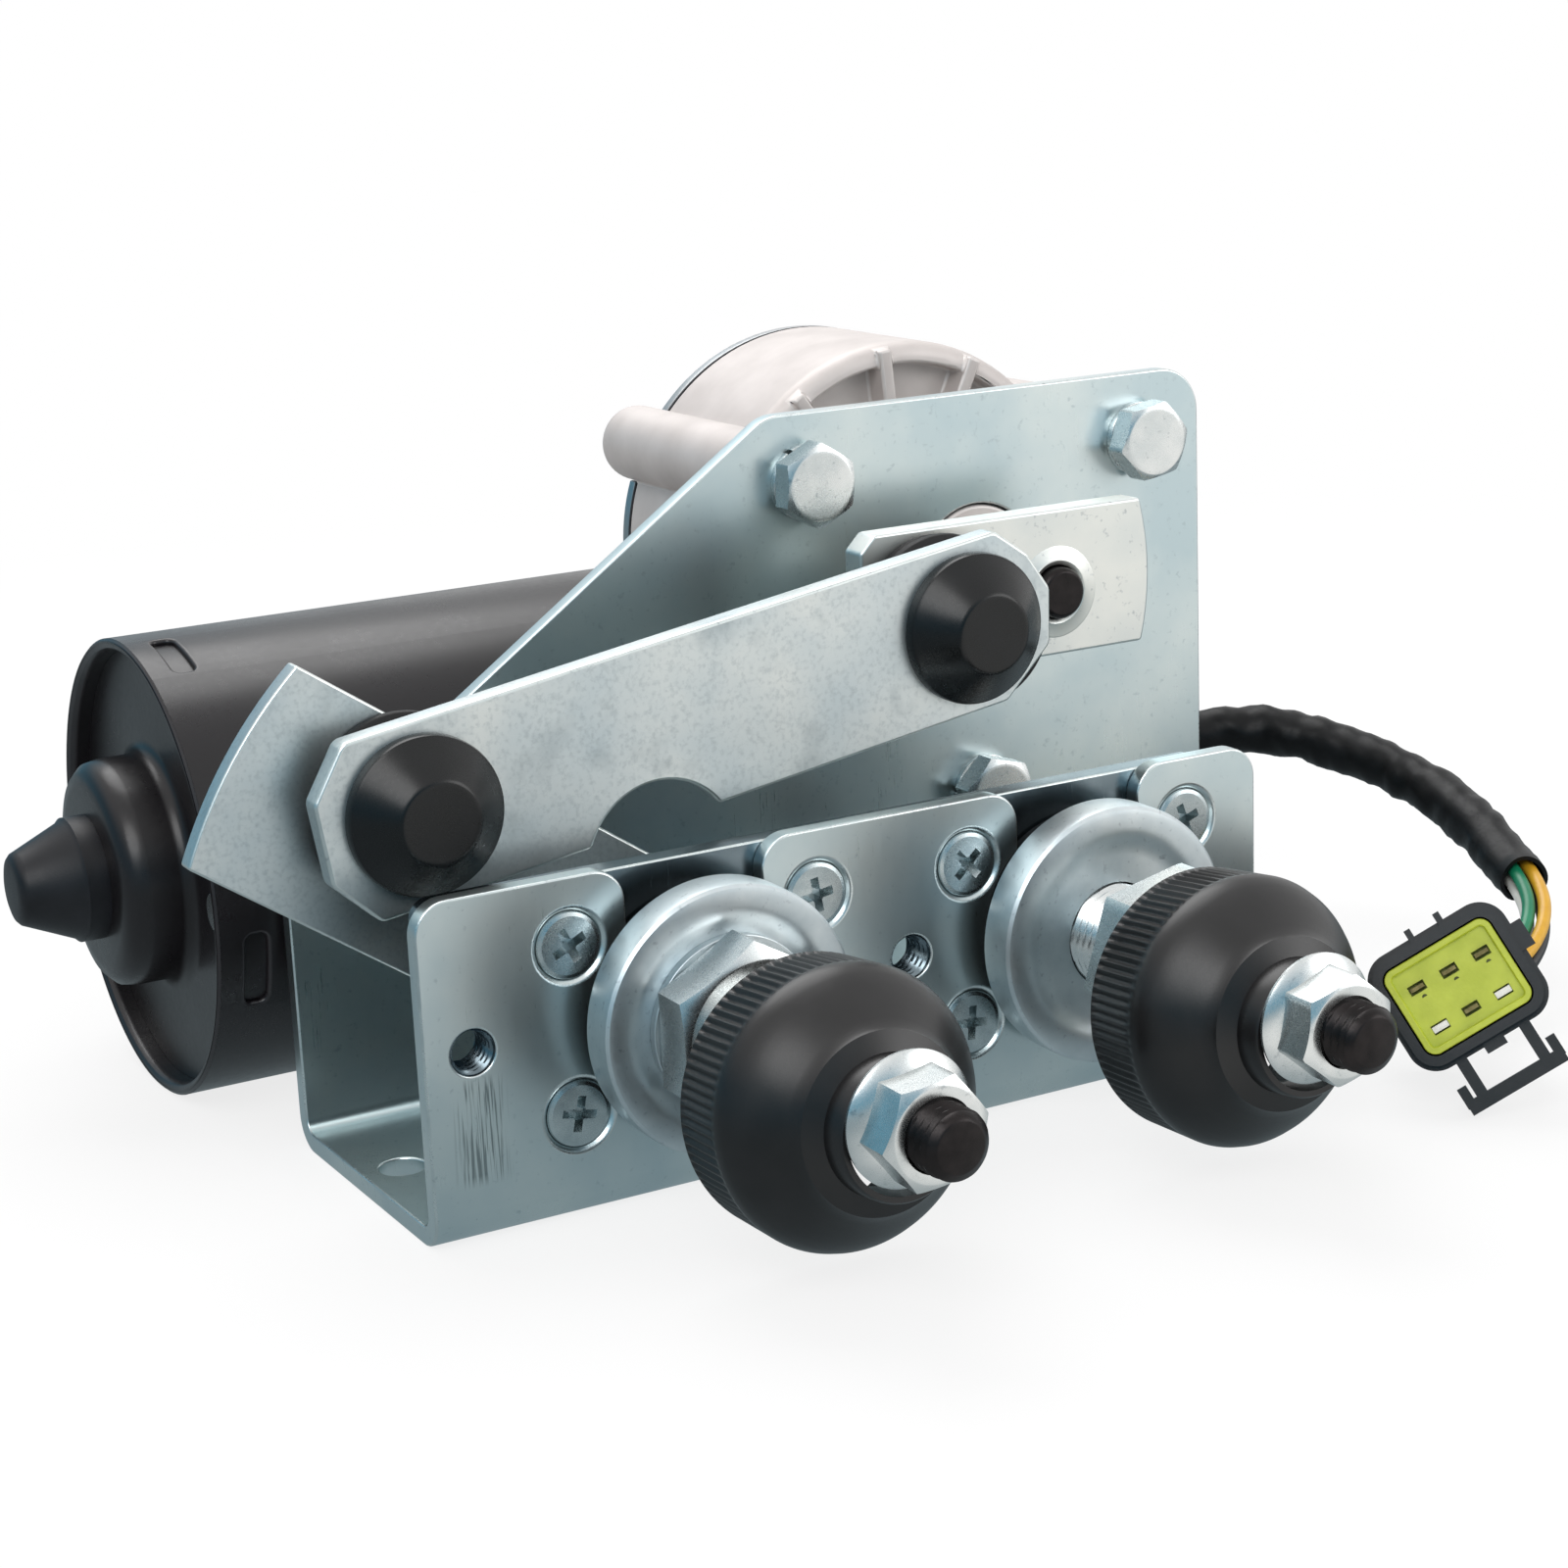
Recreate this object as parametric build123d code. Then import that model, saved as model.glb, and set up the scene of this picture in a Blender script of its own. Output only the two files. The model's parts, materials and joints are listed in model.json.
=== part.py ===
from build123d import *
from math import atan2, cos, degrees, hypot, pi, radians, sin, tan
import os

# Twin-spindle wiper motor on a folded steel bracket.
# Millimetres. X runs right along the bracket, Y runs back from its front face, Z runs up.
# The origin is where the drive spindle's axis crosses the bracket's front face.

# Gap left round a plain hole or between pieces that only lie beside each other
FIT_GAP = 0.2

# Bracket
SHEET = 3.0
CHANNEL_GAP = 47.0
FLANGE_LEFT = -43.0
FLANGE_RIGHT = 99.5
FLANGE_TOP = 22.5
WEB_BOTTOM = -28.5
BEND_INNER = 2.0
TAB_CORNER = 5.0
PLATE_RIGHT = 126.3
PLATE_TOP = 75.0
PLATE_LEFT_TOP = 16.3
PLATE_SLOPE_END = 42.4
PLATE_CORNER = 7.5
PLATE_FOOT_GAP = 1.5
LEG_HEIGHT = 8.0
WEB_HOLE_X = -36.7
WEB_HOLE_BACK = 27.7
WEB_HOLE_RADIUS = 3.5

# Pivots in the front flange
SPINDLE_PITCH = 66.0
NOTCH_RADIUS = 17.2
NOTCH_NECK = 22.0
SCREW_SPACING_X = 40.0
SCREW_SPACING_Z = 25.0
SCREW_HEAD_RADIUS = 5.6
SCREW_HEAD_HEIGHT = 2.7
SCREW_RADIUS = 3.0
SCREW_TAIL = 1.5
SCREW_RECESS = 0.15
TAPPED_HOLE_OFFSET = 35.6
TAPPED_HOLE_RADIUS = 3.4
PIVOT_PLATE = 4.0
PIVOT_PLATE_LEFT = -41.0
PIVOT_PLATE_RIGHT = 93.0
PIVOT_PLATE_DROP = 1.0
PIVOT_PLATE_FOOT = -20.0
TUBE_RADIUS = 8.0
TUBE_BORE = 6.2
TUBE_FRONT = 40.0
TUBE_COLLAR_RADIUS = 12.0
TUBE_COLLAR = 3.0
TUBE_TAIL_RADIUS = 9.5
TUBE_TAIL = 3.3
BUSH_LENGTH = 14.0
RUBBER_FRONT = 6.2
CUP_RADIUS = 20.0
CUP_FRONT = 10.0
CUP_RIM = 6.4
CUP_WALL = 2.4
CUP_DISH = 0.9
THIN_WASHER_RADIUS = 12.8
THIN_WASHER = 1.5
TUBE_NUT_FLATS = 24.0
TUBE_NUT = 8.0
IDLER_NUT_BACK = 20.0
DRIVE_NUT_TURN = 30.0
DRIVE_SPINDLE_NUT_TURN = 8.0
IDLER_SPINDLE_NUT_TURN = 20.0
IDLER_NUT_TURN = 12.0

# Spindles
SPINDLE_RADIUS = 5.0
SPINDLE_TIP = 69.5
SPINDLE_TIP_CHAMFER = 1.1
CONE_RADIUS = 5.9
CONE_BACK = 46.0
CONE_FRONT = 55.4
THREAD_RADIUS = 4.9
THREAD_ENGAGED_RADIUS = 4.6
RING_RADIUS = 7.6
RING_THICKNESS = 1.2
RING_GAP = 0.3
RING_GROOVE = 0.4
DRIVE_TAIL = 1.2
IDLER_TAIL = 2.8
NUT_BACK = 56.3
NUT_FLANGE_RADIUS = 9.4
NUT_FLATS = 14.0
NUT_HEIGHT = 8.0

# Dust caps, which hang a little low on their spindles
CAP_BACK = 30.0
CAP_SKIRT = 11.0
CAP_FRONT = 56.0
CAP_SKIRT_RADIUS = 19.3
CAP_RADIUS = 19.8
CAP_NOSE_RADIUS = 12.5
CAP_NECK_RADIUS = 9.6
CAP_HOLE_RADIUS = 8.5
CAP_WALL = 2.0
CAP_RIBS = 60
CAP_RIB_DEPTH = 0.45
CAP_TILT = 5.0
CAP_REST_GAP = 0.5

# Linkage, from the front: link, rocker, crank
LINK_FRONT = 15.0
LINK_THICKNESS = 4.0
LINK_HALF_WIDTH = 13.4
LINK_END = 15.2
LINK_RELIEF_RADIUS = 12.0
LINK_RELIEF_X = 2.9
LINK_RELIEF_Z = 17.4
ROCKER_FRONT = 24.0
ROCKER_THICKNESS = 3.5
ROCKER_HALF_WIDTH = 16.0
ROCKER_END_RADIUS = 71.0
ROCKER_ANGLE = 145.3
ROCKER_PIN_X = -34.3
ROCKER_PIN_Z = 30.8
ROCKER_HUB_RADIUS = 9.0
CRANK_FRONT = 27.0
CRANK_THICKNESS = 5.0
CRANK_HALF_WIDTH = 11.75
CRANK_LEFT = 36.0
CRANK_RIGHT = 18.0
CRANK_LIFT = 1.5
CRANK_CHAMFER = 2.6
CRANK_THROW = 24.0
BALL_RADIUS = 5.0
BALL_DEPTH = 1.0
BALL_GAP = 0.12
BALL_SEAT_GAP = 0.02
STUD_NECK_RADIUS = 3.0
STUD_COLLAR_RADIUS = 6.5
STUD_SHANK_RADIUS = 4.0
STUD_RIVET_RADIUS = 6.2
STUD_RIVET = 1.8
SOCKET_RADIUS = 9.0
SOCKET_FLANGE_RADIUS = 11.4
SOCKET_FLANGE = 1.4
LINK_CAP_RADIUS = 11.7
LINK_CAP_HEIGHT = 6.8
LINK_CAP_TOP_RADIUS = 6.0
LINK_CAP_RIM = 1.8
SEAL_RADIUS = 13.3
SEAL_RIM = 1.4
SEAL_LIP_RADIUS = 12.8
SEAL_LIP = 0.8
SEAL_LIP_SHIFTS = ((-2.0, -1.2), (4.6, -0.9))
MOVING_GAP = 0.35

# Gearbox
OUTPUT_X = 81.2
OUTPUT_Z = 45.2
SHAFT_RADIUS = 6.0
SHAFT_TIP_RADIUS = 4.1
SHAFT_TIP = 2.2
BOLT_OUTSET = 1.4
BOLT_ANGLES = (30.0, 150.0, 270.0)
BOLT_RADIUS = 4.0
BOLT_FLATS = 12.0
BOLT_HEAD = 4.6
BOLT_TURN = 10.0
BOLT_TURN_STEP = 17.0
BOLT_LENGTH = 24.0
SPRING_WASHER = 1.2
SPRING_WASHER_RADIUS = 6.2
SPRING_WASHER_SPLIT = 0.9
BOSS_RADIUS = 6.5
BOSS_OVERHANG = 6.0
WHEEL_ROOM = 1.0
CASE_FRONT_REACH = 14.5
CASE_BACK_REACH = 15.5
CASE_SHOULDER = 3.0
CASE_WALL = 3.6
CASE_FACE = 3.0
CASE_RIBS = 12
CASE_RIB_TURN = 5.0
CASE_RIB_CREST = 0.8
CASE_RIB = 2.4
CASE_RIB_HEIGHT = 4.0
NECK_RADIUS = 16.0
SPIGOT_RADIUS = 11.0
SPIGOT_CLEARANCE = 0.4
HUB_RADIUS = 8.6
HUB_FRONT = 8.8
OUTPUT_BUSH_RADIUS = 7.6
SHAFT_CLEARANCE = 0.05
COVER = 2.2
COVER_RAISED = 2.0
COVER_RAISED_RADIUS = 22.0
COVER_RAISED_SLOPE = 1.5
GASKET = 0.6
COVER_LUG_RADIUS = 4.0
COVER_LUG_ANGLES = (62.0, 118.0, 190.0, 350.0)
COVER_SCREW_RADIUS = 1.5
COVER_SCREW_DEPTH = 7.0
COVER_SCREW_HEAD = 2.0
COVER_SCREW_HEAD_RADIUS = 2.9
COVER_LUG_ROOM = 1.5
COVER_SCREW_INSET = 5.0

# Worm drive
WHEEL_TEETH = 48
WORM_PITCH_RADIUS = 6.3
TOOTH_HEIGHT = 1.0
TOOTH_CLEARANCE = 0.45
TOOTH_SHARE = 0.3
WHEEL_FACE = 9.0
WHEEL_HUB_RADIUS = 11.0
WHEEL_WEB = 4.0
WHEEL_RIM = 4.0
WHEEL_HUB_REACH = 3.0
WORM_LENGTH = 26.0
WORM_NECK = 3.0

# Motor, whose axis runs along X
CAN_RADIUS = 37.0
CAN_WALL = 2.0
CAN_LEFT = -53.0
CAN_RIGHT = 36.0
CAN_CLEARANCE = 1.5
CAN_ROLL = 0.9
CAN_SLOT_LENGTH = 12.0
CAN_SLOT_WIDTH = 3.5
CAN_SLOT_INSET = 6.3
CAN_SLOT_ANGLE = 76.0
END_PLATE_INSET = 3.5
END_PLATE = 2.0
END_BOSS_RADIUS = 18.3
END_BOSS_REACH = 7.5
END_BUSH_RADIUS = 8.0
NOSE_RADIUS = 10.0
NOSE_TIP_RADIUS = 6.0
NOSE_LENGTH = 13.0
BELL_FLANGE = 4.0
BELL_RADIUS = 22.0
BELL_LENGTH = 18.0
TUNNEL_RADIUS = 12.0
TUNNEL_BORE = 8.6
TUNNEL_RIGHT = 122.0
MOTOR_SHAFT_RADIUS = 4.0
BEARING_RADIUS = 11.0
BEARING_WIDTH = 7.0
AIR_GAP = 1.4
CORE_LEFT = -24.0
CORE_RIGHT = 12.0
CORE_SLOTS = 10
CORE_SLOT_WIDTH = 4.0
WINDING_OVERHANG = 6.0
COMMUTATOR_RADIUS = 11.0
COMMUTATOR_LENGTH = 9.0
MAGNET_THICKNESS = 7.0
MAGNET_ANGLE = 124.0
MAGNET_OVERHANG = 4.0
BRUSH_WIDTH = 6.0
BRUSH_LENGTH = 10.0
BRUSH_PLATE = 2.0
BRUSH_GUIDE_WALL = 1.2
MOTOR_SCREW_RADIUS = 2.0
MOTOR_SCREW_HEAD = 2.0
MOTOR_SCREW_HEAD_RADIUS = 3.1
MOTOR_SCREW_INSET = 3.2
SHAFT_LEFT_INSET = 3.0
SHAFT_RIGHT_INSET = 6.0

# Cable and connector
SLEEVE_RADIUS = 4.3
SLEEVE_MOUTH = 5.0
SLEEVE_WALL = 0.7
WIRE_RADIUS = 1.1
WIRE_SPACING = 1.35
GROMMET_RADIUS = 6.2
GROMMET_LENGTH = 6.0
GROMMET_BACK = 69.0
GROMMET_Z = -10.0
CONNECTOR_AT = (106.8, -39.5, -8.3)
CONNECTOR_TURN = -41.5
CONNECTOR_TILT = 18.6
CONNECTOR_ROLL = 32.7
CONNECTOR_WIDTH = 21.6
CONNECTOR_HEIGHT = 17.9
CONNECTOR_DEPTH = 24.0
CONNECTOR_WALL = 1.5
CONNECTOR_CORNER = 3.6
CONNECTOR_LIP = 1.0
INSERT_DEPTH = 9.0
INSERT_GAP = 0.25
CONNECTOR_COLLAR = 0.8
CONNECTOR_COLLAR_DEPTH = 2.4
CONNECTOR_COLLAR_FRONT = 3.0
CAVITY_WIDTH = 2.7
CAVITY_HEIGHT = 1.5
CAVITY_DEPTH = 2.5
BLADE_WIDTH = 2.2
BLADE_THICKNESS = 0.6
BLADE_LENGTH = 3.4
LATCH_ARM_X = 5.4
LATCH_BAR_WIDTH = 16.4
LATCH_BAR_DROP = 7.6
LATCH_LUG_X = 7.6
LATCH_DEPTH = 2.4
LATCH_Z = -4.2

# Ribs and tab on the connector's outside: place and size of each block
CONNECTOR_RIBS = (
    ((-2.0, 9.85, -5.5), (1.0, 2.6, 7.0)),
    ((3.0, 9.85, -5.5), (1.0, 2.6, 7.0)),
    ((11.7, 1.8, -5.5), (3.0, 4.4, 6.0)),
    ((0.2, -9.65, -5.5), (3.4, 2.4, 7.0)),
)
TERMINAL_SPOTS = ((-5.2, 2.9), (0.2, 2.7), (5.6, 2.5), (0.0, -3.8))
WINDOW_SPOTS = ((-5.3, -3.8), (5.3, -4.1))

# Wires: which corner of the bundle each takes, and the points they bend at
WIRES = {
    "wire_green": (-1, 1),
    "wire_yellow": (1, 1),
    "wire_white": (-1, -1),
    "wire_black": (1, -1),
}
WIRE_BEND = (149.0, -10.5, -16.5)
WIRE_TURN = (139.0, -14.5, -19.6)
WIRE_MOUTH_REACH = 5.5
WIRE_PLUG_REACH = 10.5
WIRE_SPREAD = 2.0

# Sizes that follow from the ones above
BEND_OUTER = BEND_INNER + SHEET
PLATE_FRONT = SHEET + CHANNEL_GAP
PLATE_BACK = PLATE_FRONT + SHEET
WEB_TOP = WEB_BOTTOM + SHEET
PIVOT_FRONT = SHEET
PIVOT_BACK = PIVOT_FRONT + PIVOT_PLATE
TUBE_COLLAR_BACK = PIVOT_BACK + TUBE_COLLAR
TUBE_BACK = TUBE_COLLAR_BACK + TUBE_TAIL
LINK_BACK = LINK_FRONT + LINK_THICKNESS
ROCKER_BACK = ROCKER_FRONT + ROCKER_THICKNESS
CRANK_BACK = CRANK_FRONT + CRANK_THICKNESS
SHAFT_FRONT = CRANK_FRONT - SHAFT_TIP
CRANK_PIN_X = OUTPUT_X - CRANK_THROW
CRANK_PIN_Z = OUTPUT_Z - 0.5
LINK_LENGTH = hypot(CRANK_PIN_X - ROCKER_PIN_X, CRANK_PIN_Z - ROCKER_PIN_Z)
LINK_ANGLE = degrees(atan2(CRANK_PIN_Z - ROCKER_PIN_Z, CRANK_PIN_X - ROCKER_PIN_X))
CAN_BACK = PLATE_BACK + CAN_CLEARANCE + CAN_RADIUS
CASE_FACE_FRONT = CAN_BACK - CASE_FRONT_REACH
CASE_FACE_BACK = CASE_FACE_FRONT + CASE_FACE
CASE_REAR = CAN_BACK + CASE_BACK_REACH
BOSS_BACK = CASE_REAR + BOSS_OVERHANG
COVER_BACK = CASE_REAR + GASKET + COVER
HUB_TIP = PLATE_BACK - HUB_FRONT
CAN_Z = WEB_BOTTOM + CAN_RADIUS
CAN_INNER = CAN_RADIUS - CAN_WALL
CORE_RADIUS = CAN_INNER - MAGNET_THICKNESS - AIR_GAP
CENTRE_DISTANCE = OUTPUT_Z - CAN_Z
WHEEL_PITCH_RADIUS = CENTRE_DISTANCE - WORM_PITCH_RADIUS
WHEEL_TIP_RADIUS = WHEEL_PITCH_RADIUS + TOOTH_HEIGHT
CAVITY_RADIUS = WHEEL_TIP_RADIUS + WHEEL_ROOM
CASE_RADIUS = CAVITY_RADIUS + CASE_WALL
COVER_RIM_RADIUS = CAVITY_RADIUS + 1.2
COVER_SCREW_CIRCLE = CASE_RADIUS - COVER_SCREW_INSET
BOLT_CIRCLE_RADIUS = CASE_RADIUS + BOLT_OUTSET
WHEEL_ROOT_RADIUS = WHEEL_PITCH_RADIUS - TOOTH_HEIGHT - TOOTH_CLEARANCE
WORM_TIP_RADIUS = WORM_PITCH_RADIUS + TOOTH_HEIGHT
WORM_ROOT_RADIUS = WORM_PITCH_RADIUS - TOOTH_HEIGHT - TOOTH_CLEARANCE
WORM_LEAD = 2 * pi * WHEEL_PITCH_RADIUS / WHEEL_TEETH
WHEEL_FRONT = CAN_BACK - WHEEL_FACE / 2
WHEEL_BACK = CAN_BACK + WHEEL_FACE / 2
END_PLATE_LEFT = CAN_LEFT + END_PLATE_INSET
END_PLATE_RIGHT = END_PLATE_LEFT + END_PLATE
END_BOSS_LEFT = CAN_LEFT - END_BOSS_REACH
BELL_LEFT = CAN_RIGHT
BELL_FACE = BELL_LEFT + BELL_FLANGE
BEARING_LEFT = BELL_FACE
BEARING_RIGHT = BEARING_LEFT + BEARING_WIDTH
SHAFT_LEFT = END_BOSS_LEFT + SHAFT_LEFT_INSET
SHAFT_RIGHT = TUNNEL_RIGHT - SHAFT_RIGHT_INSET
COMMUTATOR_LEFT = CORE_RIGHT + WINDING_OVERHANG + 1.0
COMMUTATOR_RIGHT = COMMUTATOR_LEFT + COMMUTATOR_LENGTH
BRUSH_MIDDLE = COMMUTATOR_LEFT + COMMUTATOR_LENGTH / 2
CAP_DROOP = CAP_HOLE_RADIUS - CONE_RADIUS - CAP_REST_GAP
SPINDLES = {"drive": 0.0, "idler": SPINDLE_PITCH}
LINK_JOINTS = (
    (ROCKER_PIN_X, ROCKER_PIN_Z, ROCKER_FRONT),
    (CRANK_PIN_X, CRANK_PIN_Z, SHAFT_FRONT),
)

# The route of the sleeve, from the grommet round the plate's right edge to its open mouth
SLEEVE_ROUTE = [
    (BELL_FACE + GROMMET_LENGTH, GROMMET_BACK, GROMMET_Z),
    (66.0, GROMMET_BACK, GROMMET_Z),
    (87.0, 67.0, -11.2),
    (108.0, 69.6, -7.0),
    (127.6, 73.0, 0.4),
    (146.0, 69.4, 5.4),
    (159.0, 55.6, 3.2),
    (165.2, 36.0, -2.2),
    (163.4, 18.0, -7.0),
    (157.7, 2.0, -10.6),
]


def loop_face(*points):
    """Flat face inside a closed run of straight edges."""
    return make_face(Polyline(*points, close=True))


def slab(sketch, front, back):
    """Sketch in X and Z, made solid from one Y to another."""
    plane = Plane((0, back, 0), x_dir=(1, 0, 0), z_dir=(0, -1, 0))
    return extrude(plane * sketch, amount=back - front)


def rod_y(radius, front, back, x=0.0, z=0.0):
    """Round rod along Y."""
    plane = Plane((x, front, z), x_dir=(1, 0, 0), z_dir=(0, 1, 0))
    return plane * Cylinder(radius, back - front, align=(Align.CENTER, Align.CENTER, Align.MIN))


def rod_x(radius, left, right, y=CAN_BACK, z=CAN_Z):
    """Round rod along X, on the motor's axis unless told otherwise."""
    plane = Plane((left, y, z), x_dir=(0, 1, 0), z_dir=(1, 0, 0))
    return plane * Cylinder(radius, right - left, align=(Align.CENTER, Align.CENTER, Align.MIN))


def turned_y(points, x=0.0, z=0.0):
    """Solid turned about an axis along Y, from points of radius and Y."""
    return Pos(x, 0, z) * revolve(loop_face(*points), axis=Axis.Y)


def turned_x(points):
    """Solid turned about the motor's axis, from points of X and radius."""
    return Pos(0, CAN_BACK, CAN_Z) * revolve(loop_face(*points), axis=Axis.X)


def hexagon(flats, front, back, x=0.0, z=0.0, turn=0.0):
    """Six-sided prism along Y with its outer corners turned off."""
    blank = slab(Rot(0, 0, turn) * RegularPolygon(flats / 2, 6, major_radius=False), front, back)
    corner = flats / 2 / cos(pi / 6)
    bevel = (corner - flats / 2) * 0.9
    drop = bevel * 0.55
    barrel = turned_y([
        (0, front),
        (corner - bevel, front),
        (corner, front + drop),
        (corner, back),
        (0, back),
    ])
    return Pos(x, 0, z) * (blank & barrel)


def around_output(radius, angle):
    """X and Z of a point round the output shaft."""
    return OUTPUT_X + radius * cos(radians(angle)), OUTPUT_Z + radius * sin(radians(angle))


def screw_places():
    """X and Z of the eight screws that hold the pivot plate."""
    places = []
    for middle in SPINDLES.values():
        for side in (-1, 1):
            for level in (-1, 1):
                places.append((middle + side * SCREW_SPACING_X / 2, level * SCREW_SPACING_Z / 2))
    return places


# Bracket

def channel():
    """Web and the two bends, with short legs that the plates grow from."""
    leg_top = WEB_BOTTOM + LEG_HEIGHT
    outer = Pos(PLATE_BACK / 2, (WEB_BOTTOM + leg_top) / 2) * Rectangle(PLATE_BACK, LEG_HEIGHT)
    outer = fillet(outer.vertices().group_by(Axis.Y)[0], BEND_OUTER)
    hollow = LEG_HEIGHT - SHEET
    inner = Pos(PLATE_BACK / 2, leg_top - hollow / 2) * Rectangle(CHANNEL_GAP, hollow)
    inner = fillet(inner.vertices().group_by(Axis.Y)[0], BEND_INNER)
    plane = Plane((FLANGE_LEFT, 0, 0), x_dir=(0, 1, 0), z_dir=(1, 0, 0))
    return extrude(plane * (outer - inner), amount=FLANGE_RIGHT - FLANGE_LEFT)


def flange_outline():
    """Front flange with its two keyhole notches."""
    foot = WEB_BOTTOM + LEG_HEIGHT
    middle = (FLANGE_LEFT + FLANGE_RIGHT) / 2
    width = FLANGE_RIGHT - FLANGE_LEFT
    sheet = Pos(middle, (foot + FLANGE_TOP) / 2) * Rectangle(width, FLANGE_TOP - foot)
    for x in SPINDLES.values():
        sheet -= Pos(x, 0) * Circle(NOTCH_RADIUS)
        sheet -= Pos(x, FLANGE_TOP / 2) * Rectangle(NOTCH_NECK, FLANGE_TOP)
    return fillet(sheet.vertices().group_by(Axis.Y)[-1], TAB_CORNER)


def plate_outline():
    """Rear plate that carries the gearbox."""
    foot = WEB_BOTTOM + LEG_HEIGHT
    right_foot = WEB_TOP + PLATE_FOOT_GAP
    sheet = loop_face(
        (FLANGE_LEFT, foot),
        (FLANGE_RIGHT, foot),
        (FLANGE_RIGHT, right_foot),
        (PLATE_RIGHT, right_foot),
        (PLATE_RIGHT, PLATE_TOP),
        (PLATE_SLOPE_END, PLATE_TOP),
        (FLANGE_LEFT, PLATE_LEFT_TOP),
    )
    top = sheet.vertices().group_by(Axis.Y)[-1]
    right = sheet.vertices().group_by(Axis.X)[-1].sort_by(Axis.Y)[0]
    left = sheet.vertices().group_by(Axis.X)[0].sort_by(Axis.Y)[-1]
    return fillet(top + [right, left], PLATE_CORNER)


def screw_cone(radius_gap=0.0):
    """Countersink cone of a flange screw, standing at the origin."""
    return turned_y([
        (0, 0),
        (SCREW_HEAD_RADIUS + radius_gap, 0),
        (SCREW_RADIUS + radius_gap, SCREW_HEAD_HEIGHT),
        (SCREW_RADIUS + radius_gap, SHEET),
        (0, SHEET),
    ])


def bracket():
    """Folded sheet: front flange, web and rear plate in one piece."""
    body = channel() + slab(flange_outline(), 0, SHEET) + slab(plate_outline(), PLATE_FRONT, PLATE_BACK)
    cone = screw_cone(0.05)
    for x, z in screw_places():
        body -= Pos(x, 0, z) * cone
    for x in (-TAPPED_HOLE_OFFSET, TAPPED_HOLE_OFFSET):
        body -= rod_y(TAPPED_HOLE_RADIUS, 0, SHEET, x, 0)
    body -= rod_y(SPIGOT_RADIUS + SPIGOT_CLEARANCE, PLATE_FRONT, PLATE_BACK, OUTPUT_X, OUTPUT_Z)
    for angle in BOLT_ANGLES:
        body -= rod_y(BOLT_RADIUS + 0.25, PLATE_FRONT, PLATE_BACK, *around_output(BOLT_CIRCLE_RADIUS, angle))
    web_hole = Cylinder(WEB_HOLE_RADIUS, SHEET, align=(Align.CENTER, Align.CENTER, Align.MIN))
    return body - Pos(WEB_HOLE_X, WEB_HOLE_BACK, WEB_BOTTOM) * web_hole


# Pivots

def pivot_plate():
    """Steel plate behind the flange that both pivots are fixed in."""
    top = FLANGE_TOP - PIVOT_PLATE_DROP
    middle = (PIVOT_PLATE_LEFT + PIVOT_PLATE_RIGHT) / 2
    width = PIVOT_PLATE_RIGHT - PIVOT_PLATE_LEFT
    outline = Pos(middle, (top + PIVOT_PLATE_FOOT) / 2) * RectangleRounded(width, top - PIVOT_PLATE_FOOT, 3)
    for x in SPINDLES.values():
        outline -= Pos(x, 0) * Circle(TUBE_RADIUS)
    for x, z in screw_places():
        outline -= Pos(x, z) * Circle(SCREW_RADIUS)
    for x in (-TAPPED_HOLE_OFFSET, TAPPED_HOLE_OFFSET):
        outline -= Pos(x, 0) * Circle(TAPPED_HOLE_RADIUS)
    return slab(outline, PIVOT_FRONT, PIVOT_BACK)


def pivot_screws():
    """Eight countersunk screws, flush with the flange."""
    tail = PIVOT_BACK + SCREW_TAIL
    screw = turned_y([
        (0, SCREW_RECESS),
        (SCREW_HEAD_RADIUS - 0.3, SCREW_RECESS),
        (SCREW_RADIUS, SCREW_HEAD_HEIGHT),
        (SCREW_RADIUS, tail - 0.5),
        (SCREW_RADIUS - 0.5, tail),
        (0, tail),
    ])
    return [Pos(x, 0, z) * screw for x, z in screw_places()]


def pivot_tube(x):
    """Threaded tube, riveted in the plate against its rear collar."""
    return turned_y([
        (TUBE_BORE, -TUBE_FRONT),
        (TUBE_RADIUS - 0.8, -TUBE_FRONT),
        (TUBE_RADIUS, -TUBE_FRONT + 0.8),
        (TUBE_RADIUS, PIVOT_BACK),
        (TUBE_COLLAR_RADIUS, PIVOT_BACK),
        (TUBE_COLLAR_RADIUS, TUBE_COLLAR_BACK),
        (TUBE_TAIL_RADIUS, TUBE_COLLAR_BACK),
        (TUBE_TAIL_RADIUS, TUBE_BACK),
        (TUBE_BORE, TUBE_BACK),
    ], x)


def pivot_bushes():
    """Bronze bushes, one at each end of each tube."""
    ring = Circle(TUBE_BORE) - Circle(SPINDLE_RADIUS + SHAFT_CLEARANCE)
    bushes = []
    for x in SPINDLES.values():
        bushes.append(slab(Pos(x, 0) * ring, -TUBE_FRONT, -TUBE_FRONT + BUSH_LENGTH))
        bushes.append(slab(Pos(x, 0) * ring, TUBE_BACK - BUSH_LENGTH, TUBE_BACK))
    return bushes


def rubber_ring(x):
    """Rubber ring that fills the notch between pivot plate and cup washer."""
    outer = NOTCH_RADIUS - 2 * FIT_GAP
    return turned_y([
        (TUBE_RADIUS + FIT_GAP, -RUBBER_FRONT),
        (outer - 1.2, -RUBBER_FRONT),
        (outer, -RUBBER_FRONT + 1.2),
        (outer, PIVOT_FRONT),
        (TUBE_RADIUS + FIT_GAP, PIVOT_FRONT),
    ], x)


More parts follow.
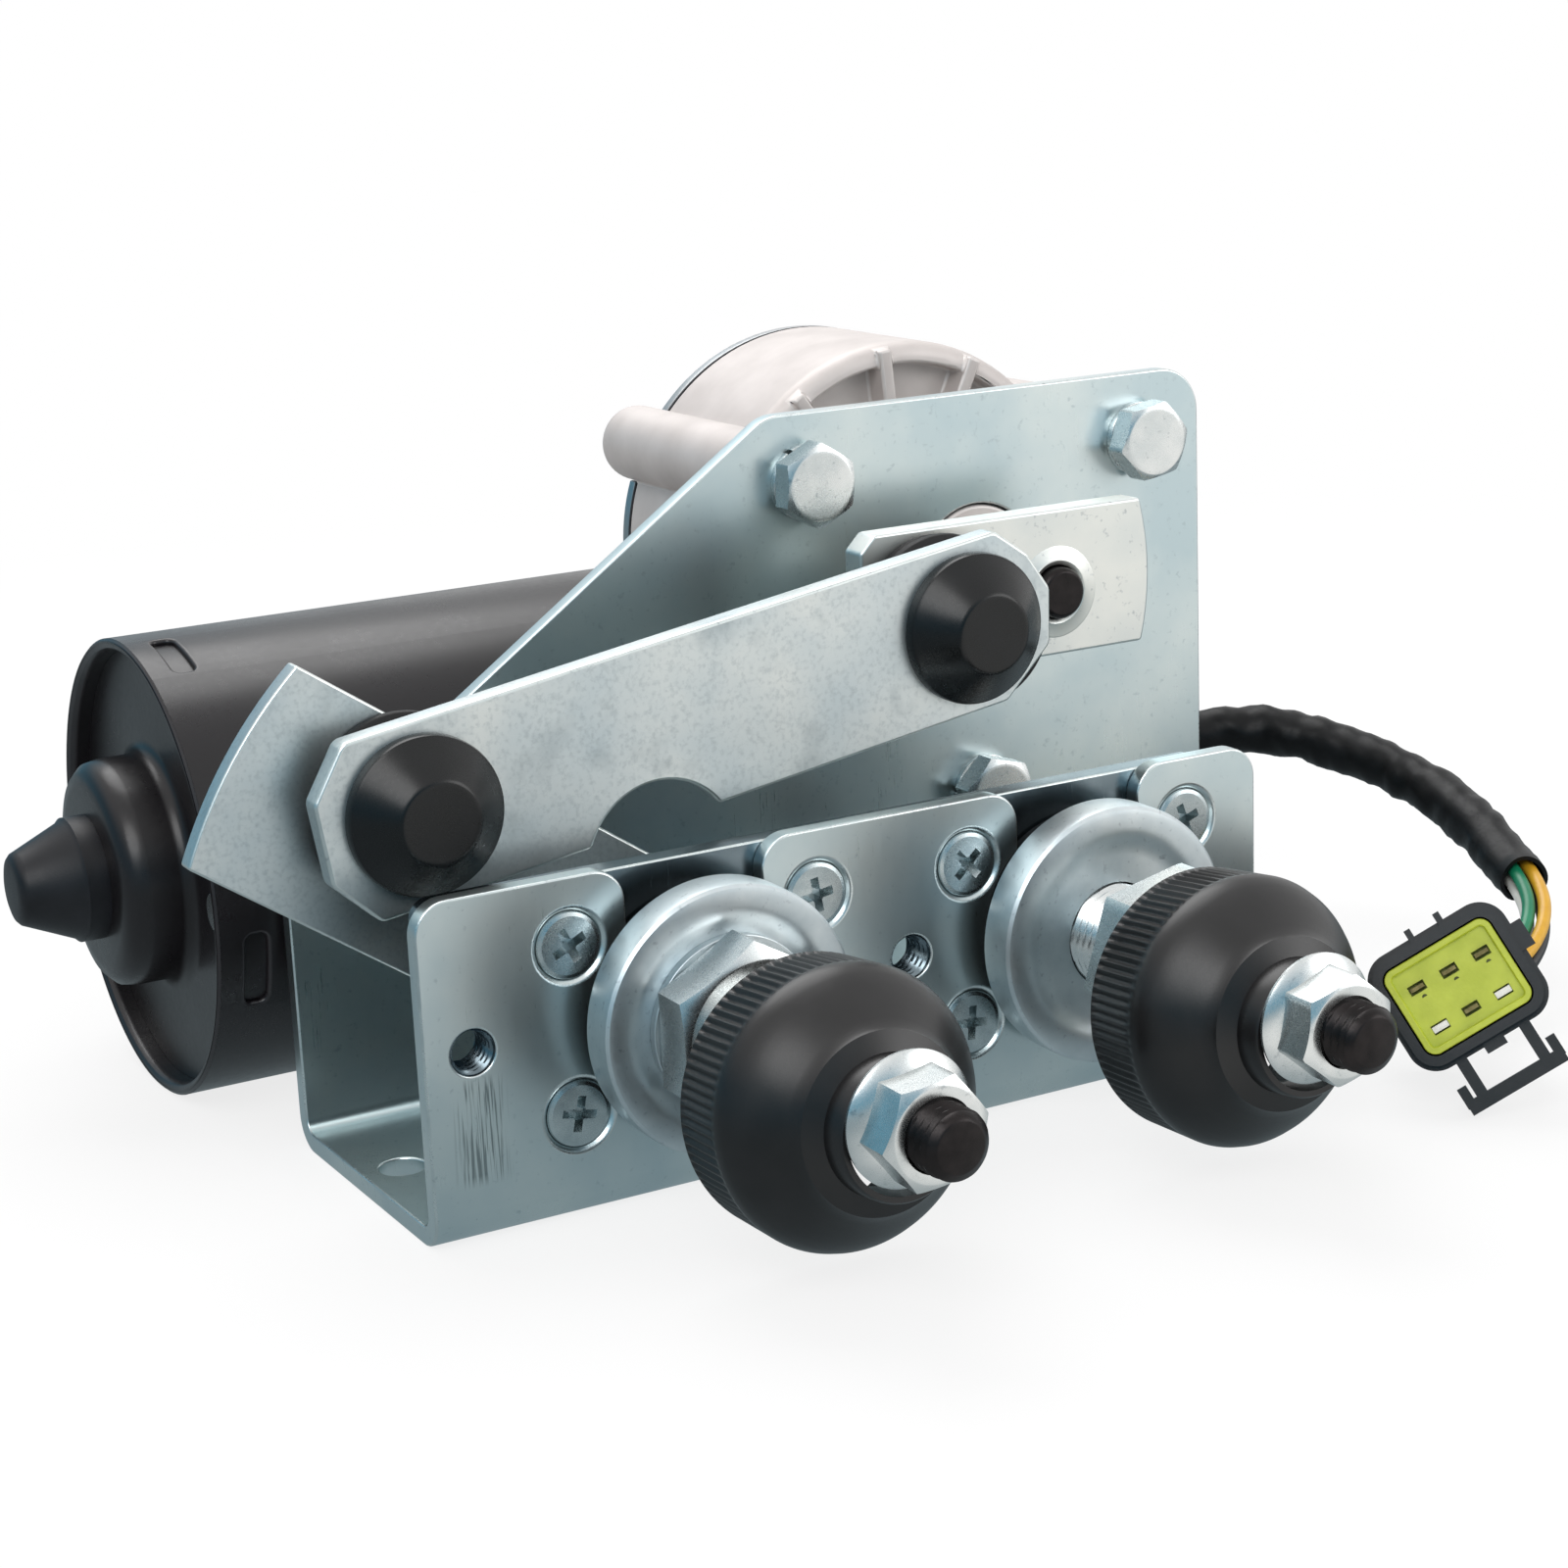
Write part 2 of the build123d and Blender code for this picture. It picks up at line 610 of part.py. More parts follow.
def cup_washer(x):
    """Pressed cup over the rubber ring, with a rounded shoulder and a dished face."""
    inner = CUP_RADIUS - CUP_WALL
    profile = Polyline(
        (CUP_RADIUS, -CUP_FRONT + 2.6),
        (CUP_RADIUS, -CUP_FRONT + CUP_RIM),
        (inner, -CUP_FRONT + CUP_RIM),
        (inner, -RUBBER_FRONT),
        (TUBE_RADIUS + FIT_GAP, -RUBBER_FRONT),
        (TUBE_RADIUS + FIT_GAP, -CUP_FRONT + CUP_DISH),
        (inner - 4.5, -CUP_FRONT + CUP_DISH),
        (inner - 1.6, -CUP_FRONT),
    )
    shoulder = Spline(
        (inner - 1.6, -CUP_FRONT),
        (CUP_RADIUS - 1.0, -CUP_FRONT + 0.75),
        (CUP_RADIUS, -CUP_FRONT + 2.6),
        tangents=[(1, 0), (0, 1)],
    )
    return Pos(x, 0, 0) * revolve(make_face([profile, shoulder]), axis=Axis.Y)


def thin_washer():
    """Flat washer under the drive pivot's nut."""
    seat = CUP_FRONT - CUP_DISH
    return slab(Circle(THIN_WASHER_RADIUS) - Circle(TUBE_RADIUS + FIT_GAP), -seat - THIN_WASHER, -seat)


def tube_nut(x, back, turn):
    """Hexagon nut on the pivot tube."""
    nut = hexagon(TUBE_NUT_FLATS, -back - TUBE_NUT, -back, x, 0, turn)
    return nut - rod_y(TUBE_RADIUS, -back - TUBE_NUT, -back, x, 0)


def dust_cap(x):
    """Bell-shaped cap with a ribbed skirt, hanging on the spindle by its neck."""
    skirt_front = -CAP_BACK - CAP_SKIRT
    crease = -CAP_FRONT + 5.2
    neck = -CAP_FRONT + 4.2
    skirt = Polyline(
        (CAP_SKIRT_RADIUS - CAP_WALL, -CAP_BACK),
        (CAP_SKIRT_RADIUS, -CAP_BACK),
        (CAP_RADIUS, skirt_front),
    )
    dome = Spline(
        (CAP_RADIUS, skirt_front),
        (CAP_RADIUS - 3.0, skirt_front - 6.0),
        (CAP_NOSE_RADIUS, crease),
        tangents=[(0.12, -1), (-1, -0.42)],
    )
    nose = Polyline(
        (CAP_NOSE_RADIUS, crease),
        (CAP_NECK_RADIUS, neck),
        (CAP_NECK_RADIUS, -CAP_FRONT),
        (CAP_HOLE_RADIUS, -CAP_FRONT),
        (CAP_HOLE_RADIUS, neck + CAP_WALL),
        (CAP_NOSE_RADIUS - CAP_WALL, crease + CAP_WALL),
    )
    inside = Spline(
        (CAP_NOSE_RADIUS - CAP_WALL, crease + CAP_WALL),
        (CAP_RADIUS - CAP_WALL - 2.2, skirt_front - 4.4),
        (CAP_SKIRT_RADIUS - CAP_WALL, -CAP_BACK),
        tangents=[(1, 0.42), (-0.06, 1)],
    )
    cap = revolve(make_face([skirt, dome, nose, inside]), axis=Axis.Y)
    groove = Pos(CAP_RADIUS + 0.25, 0, 0) * Rot(90, 0, 0) * Cylinder(
        CAP_RIB_DEPTH + 0.2, CAP_SKIRT - 2.4, align=(Align.CENTER, Align.CENTER, Align.MIN)
    )
    groove = Pos(0, -CAP_BACK - 0.8, 0) * groove
    cuts = [Rot(0, 360 * index / CAP_RIBS, 0) * groove for index in range(CAP_RIBS)]
    cap -= cuts
    hang = Pos(0, -CAP_FRONT, 0) * Rot(-CAP_TILT, 0, 0) * Pos(0, CAP_FRONT, 0)
    return Pos(x, 0, -CAP_DROOP) * hang * cap


# Spindles

def spindle(x, tail, tail_radius):
    """Hardened spindle with its cone and threaded end; the tail is what its back end carries."""
    return turned_y([
        (0, -SPINDLE_TIP),
        (THREAD_RADIUS - SPINDLE_TIP_CHAMFER, -SPINDLE_TIP),
        (THREAD_RADIUS, -SPINDLE_TIP + SPINDLE_TIP_CHAMFER),
        (THREAD_RADIUS, -NUT_BACK - NUT_HEIGHT),
        (THREAD_ENGAGED_RADIUS, -NUT_BACK - NUT_HEIGHT),
        (THREAD_ENGAGED_RADIUS, -CONE_FRONT),
        (THREAD_RADIUS + 0.2, -CONE_FRONT),
        (CONE_RADIUS, -CONE_BACK),
        (SPINDLE_RADIUS, -CONE_BACK + 0.8),
        (SPINDLE_RADIUS, TUBE_BACK + RING_GAP),
        (tail_radius, TUBE_BACK + RING_GAP),
        (tail_radius, tail),
        (0, tail),
    ], x)


def spindle_ring(x):
    """Spring ring that keeps the spindle from sliding back through its tube."""
    back = -TUBE_FRONT - RING_GAP
    return slab(Pos(x, 0) * (Circle(RING_RADIUS) - Circle(SPINDLE_RADIUS)), back - RING_THICKNESS, back)


def tail_ring():
    """Spring ring on the idler spindle's back end."""
    ring = Circle(RING_RADIUS) - Circle(SPINDLE_RADIUS - RING_GROOVE)
    front = TUBE_BACK + RING_GAP + 0.1
    return slab(Pos(SPINDLE_PITCH, 0) * ring, front, front + RING_THICKNESS)


def spindle_nut(x, turn):
    """Flanged hexagon nut on the spindle's thread."""
    flange = turned_y([
        (THREAD_ENGAGED_RADIUS, -NUT_BACK),
        (NUT_FLANGE_RADIUS - 0.3, -NUT_BACK),
        (NUT_FLANGE_RADIUS, -NUT_BACK - 0.4),
        (NUT_FLANGE_RADIUS, -NUT_BACK - 0.9),
        (NUT_FLATS / 2, -NUT_BACK - 2.3),
        (THREAD_ENGAGED_RADIUS, -NUT_BACK - 2.3),
    ])
    body = hexagon(NUT_FLATS, -NUT_BACK - NUT_HEIGHT, -NUT_BACK - 1.0, 0, 0, turn)
    body -= rod_y(THREAD_ENGAGED_RADIUS, -NUT_BACK - NUT_HEIGHT, -NUT_BACK - 1.0)
    return Pos(x, 0, 0) * (flange + body)


# Linkage

def rocker_arm():
    """Wide arm with an arc end, its hub on the drive spindle's back end."""
    reach = Pos(ROCKER_END_RADIUS / 2, 0) * Rectangle(ROCKER_END_RADIUS, 2 * ROCKER_HALF_WIDTH)
    outline = (reach & Circle(ROCKER_END_RADIUS)) + Circle(ROCKER_HALF_WIDTH)
    outline = Rot(0, 0, ROCKER_ANGLE) * outline
    outline -= Pos(ROCKER_PIN_X, ROCKER_PIN_Z) * Circle(STUD_SHANK_RADIUS)
    hub = rod_y(ROCKER_HUB_RADIUS, TUBE_BACK + 0.4, ROCKER_FRONT)
    return slab(outline, ROCKER_FRONT, ROCKER_BACK) + hub - rod_y(STUD_SHANK_RADIUS, TUBE_BACK, ROCKER_BACK)


def stud_ball(x, z, back):
    """Ball, neck and collar of a stud, up to the collar's back face."""
    centre = LINK_FRONT + BALL_DEPTH
    neck = turned_y([
        (0, centre),
        (STUD_NECK_RADIUS, centre),
        (STUD_NECK_RADIUS, LINK_BACK + 1.4),
        (STUD_COLLAR_RADIUS, LINK_BACK + 2.4),
        (STUD_COLLAR_RADIUS, back),
        (0, back),
    ])
    return Pos(x, 0, z) * (neck + Pos(0, centre, 0) * Sphere(BALL_RADIUS))


def stud_rivet(x, z, seat, back):
    """Riveted end of a stud, in the hole of its arm."""
    return turned_y([
        (0, seat),
        (STUD_SHANK_RADIUS, seat),
        (STUD_SHANK_RADIUS, back),
        (STUD_RIVET_RADIUS, back),
        (STUD_RIVET_RADIUS - 1.4, back + STUD_RIVET),
        (0, back + STUD_RIVET),
    ], x, z)


def rocker_ball_stud():
    """Ball stud riveted in the rocker, its ball inside the link's socket."""
    ball = stud_ball(ROCKER_PIN_X, ROCKER_PIN_Z, ROCKER_FRONT)
    return ball + stud_rivet(ROCKER_PIN_X, ROCKER_PIN_Z, ROCKER_FRONT, ROCKER_BACK)


def crank_ball_stud():
    """Ball and front of the collar at the crank, parted from the rest of the stud at the open pivot."""
    return stud_ball(CRANK_PIN_X, CRANK_PIN_Z, SHAFT_FRONT - MOVING_GAP)


def crank_stud_foot():
    """Back of the collar and riveted end of the crank's stud, level with the shaft's tip in front."""
    collar = rod_y(STUD_COLLAR_RADIUS, SHAFT_FRONT, CRANK_FRONT, CRANK_PIN_X, CRANK_PIN_Z)
    return collar + stud_rivet(CRANK_PIN_X, CRANK_PIN_Z, CRANK_FRONT, CRANK_BACK)


def drive_link():
    """Flat link between the two studs, relieved on its lower edge."""
    half = LINK_HALF_WIDTH
    end = LINK_END
    chamfer = 0.55 * half
    outline = loop_face(
        (-end, -half + chamfer),
        (-end, half - chamfer),
        (-end + 0.8 * chamfer, half),
        (LINK_LENGTH, half),
        (LINK_LENGTH + 0.45 * end, half),
        (LINK_LENGTH + 0.8 * end, 0.62 * half),
        (LINK_LENGTH + end, 0.15 * half),
        (LINK_LENGTH + 0.9 * end, -0.5 * half),
        (LINK_LENGTH + 0.3 * end, -half),
        (-end + 0.8 * chamfer, -half),
    )
    outline = fillet(outline.vertices(), 2.0)
    outline = Pos(ROCKER_PIN_X, ROCKER_PIN_Z) * Rot(0, 0, LINK_ANGLE) * outline
    outline -= Pos(LINK_RELIEF_X, LINK_RELIEF_Z) * Circle(LINK_RELIEF_RADIUS)
    for x, z in ((ROCKER_PIN_X, ROCKER_PIN_Z), (CRANK_PIN_X, CRANK_PIN_Z)):
        outline -= Pos(x, z) * Circle(SOCKET_RADIUS)
    return slab(outline, LINK_FRONT, LINK_BACK)


def link_socket(x, z, gap):
    """Plastic ball socket pressed through the link."""
    centre = LINK_FRONT + BALL_DEPTH
    front = centre - BALL_RADIUS + 0.9
    body = turned_y([
        (0, front),
        (SOCKET_RADIUS - 0.6, front),
        (SOCKET_RADIUS, front + 0.6),
        (SOCKET_RADIUS, LINK_BACK),
        (SOCKET_FLANGE_RADIUS, LINK_BACK),
        (SOCKET_FLANGE_RADIUS, LINK_BACK + SOCKET_FLANGE),
        (0, LINK_BACK + SOCKET_FLANGE),
    ])
    mouth = turned_y([
        (0, centre),
        (STUD_NECK_RADIUS + 0.5, centre),
        (STUD_NECK_RADIUS + 0.5, centre + BALL_RADIUS - 0.8),
        (SOCKET_RADIUS - 1.0, LINK_BACK + SOCKET_FLANGE),
        (0, LINK_BACK + SOCKET_FLANGE),
    ])
    return Pos(x, 0, z) * (body - mouth - Pos(0, centre, 0) * Sphere(BALL_RADIUS + gap))


def link_cap(x, z):
    """Domed plastic cap snapped over the socket."""
    front = LINK_FRONT - LINK_CAP_HEIGHT
    rim = LINK_FRONT - LINK_CAP_RIM
    edge = Polyline(
        (SOCKET_RADIUS, LINK_FRONT),
        (LINK_CAP_RADIUS, LINK_FRONT),
        (LINK_CAP_RADIUS, rim),
    )
    dome = Spline(
        (LINK_CAP_RADIUS, rim),
        (LINK_CAP_RADIUS - 2.2, front + 1.7),
        (LINK_CAP_TOP_RADIUS, front),
        tangents=[(0, -1), (-1, -0.25)],
    )
    top = Polyline(
        (LINK_CAP_TOP_RADIUS, front),
        (0, front),
        (0, front + 1.7),
        (LINK_CAP_TOP_RADIUS, front + 1.7),
        (SOCKET_RADIUS, front + 3.4),
        (SOCKET_RADIUS, LINK_FRONT),
    )
    return Pos(x, 0, z) * revolve(make_face([edge, dome, top]), axis=Axis.Y)


def link_seal(x, z, seat, shift):
    """Rubber dust seal behind the link, just clear of its seat, its front lip squeezed out to one side."""
    front = LINK_BACK + SOCKET_FLANGE
    back = seat - MOVING_GAP
    inner = STUD_COLLAR_RADIUS + 0.5
    trumpet = turned_y([
        (inner, back),
        (SEAL_RADIUS, back),
        (SEAL_RADIUS, back - SEAL_RIM),
        (SOCKET_FLANGE_RADIUS - 1.2, front),
        (SOCKET_RADIUS - 0.8, front),
        (inner, front + 0.8),
    ], x, z)
    lip = rod_y(SEAL_LIP_RADIUS, LINK_BACK + FIT_GAP, front + SEAL_LIP, x + shift[0], z + shift[1])
    lip -= rod_y(SOCKET_FLANGE_RADIUS + FIT_GAP, LINK_BACK, front, x, z)
    lip -= rod_y(SOCKET_RADIUS - 0.8, front, front + SEAL_LIP, x, z)
    return trumpet + lip


def crank_arm():
    """Flat crank on the output shaft, with a curved outer end."""
    left = -CRANK_LEFT
    half = CRANK_HALF_WIDTH
    sides = Polyline(
        (CRANK_RIGHT - 1.6, CRANK_LIFT - half),
        (left + CRANK_CHAMFER, CRANK_LIFT - half),
        (left, CRANK_LIFT - half + CRANK_CHAMFER),
        (left, CRANK_LIFT + half - CRANK_CHAMFER),
        (left + CRANK_CHAMFER, CRANK_LIFT + half),
        (CRANK_RIGHT - 1.6, CRANK_LIFT + half),
    )
    end = ThreePointArc(
        (CRANK_RIGHT - 1.6, CRANK_LIFT + half),
        (CRANK_RIGHT, CRANK_LIFT),
        (CRANK_RIGHT - 1.6, CRANK_LIFT - half),
    )
    outline = Pos(OUTPUT_X, OUTPUT_Z) * make_face([sides, end])
    outline -= Pos(CRANK_PIN_X, CRANK_PIN_Z) * Circle(STUD_SHANK_RADIUS)
    arm = slab(outline, CRANK_FRONT, CRANK_BACK)
    bore = turned_y([
        (0, CRANK_FRONT),
        (SHAFT_TIP_RADIUS + 0.9, CRANK_FRONT),
        (SHAFT_TIP_RADIUS + 0.1, CRANK_FRONT + 0.8),
        (SHAFT_RADIUS - 0.6, CRANK_BACK),
        (0, CRANK_BACK),
    ], OUTPUT_X, OUTPUT_Z)
    return arm - bore


# Gearbox

def output_shaft():
    """Shaft from the worm wheel through the plate to the crank's taper."""
    return turned_y([
        (0, SHAFT_FRONT),
        (SHAFT_TIP_RADIUS - 0.6, SHAFT_FRONT),
        (SHAFT_TIP_RADIUS, SHAFT_FRONT + 0.6),
        (SHAFT_TIP_RADIUS, CRANK_FRONT + 0.8),
        (SHAFT_RADIUS - 0.6, CRANK_BACK),
        (SHAFT_RADIUS, CRANK_BACK),
        (SHAFT_RADIUS, WHEEL_BACK + 3.0),
        (0, WHEEL_BACK + 3.0),
    ], OUTPUT_X, OUTPUT_Z)


def boss_back(angle):
    """How far back a bolt boss runs; the lowest one ends in the worm tunnel."""
    return CAN_BACK if angle == 270.0 else BOSS_BACK


def bolt_boss(angle):
    """Long round boss for a bolt, domed at its back end."""
    back = boss_back(angle)
    x, z = around_output(BOLT_CIRCLE_RADIUS, angle)
    boss = rod_y(BOSS_RADIUS, PLATE_BACK, back, x, z)
    if angle == 270.0:
        return boss
    return fillet(boss.edges().group_by(Axis.Y)[-1], BOSS_RADIUS - 2.0)


def cover_screw_spots():
    """Where the cover's screws stand, as X and Z."""
    return [around_output(COVER_SCREW_CIRCLE, angle) for angle in COVER_LUG_ANGLES]


def gearbox_case():
    """Die-cast case: round wheel chamber, ribbed face, neck, bolt bosses, worm tunnel and motor bell."""
    rim_front = CASE_FACE_FRONT - CASE_RIB_HEIGHT
    body = rod_y(CASE_RADIUS, rim_front, CASE_REAR, OUTPUT_X, OUTPUT_Z)
    body = fillet(body.edges().group_by(Axis.Y)[0], CASE_SHOULDER)
    body -= rod_y(CAVITY_RADIUS, rim_front, CASE_FACE_FRONT, OUTPUT_X, OUTPUT_Z)
    body += turned_y([
        (0, HUB_TIP),
        (HUB_RADIUS - 0.5, HUB_TIP),
        (HUB_RADIUS, HUB_TIP + 0.5),
        (HUB_RADIUS, PLATE_FRONT),
        (SPIGOT_RADIUS, PLATE_FRONT),
        (SPIGOT_RADIUS, PLATE_BACK),
        (NECK_RADIUS, PLATE_BACK),
        (NECK_RADIUS + 1.5, CASE_FACE_FRONT),
        (0, CASE_FACE_FRONT),
    ], OUTPUT_X, OUTPUT_Z)
    rib_length = CASE_RADIUS - CASE_RIB_CREST - NECK_RADIUS
    rib_middle = NECK_RADIUS + rib_length / 2
    for index in range(CASE_RIBS):
        turn = CASE_RIB_TURN + 360 * index / CASE_RIBS
        rib = Rot(0, 0, turn) * Pos(rib_middle, 0) * Rectangle(rib_length, CASE_RIB)
        body += slab(Pos(OUTPUT_X, OUTPUT_Z) * rib, rim_front - CASE_RIB_CREST, CASE_FACE_FRONT)
    for angle in BOLT_ANGLES:
        body += bolt_boss(angle)
    body += rod_x(TUNNEL_RADIUS, BELL_FACE, TUNNEL_RIGHT)
    body += turned_x([
        (BELL_LEFT, 0),
        (BELL_LEFT, CAN_RADIUS),
        (BELL_FACE, CAN_RADIUS),
        (BELL_FACE, BELL_RADIUS),
        (BELL_FACE + BELL_LENGTH, TUNNEL_RADIUS),
        (BELL_FACE + BELL_LENGTH, 0),
    ])
    body -= rod_y(CAVITY_RADIUS, CASE_FACE_BACK, CASE_REAR, OUTPUT_X, OUTPUT_Z)
    body -= rod_y(COVER_RIM_RADIUS, CASE_REAR, BOSS_BACK, OUTPUT_X, OUTPUT_Z)
    body -= rod_y(OUTPUT_BUSH_RADIUS, HUB_TIP, CASE_FACE_BACK, OUTPUT_X, OUTPUT_Z)
    body -= rod_x(TUNNEL_BORE, BELL_LEFT, TUNNEL_RIGHT)
    body -= rod_x(BEARING_RADIUS, BELL_LEFT, BEARING_RIGHT)
    for angle in BOLT_ANGLES:
        x, z = around_output(BOLT_CIRCLE_RADIUS, angle)
        body -= rod_y(BOLT_RADIUS, PLATE_BACK, PLATE_FRONT + BOLT_LENGTH + 1.0, x, z)
    for x, z in cover_screw_spots():
        body += rod_y(COVER_LUG_RADIUS, WHEEL_BACK + COVER_LUG_ROOM, CASE_REAR, x, z)
        body -= rod_y(COVER_SCREW_RADIUS, CASE_REAR - COVER_SCREW_DEPTH - 1.0, CASE_REAR, x, z)
    grommet_hole = rod_x(GROMMET_RADIUS - 2.0, BELL_LEFT, BELL_FACE, GROMMET_BACK, GROMMET_Z)
    for y in motor_screw_backs():
        body -= rod_x(MOTOR_SCREW_RADIUS, BELL_LEFT, BELL_FACE, y)
    return body - grommet_hole


def cover_outline():
    """Outline of cover and gasket, notched where it meets the bolt bosses."""
    outline = Circle(CASE_RADIUS)
    for angle in BOLT_ANGLES:
        spot = (BOLT_CIRCLE_RADIUS * cos(radians(angle)), BOLT_CIRCLE_RADIUS * sin(radians(angle)))
        outline -= Pos(*spot) * Circle(BOSS_RADIUS + FIT_GAP)
    return Pos(OUTPUT_X, OUTPUT_Z) * (outline + Circle(COVER_RIM_RADIUS - FIT_GAP))


def gearbox_cover():
    """Pressed cover on the back of the wheel chamber, with a raised middle."""
    plate = slab(cover_outline(), CASE_REAR + GASKET, COVER_BACK)
    for x, z in cover_screw_spots():
        plate -= rod_y(COVER_SCREW_RADIUS, CASE_REAR + GASKET, COVER_BACK, x, z)
    raised = turned_y([
        (0, COVER_BACK),
        (COVER_RAISED_RADIUS, COVER_BACK),
        (COVER_RAISED_RADIUS - COVER_RAISED_SLOPE, COVER_BACK + COVER_RAISED),
        (0, COVER_BACK + COVER_RAISED),
    ], OUTPUT_X, OUTPUT_Z)
    return plate + raised


def gasket():
    """Thin seal between case and cover, with a tab on each lug."""
    back = CASE_REAR + GASKET
    seal = slab(cover_outline() - Pos(OUTPUT_X, OUTPUT_Z) * Circle(CAVITY_RADIUS), CASE_REAR, back)
    for x, z in cover_screw_spots():
        seal += rod_y(COVER_LUG_RADIUS, CASE_REAR, back, x, z)
        seal -= rod_y(COVER_SCREW_RADIUS, CASE_REAR, back, x, z)
    return seal


def cover_screws():
    """Small pan-head screws round the cover."""
    tip = CASE_REAR - COVER_SCREW_DEPTH
    top = COVER_BACK + COVER_SCREW_HEAD
    screw = turned_y([
        (0, tip),
        (COVER_SCREW_RADIUS, tip),
        (COVER_SCREW_RADIUS, COVER_BACK),
        (COVER_SCREW_HEAD_RADIUS, COVER_BACK),
        (COVER_SCREW_HEAD_RADIUS, top - 0.8),
        (COVER_SCREW_HEAD_RADIUS - 0.8, top),
        (0, top),
    ])
    return [Pos(x, 0, z) * screw for x, z in cover_screw_spots()]


def gearbox_bolts():
    """Three hexagon bolts that hold the gearbox to the plate."""
    seat = PLATE_FRONT - SPRING_WASHER
    bolts = []
    for index, angle in enumerate(BOLT_ANGLES):
        x, z = around_output(BOLT_CIRCLE_RADIUS, angle)
        head = hexagon(BOLT_FLATS, seat - BOLT_HEAD, seat, x, z, BOLT_TURN + BOLT_TURN_STEP * index)
        bolts.append(head + rod_y(BOLT_RADIUS, seat, seat + BOLT_LENGTH, x, z))
    return bolts


def bolt_washers():
    """Split spring washers under the bolt heads."""
    ring = Circle(SPRING_WASHER_RADIUS) - Circle(BOLT_RADIUS + FIT_GAP)
    ring -= Pos(SPRING_WASHER_RADIUS - 1.0, 0) * Rectangle(4.0, SPRING_WASHER_SPLIT)
    washers = []
    for index, angle in enumerate(BOLT_ANGLES):
        x, z = around_output(BOLT_CIRCLE_RADIUS, angle)
        turned = Pos(x, z) * Rot(0, 0, 70.0 + 50.0 * index) * ring
        washers.append(slab(turned, PLATE_FRONT - SPRING_WASHER, PLATE_FRONT))
    return washers


def output_bush():
    """Long bronze bush for the output shaft."""
    ring = Circle(OUTPUT_BUSH_RADIUS) - Circle(SHAFT_RADIUS + SHAFT_CLEARANCE)
    return slab(Pos(OUTPUT_X, OUTPUT_Z) * ring, HUB_TIP + 2.0, CASE_FACE_BACK)


def shaft_seal():
    """Rubber seal in the hub's mouth."""
    ring = Circle(OUTPUT_BUSH_RADIUS) - Circle(SHAFT_RADIUS + SHAFT_CLEARANCE)
    return slab(Pos(OUTPUT_X, OUTPUT_Z) * ring, HUB_TIP + 0.3, HUB_TIP + 2.0)


# Worm drive

def wheel_outline():
    """Wheel rim with straight-sided teeth, one of them centred on the worm."""
    outline = Circle(WHEEL_ROOT_RADIUS)
    pitch = 2 * pi * WHEEL_PITCH_RADIUS / WHEEL_TEETH
    root_half = TOOTH_SHARE * pitch / 2 * 1.5
    tip_half = TOOTH_SHARE * pitch / 2 * 0.7
    tooth = loop_face(
        (WHEEL_ROOT_RADIUS - 0.6, -root_half),
        (WHEEL_TIP_RADIUS, -tip_half),
        (WHEEL_TIP_RADIUS, tip_half),
        (WHEEL_ROOT_RADIUS - 0.6, root_half),
    )
    for index in range(WHEEL_TEETH):
        outline += Rot(0, 0, 270 + 360 * index / WHEEL_TEETH) * tooth
    return outline


def worm_wheel():
    """Moulded wheel: toothed rim, thin web and a hub on the output shaft."""
    rim = wheel_outline() - Circle(WHEEL_ROOT_RADIUS - WHEEL_RIM)
    middle = (WHEEL_FRONT + WHEEL_BACK) / 2
    place = Pos(OUTPUT_X, OUTPUT_Z)
    web = Circle(WHEEL_ROOT_RADIUS - WHEEL_RIM / 2) - Circle(SHAFT_RADIUS)
    hub = Circle(WHEEL_HUB_RADIUS) - Circle(SHAFT_RADIUS)
    wheel = slab(place * rim, WHEEL_FRONT, WHEEL_BACK)
    wheel += slab(place * web, middle - WHEEL_WEB / 2, middle + WHEEL_WEB / 2)
    wheel += slab(place * hub, WHEEL_FRONT - WHEEL_HUB_REACH, WHEEL_BACK)
    return wheel


def worm():
    """Worm on the motor's shaft, its thread half a lead off the wheel's lowest tooth."""
    left = OUTPUT_X - WORM_LENGTH / 2
    right = OUTPUT_X + WORM_LENGTH / 2
    core = rod_x(WORM_ROOT_RADIUS, left - WORM_NECK, right + WORM_NECK)
    root_half = TOOTH_SHARE * WORM_LEAD * 0.75
    tip_half = TOOTH_SHARE * WORM_LEAD * 0.4
    helix = Helix(WORM_LEAD, WORM_LENGTH, WORM_ROOT_RADIUS)
    section = Plane.XZ * loop_face(
        (WORM_ROOT_RADIUS - 0.4, -root_half),
        (WORM_TIP_RADIUS, -tip_half),
        (WORM_TIP_RADIUS, tip_half),
        (WORM_ROOT_RADIUS - 0.4, root_half),
    )
    thread = sweep(section, path=helix, is_frenet=True)
    start = Plane((left, CAN_BACK, CAN_Z), x_dir=(0, 0, 1), z_dir=(1, 0, 0))
    phase = 360 * (WORM_LENGTH / 2 / WORM_LEAD + 0.5)
    thread = start * Rot(0, 0, -phase) * thread
    return core + thread - rod_x(MOTOR_SHAFT_RADIUS, left - WORM_NECK, right + WORM_NECK)


# Motor

def motor_screw_backs():
    """Y of the two long screws, between the magnets."""
    reach = CAN_INNER - MOTOR_SCREW_INSET
    return CAN_BACK - reach, CAN_BACK + reach


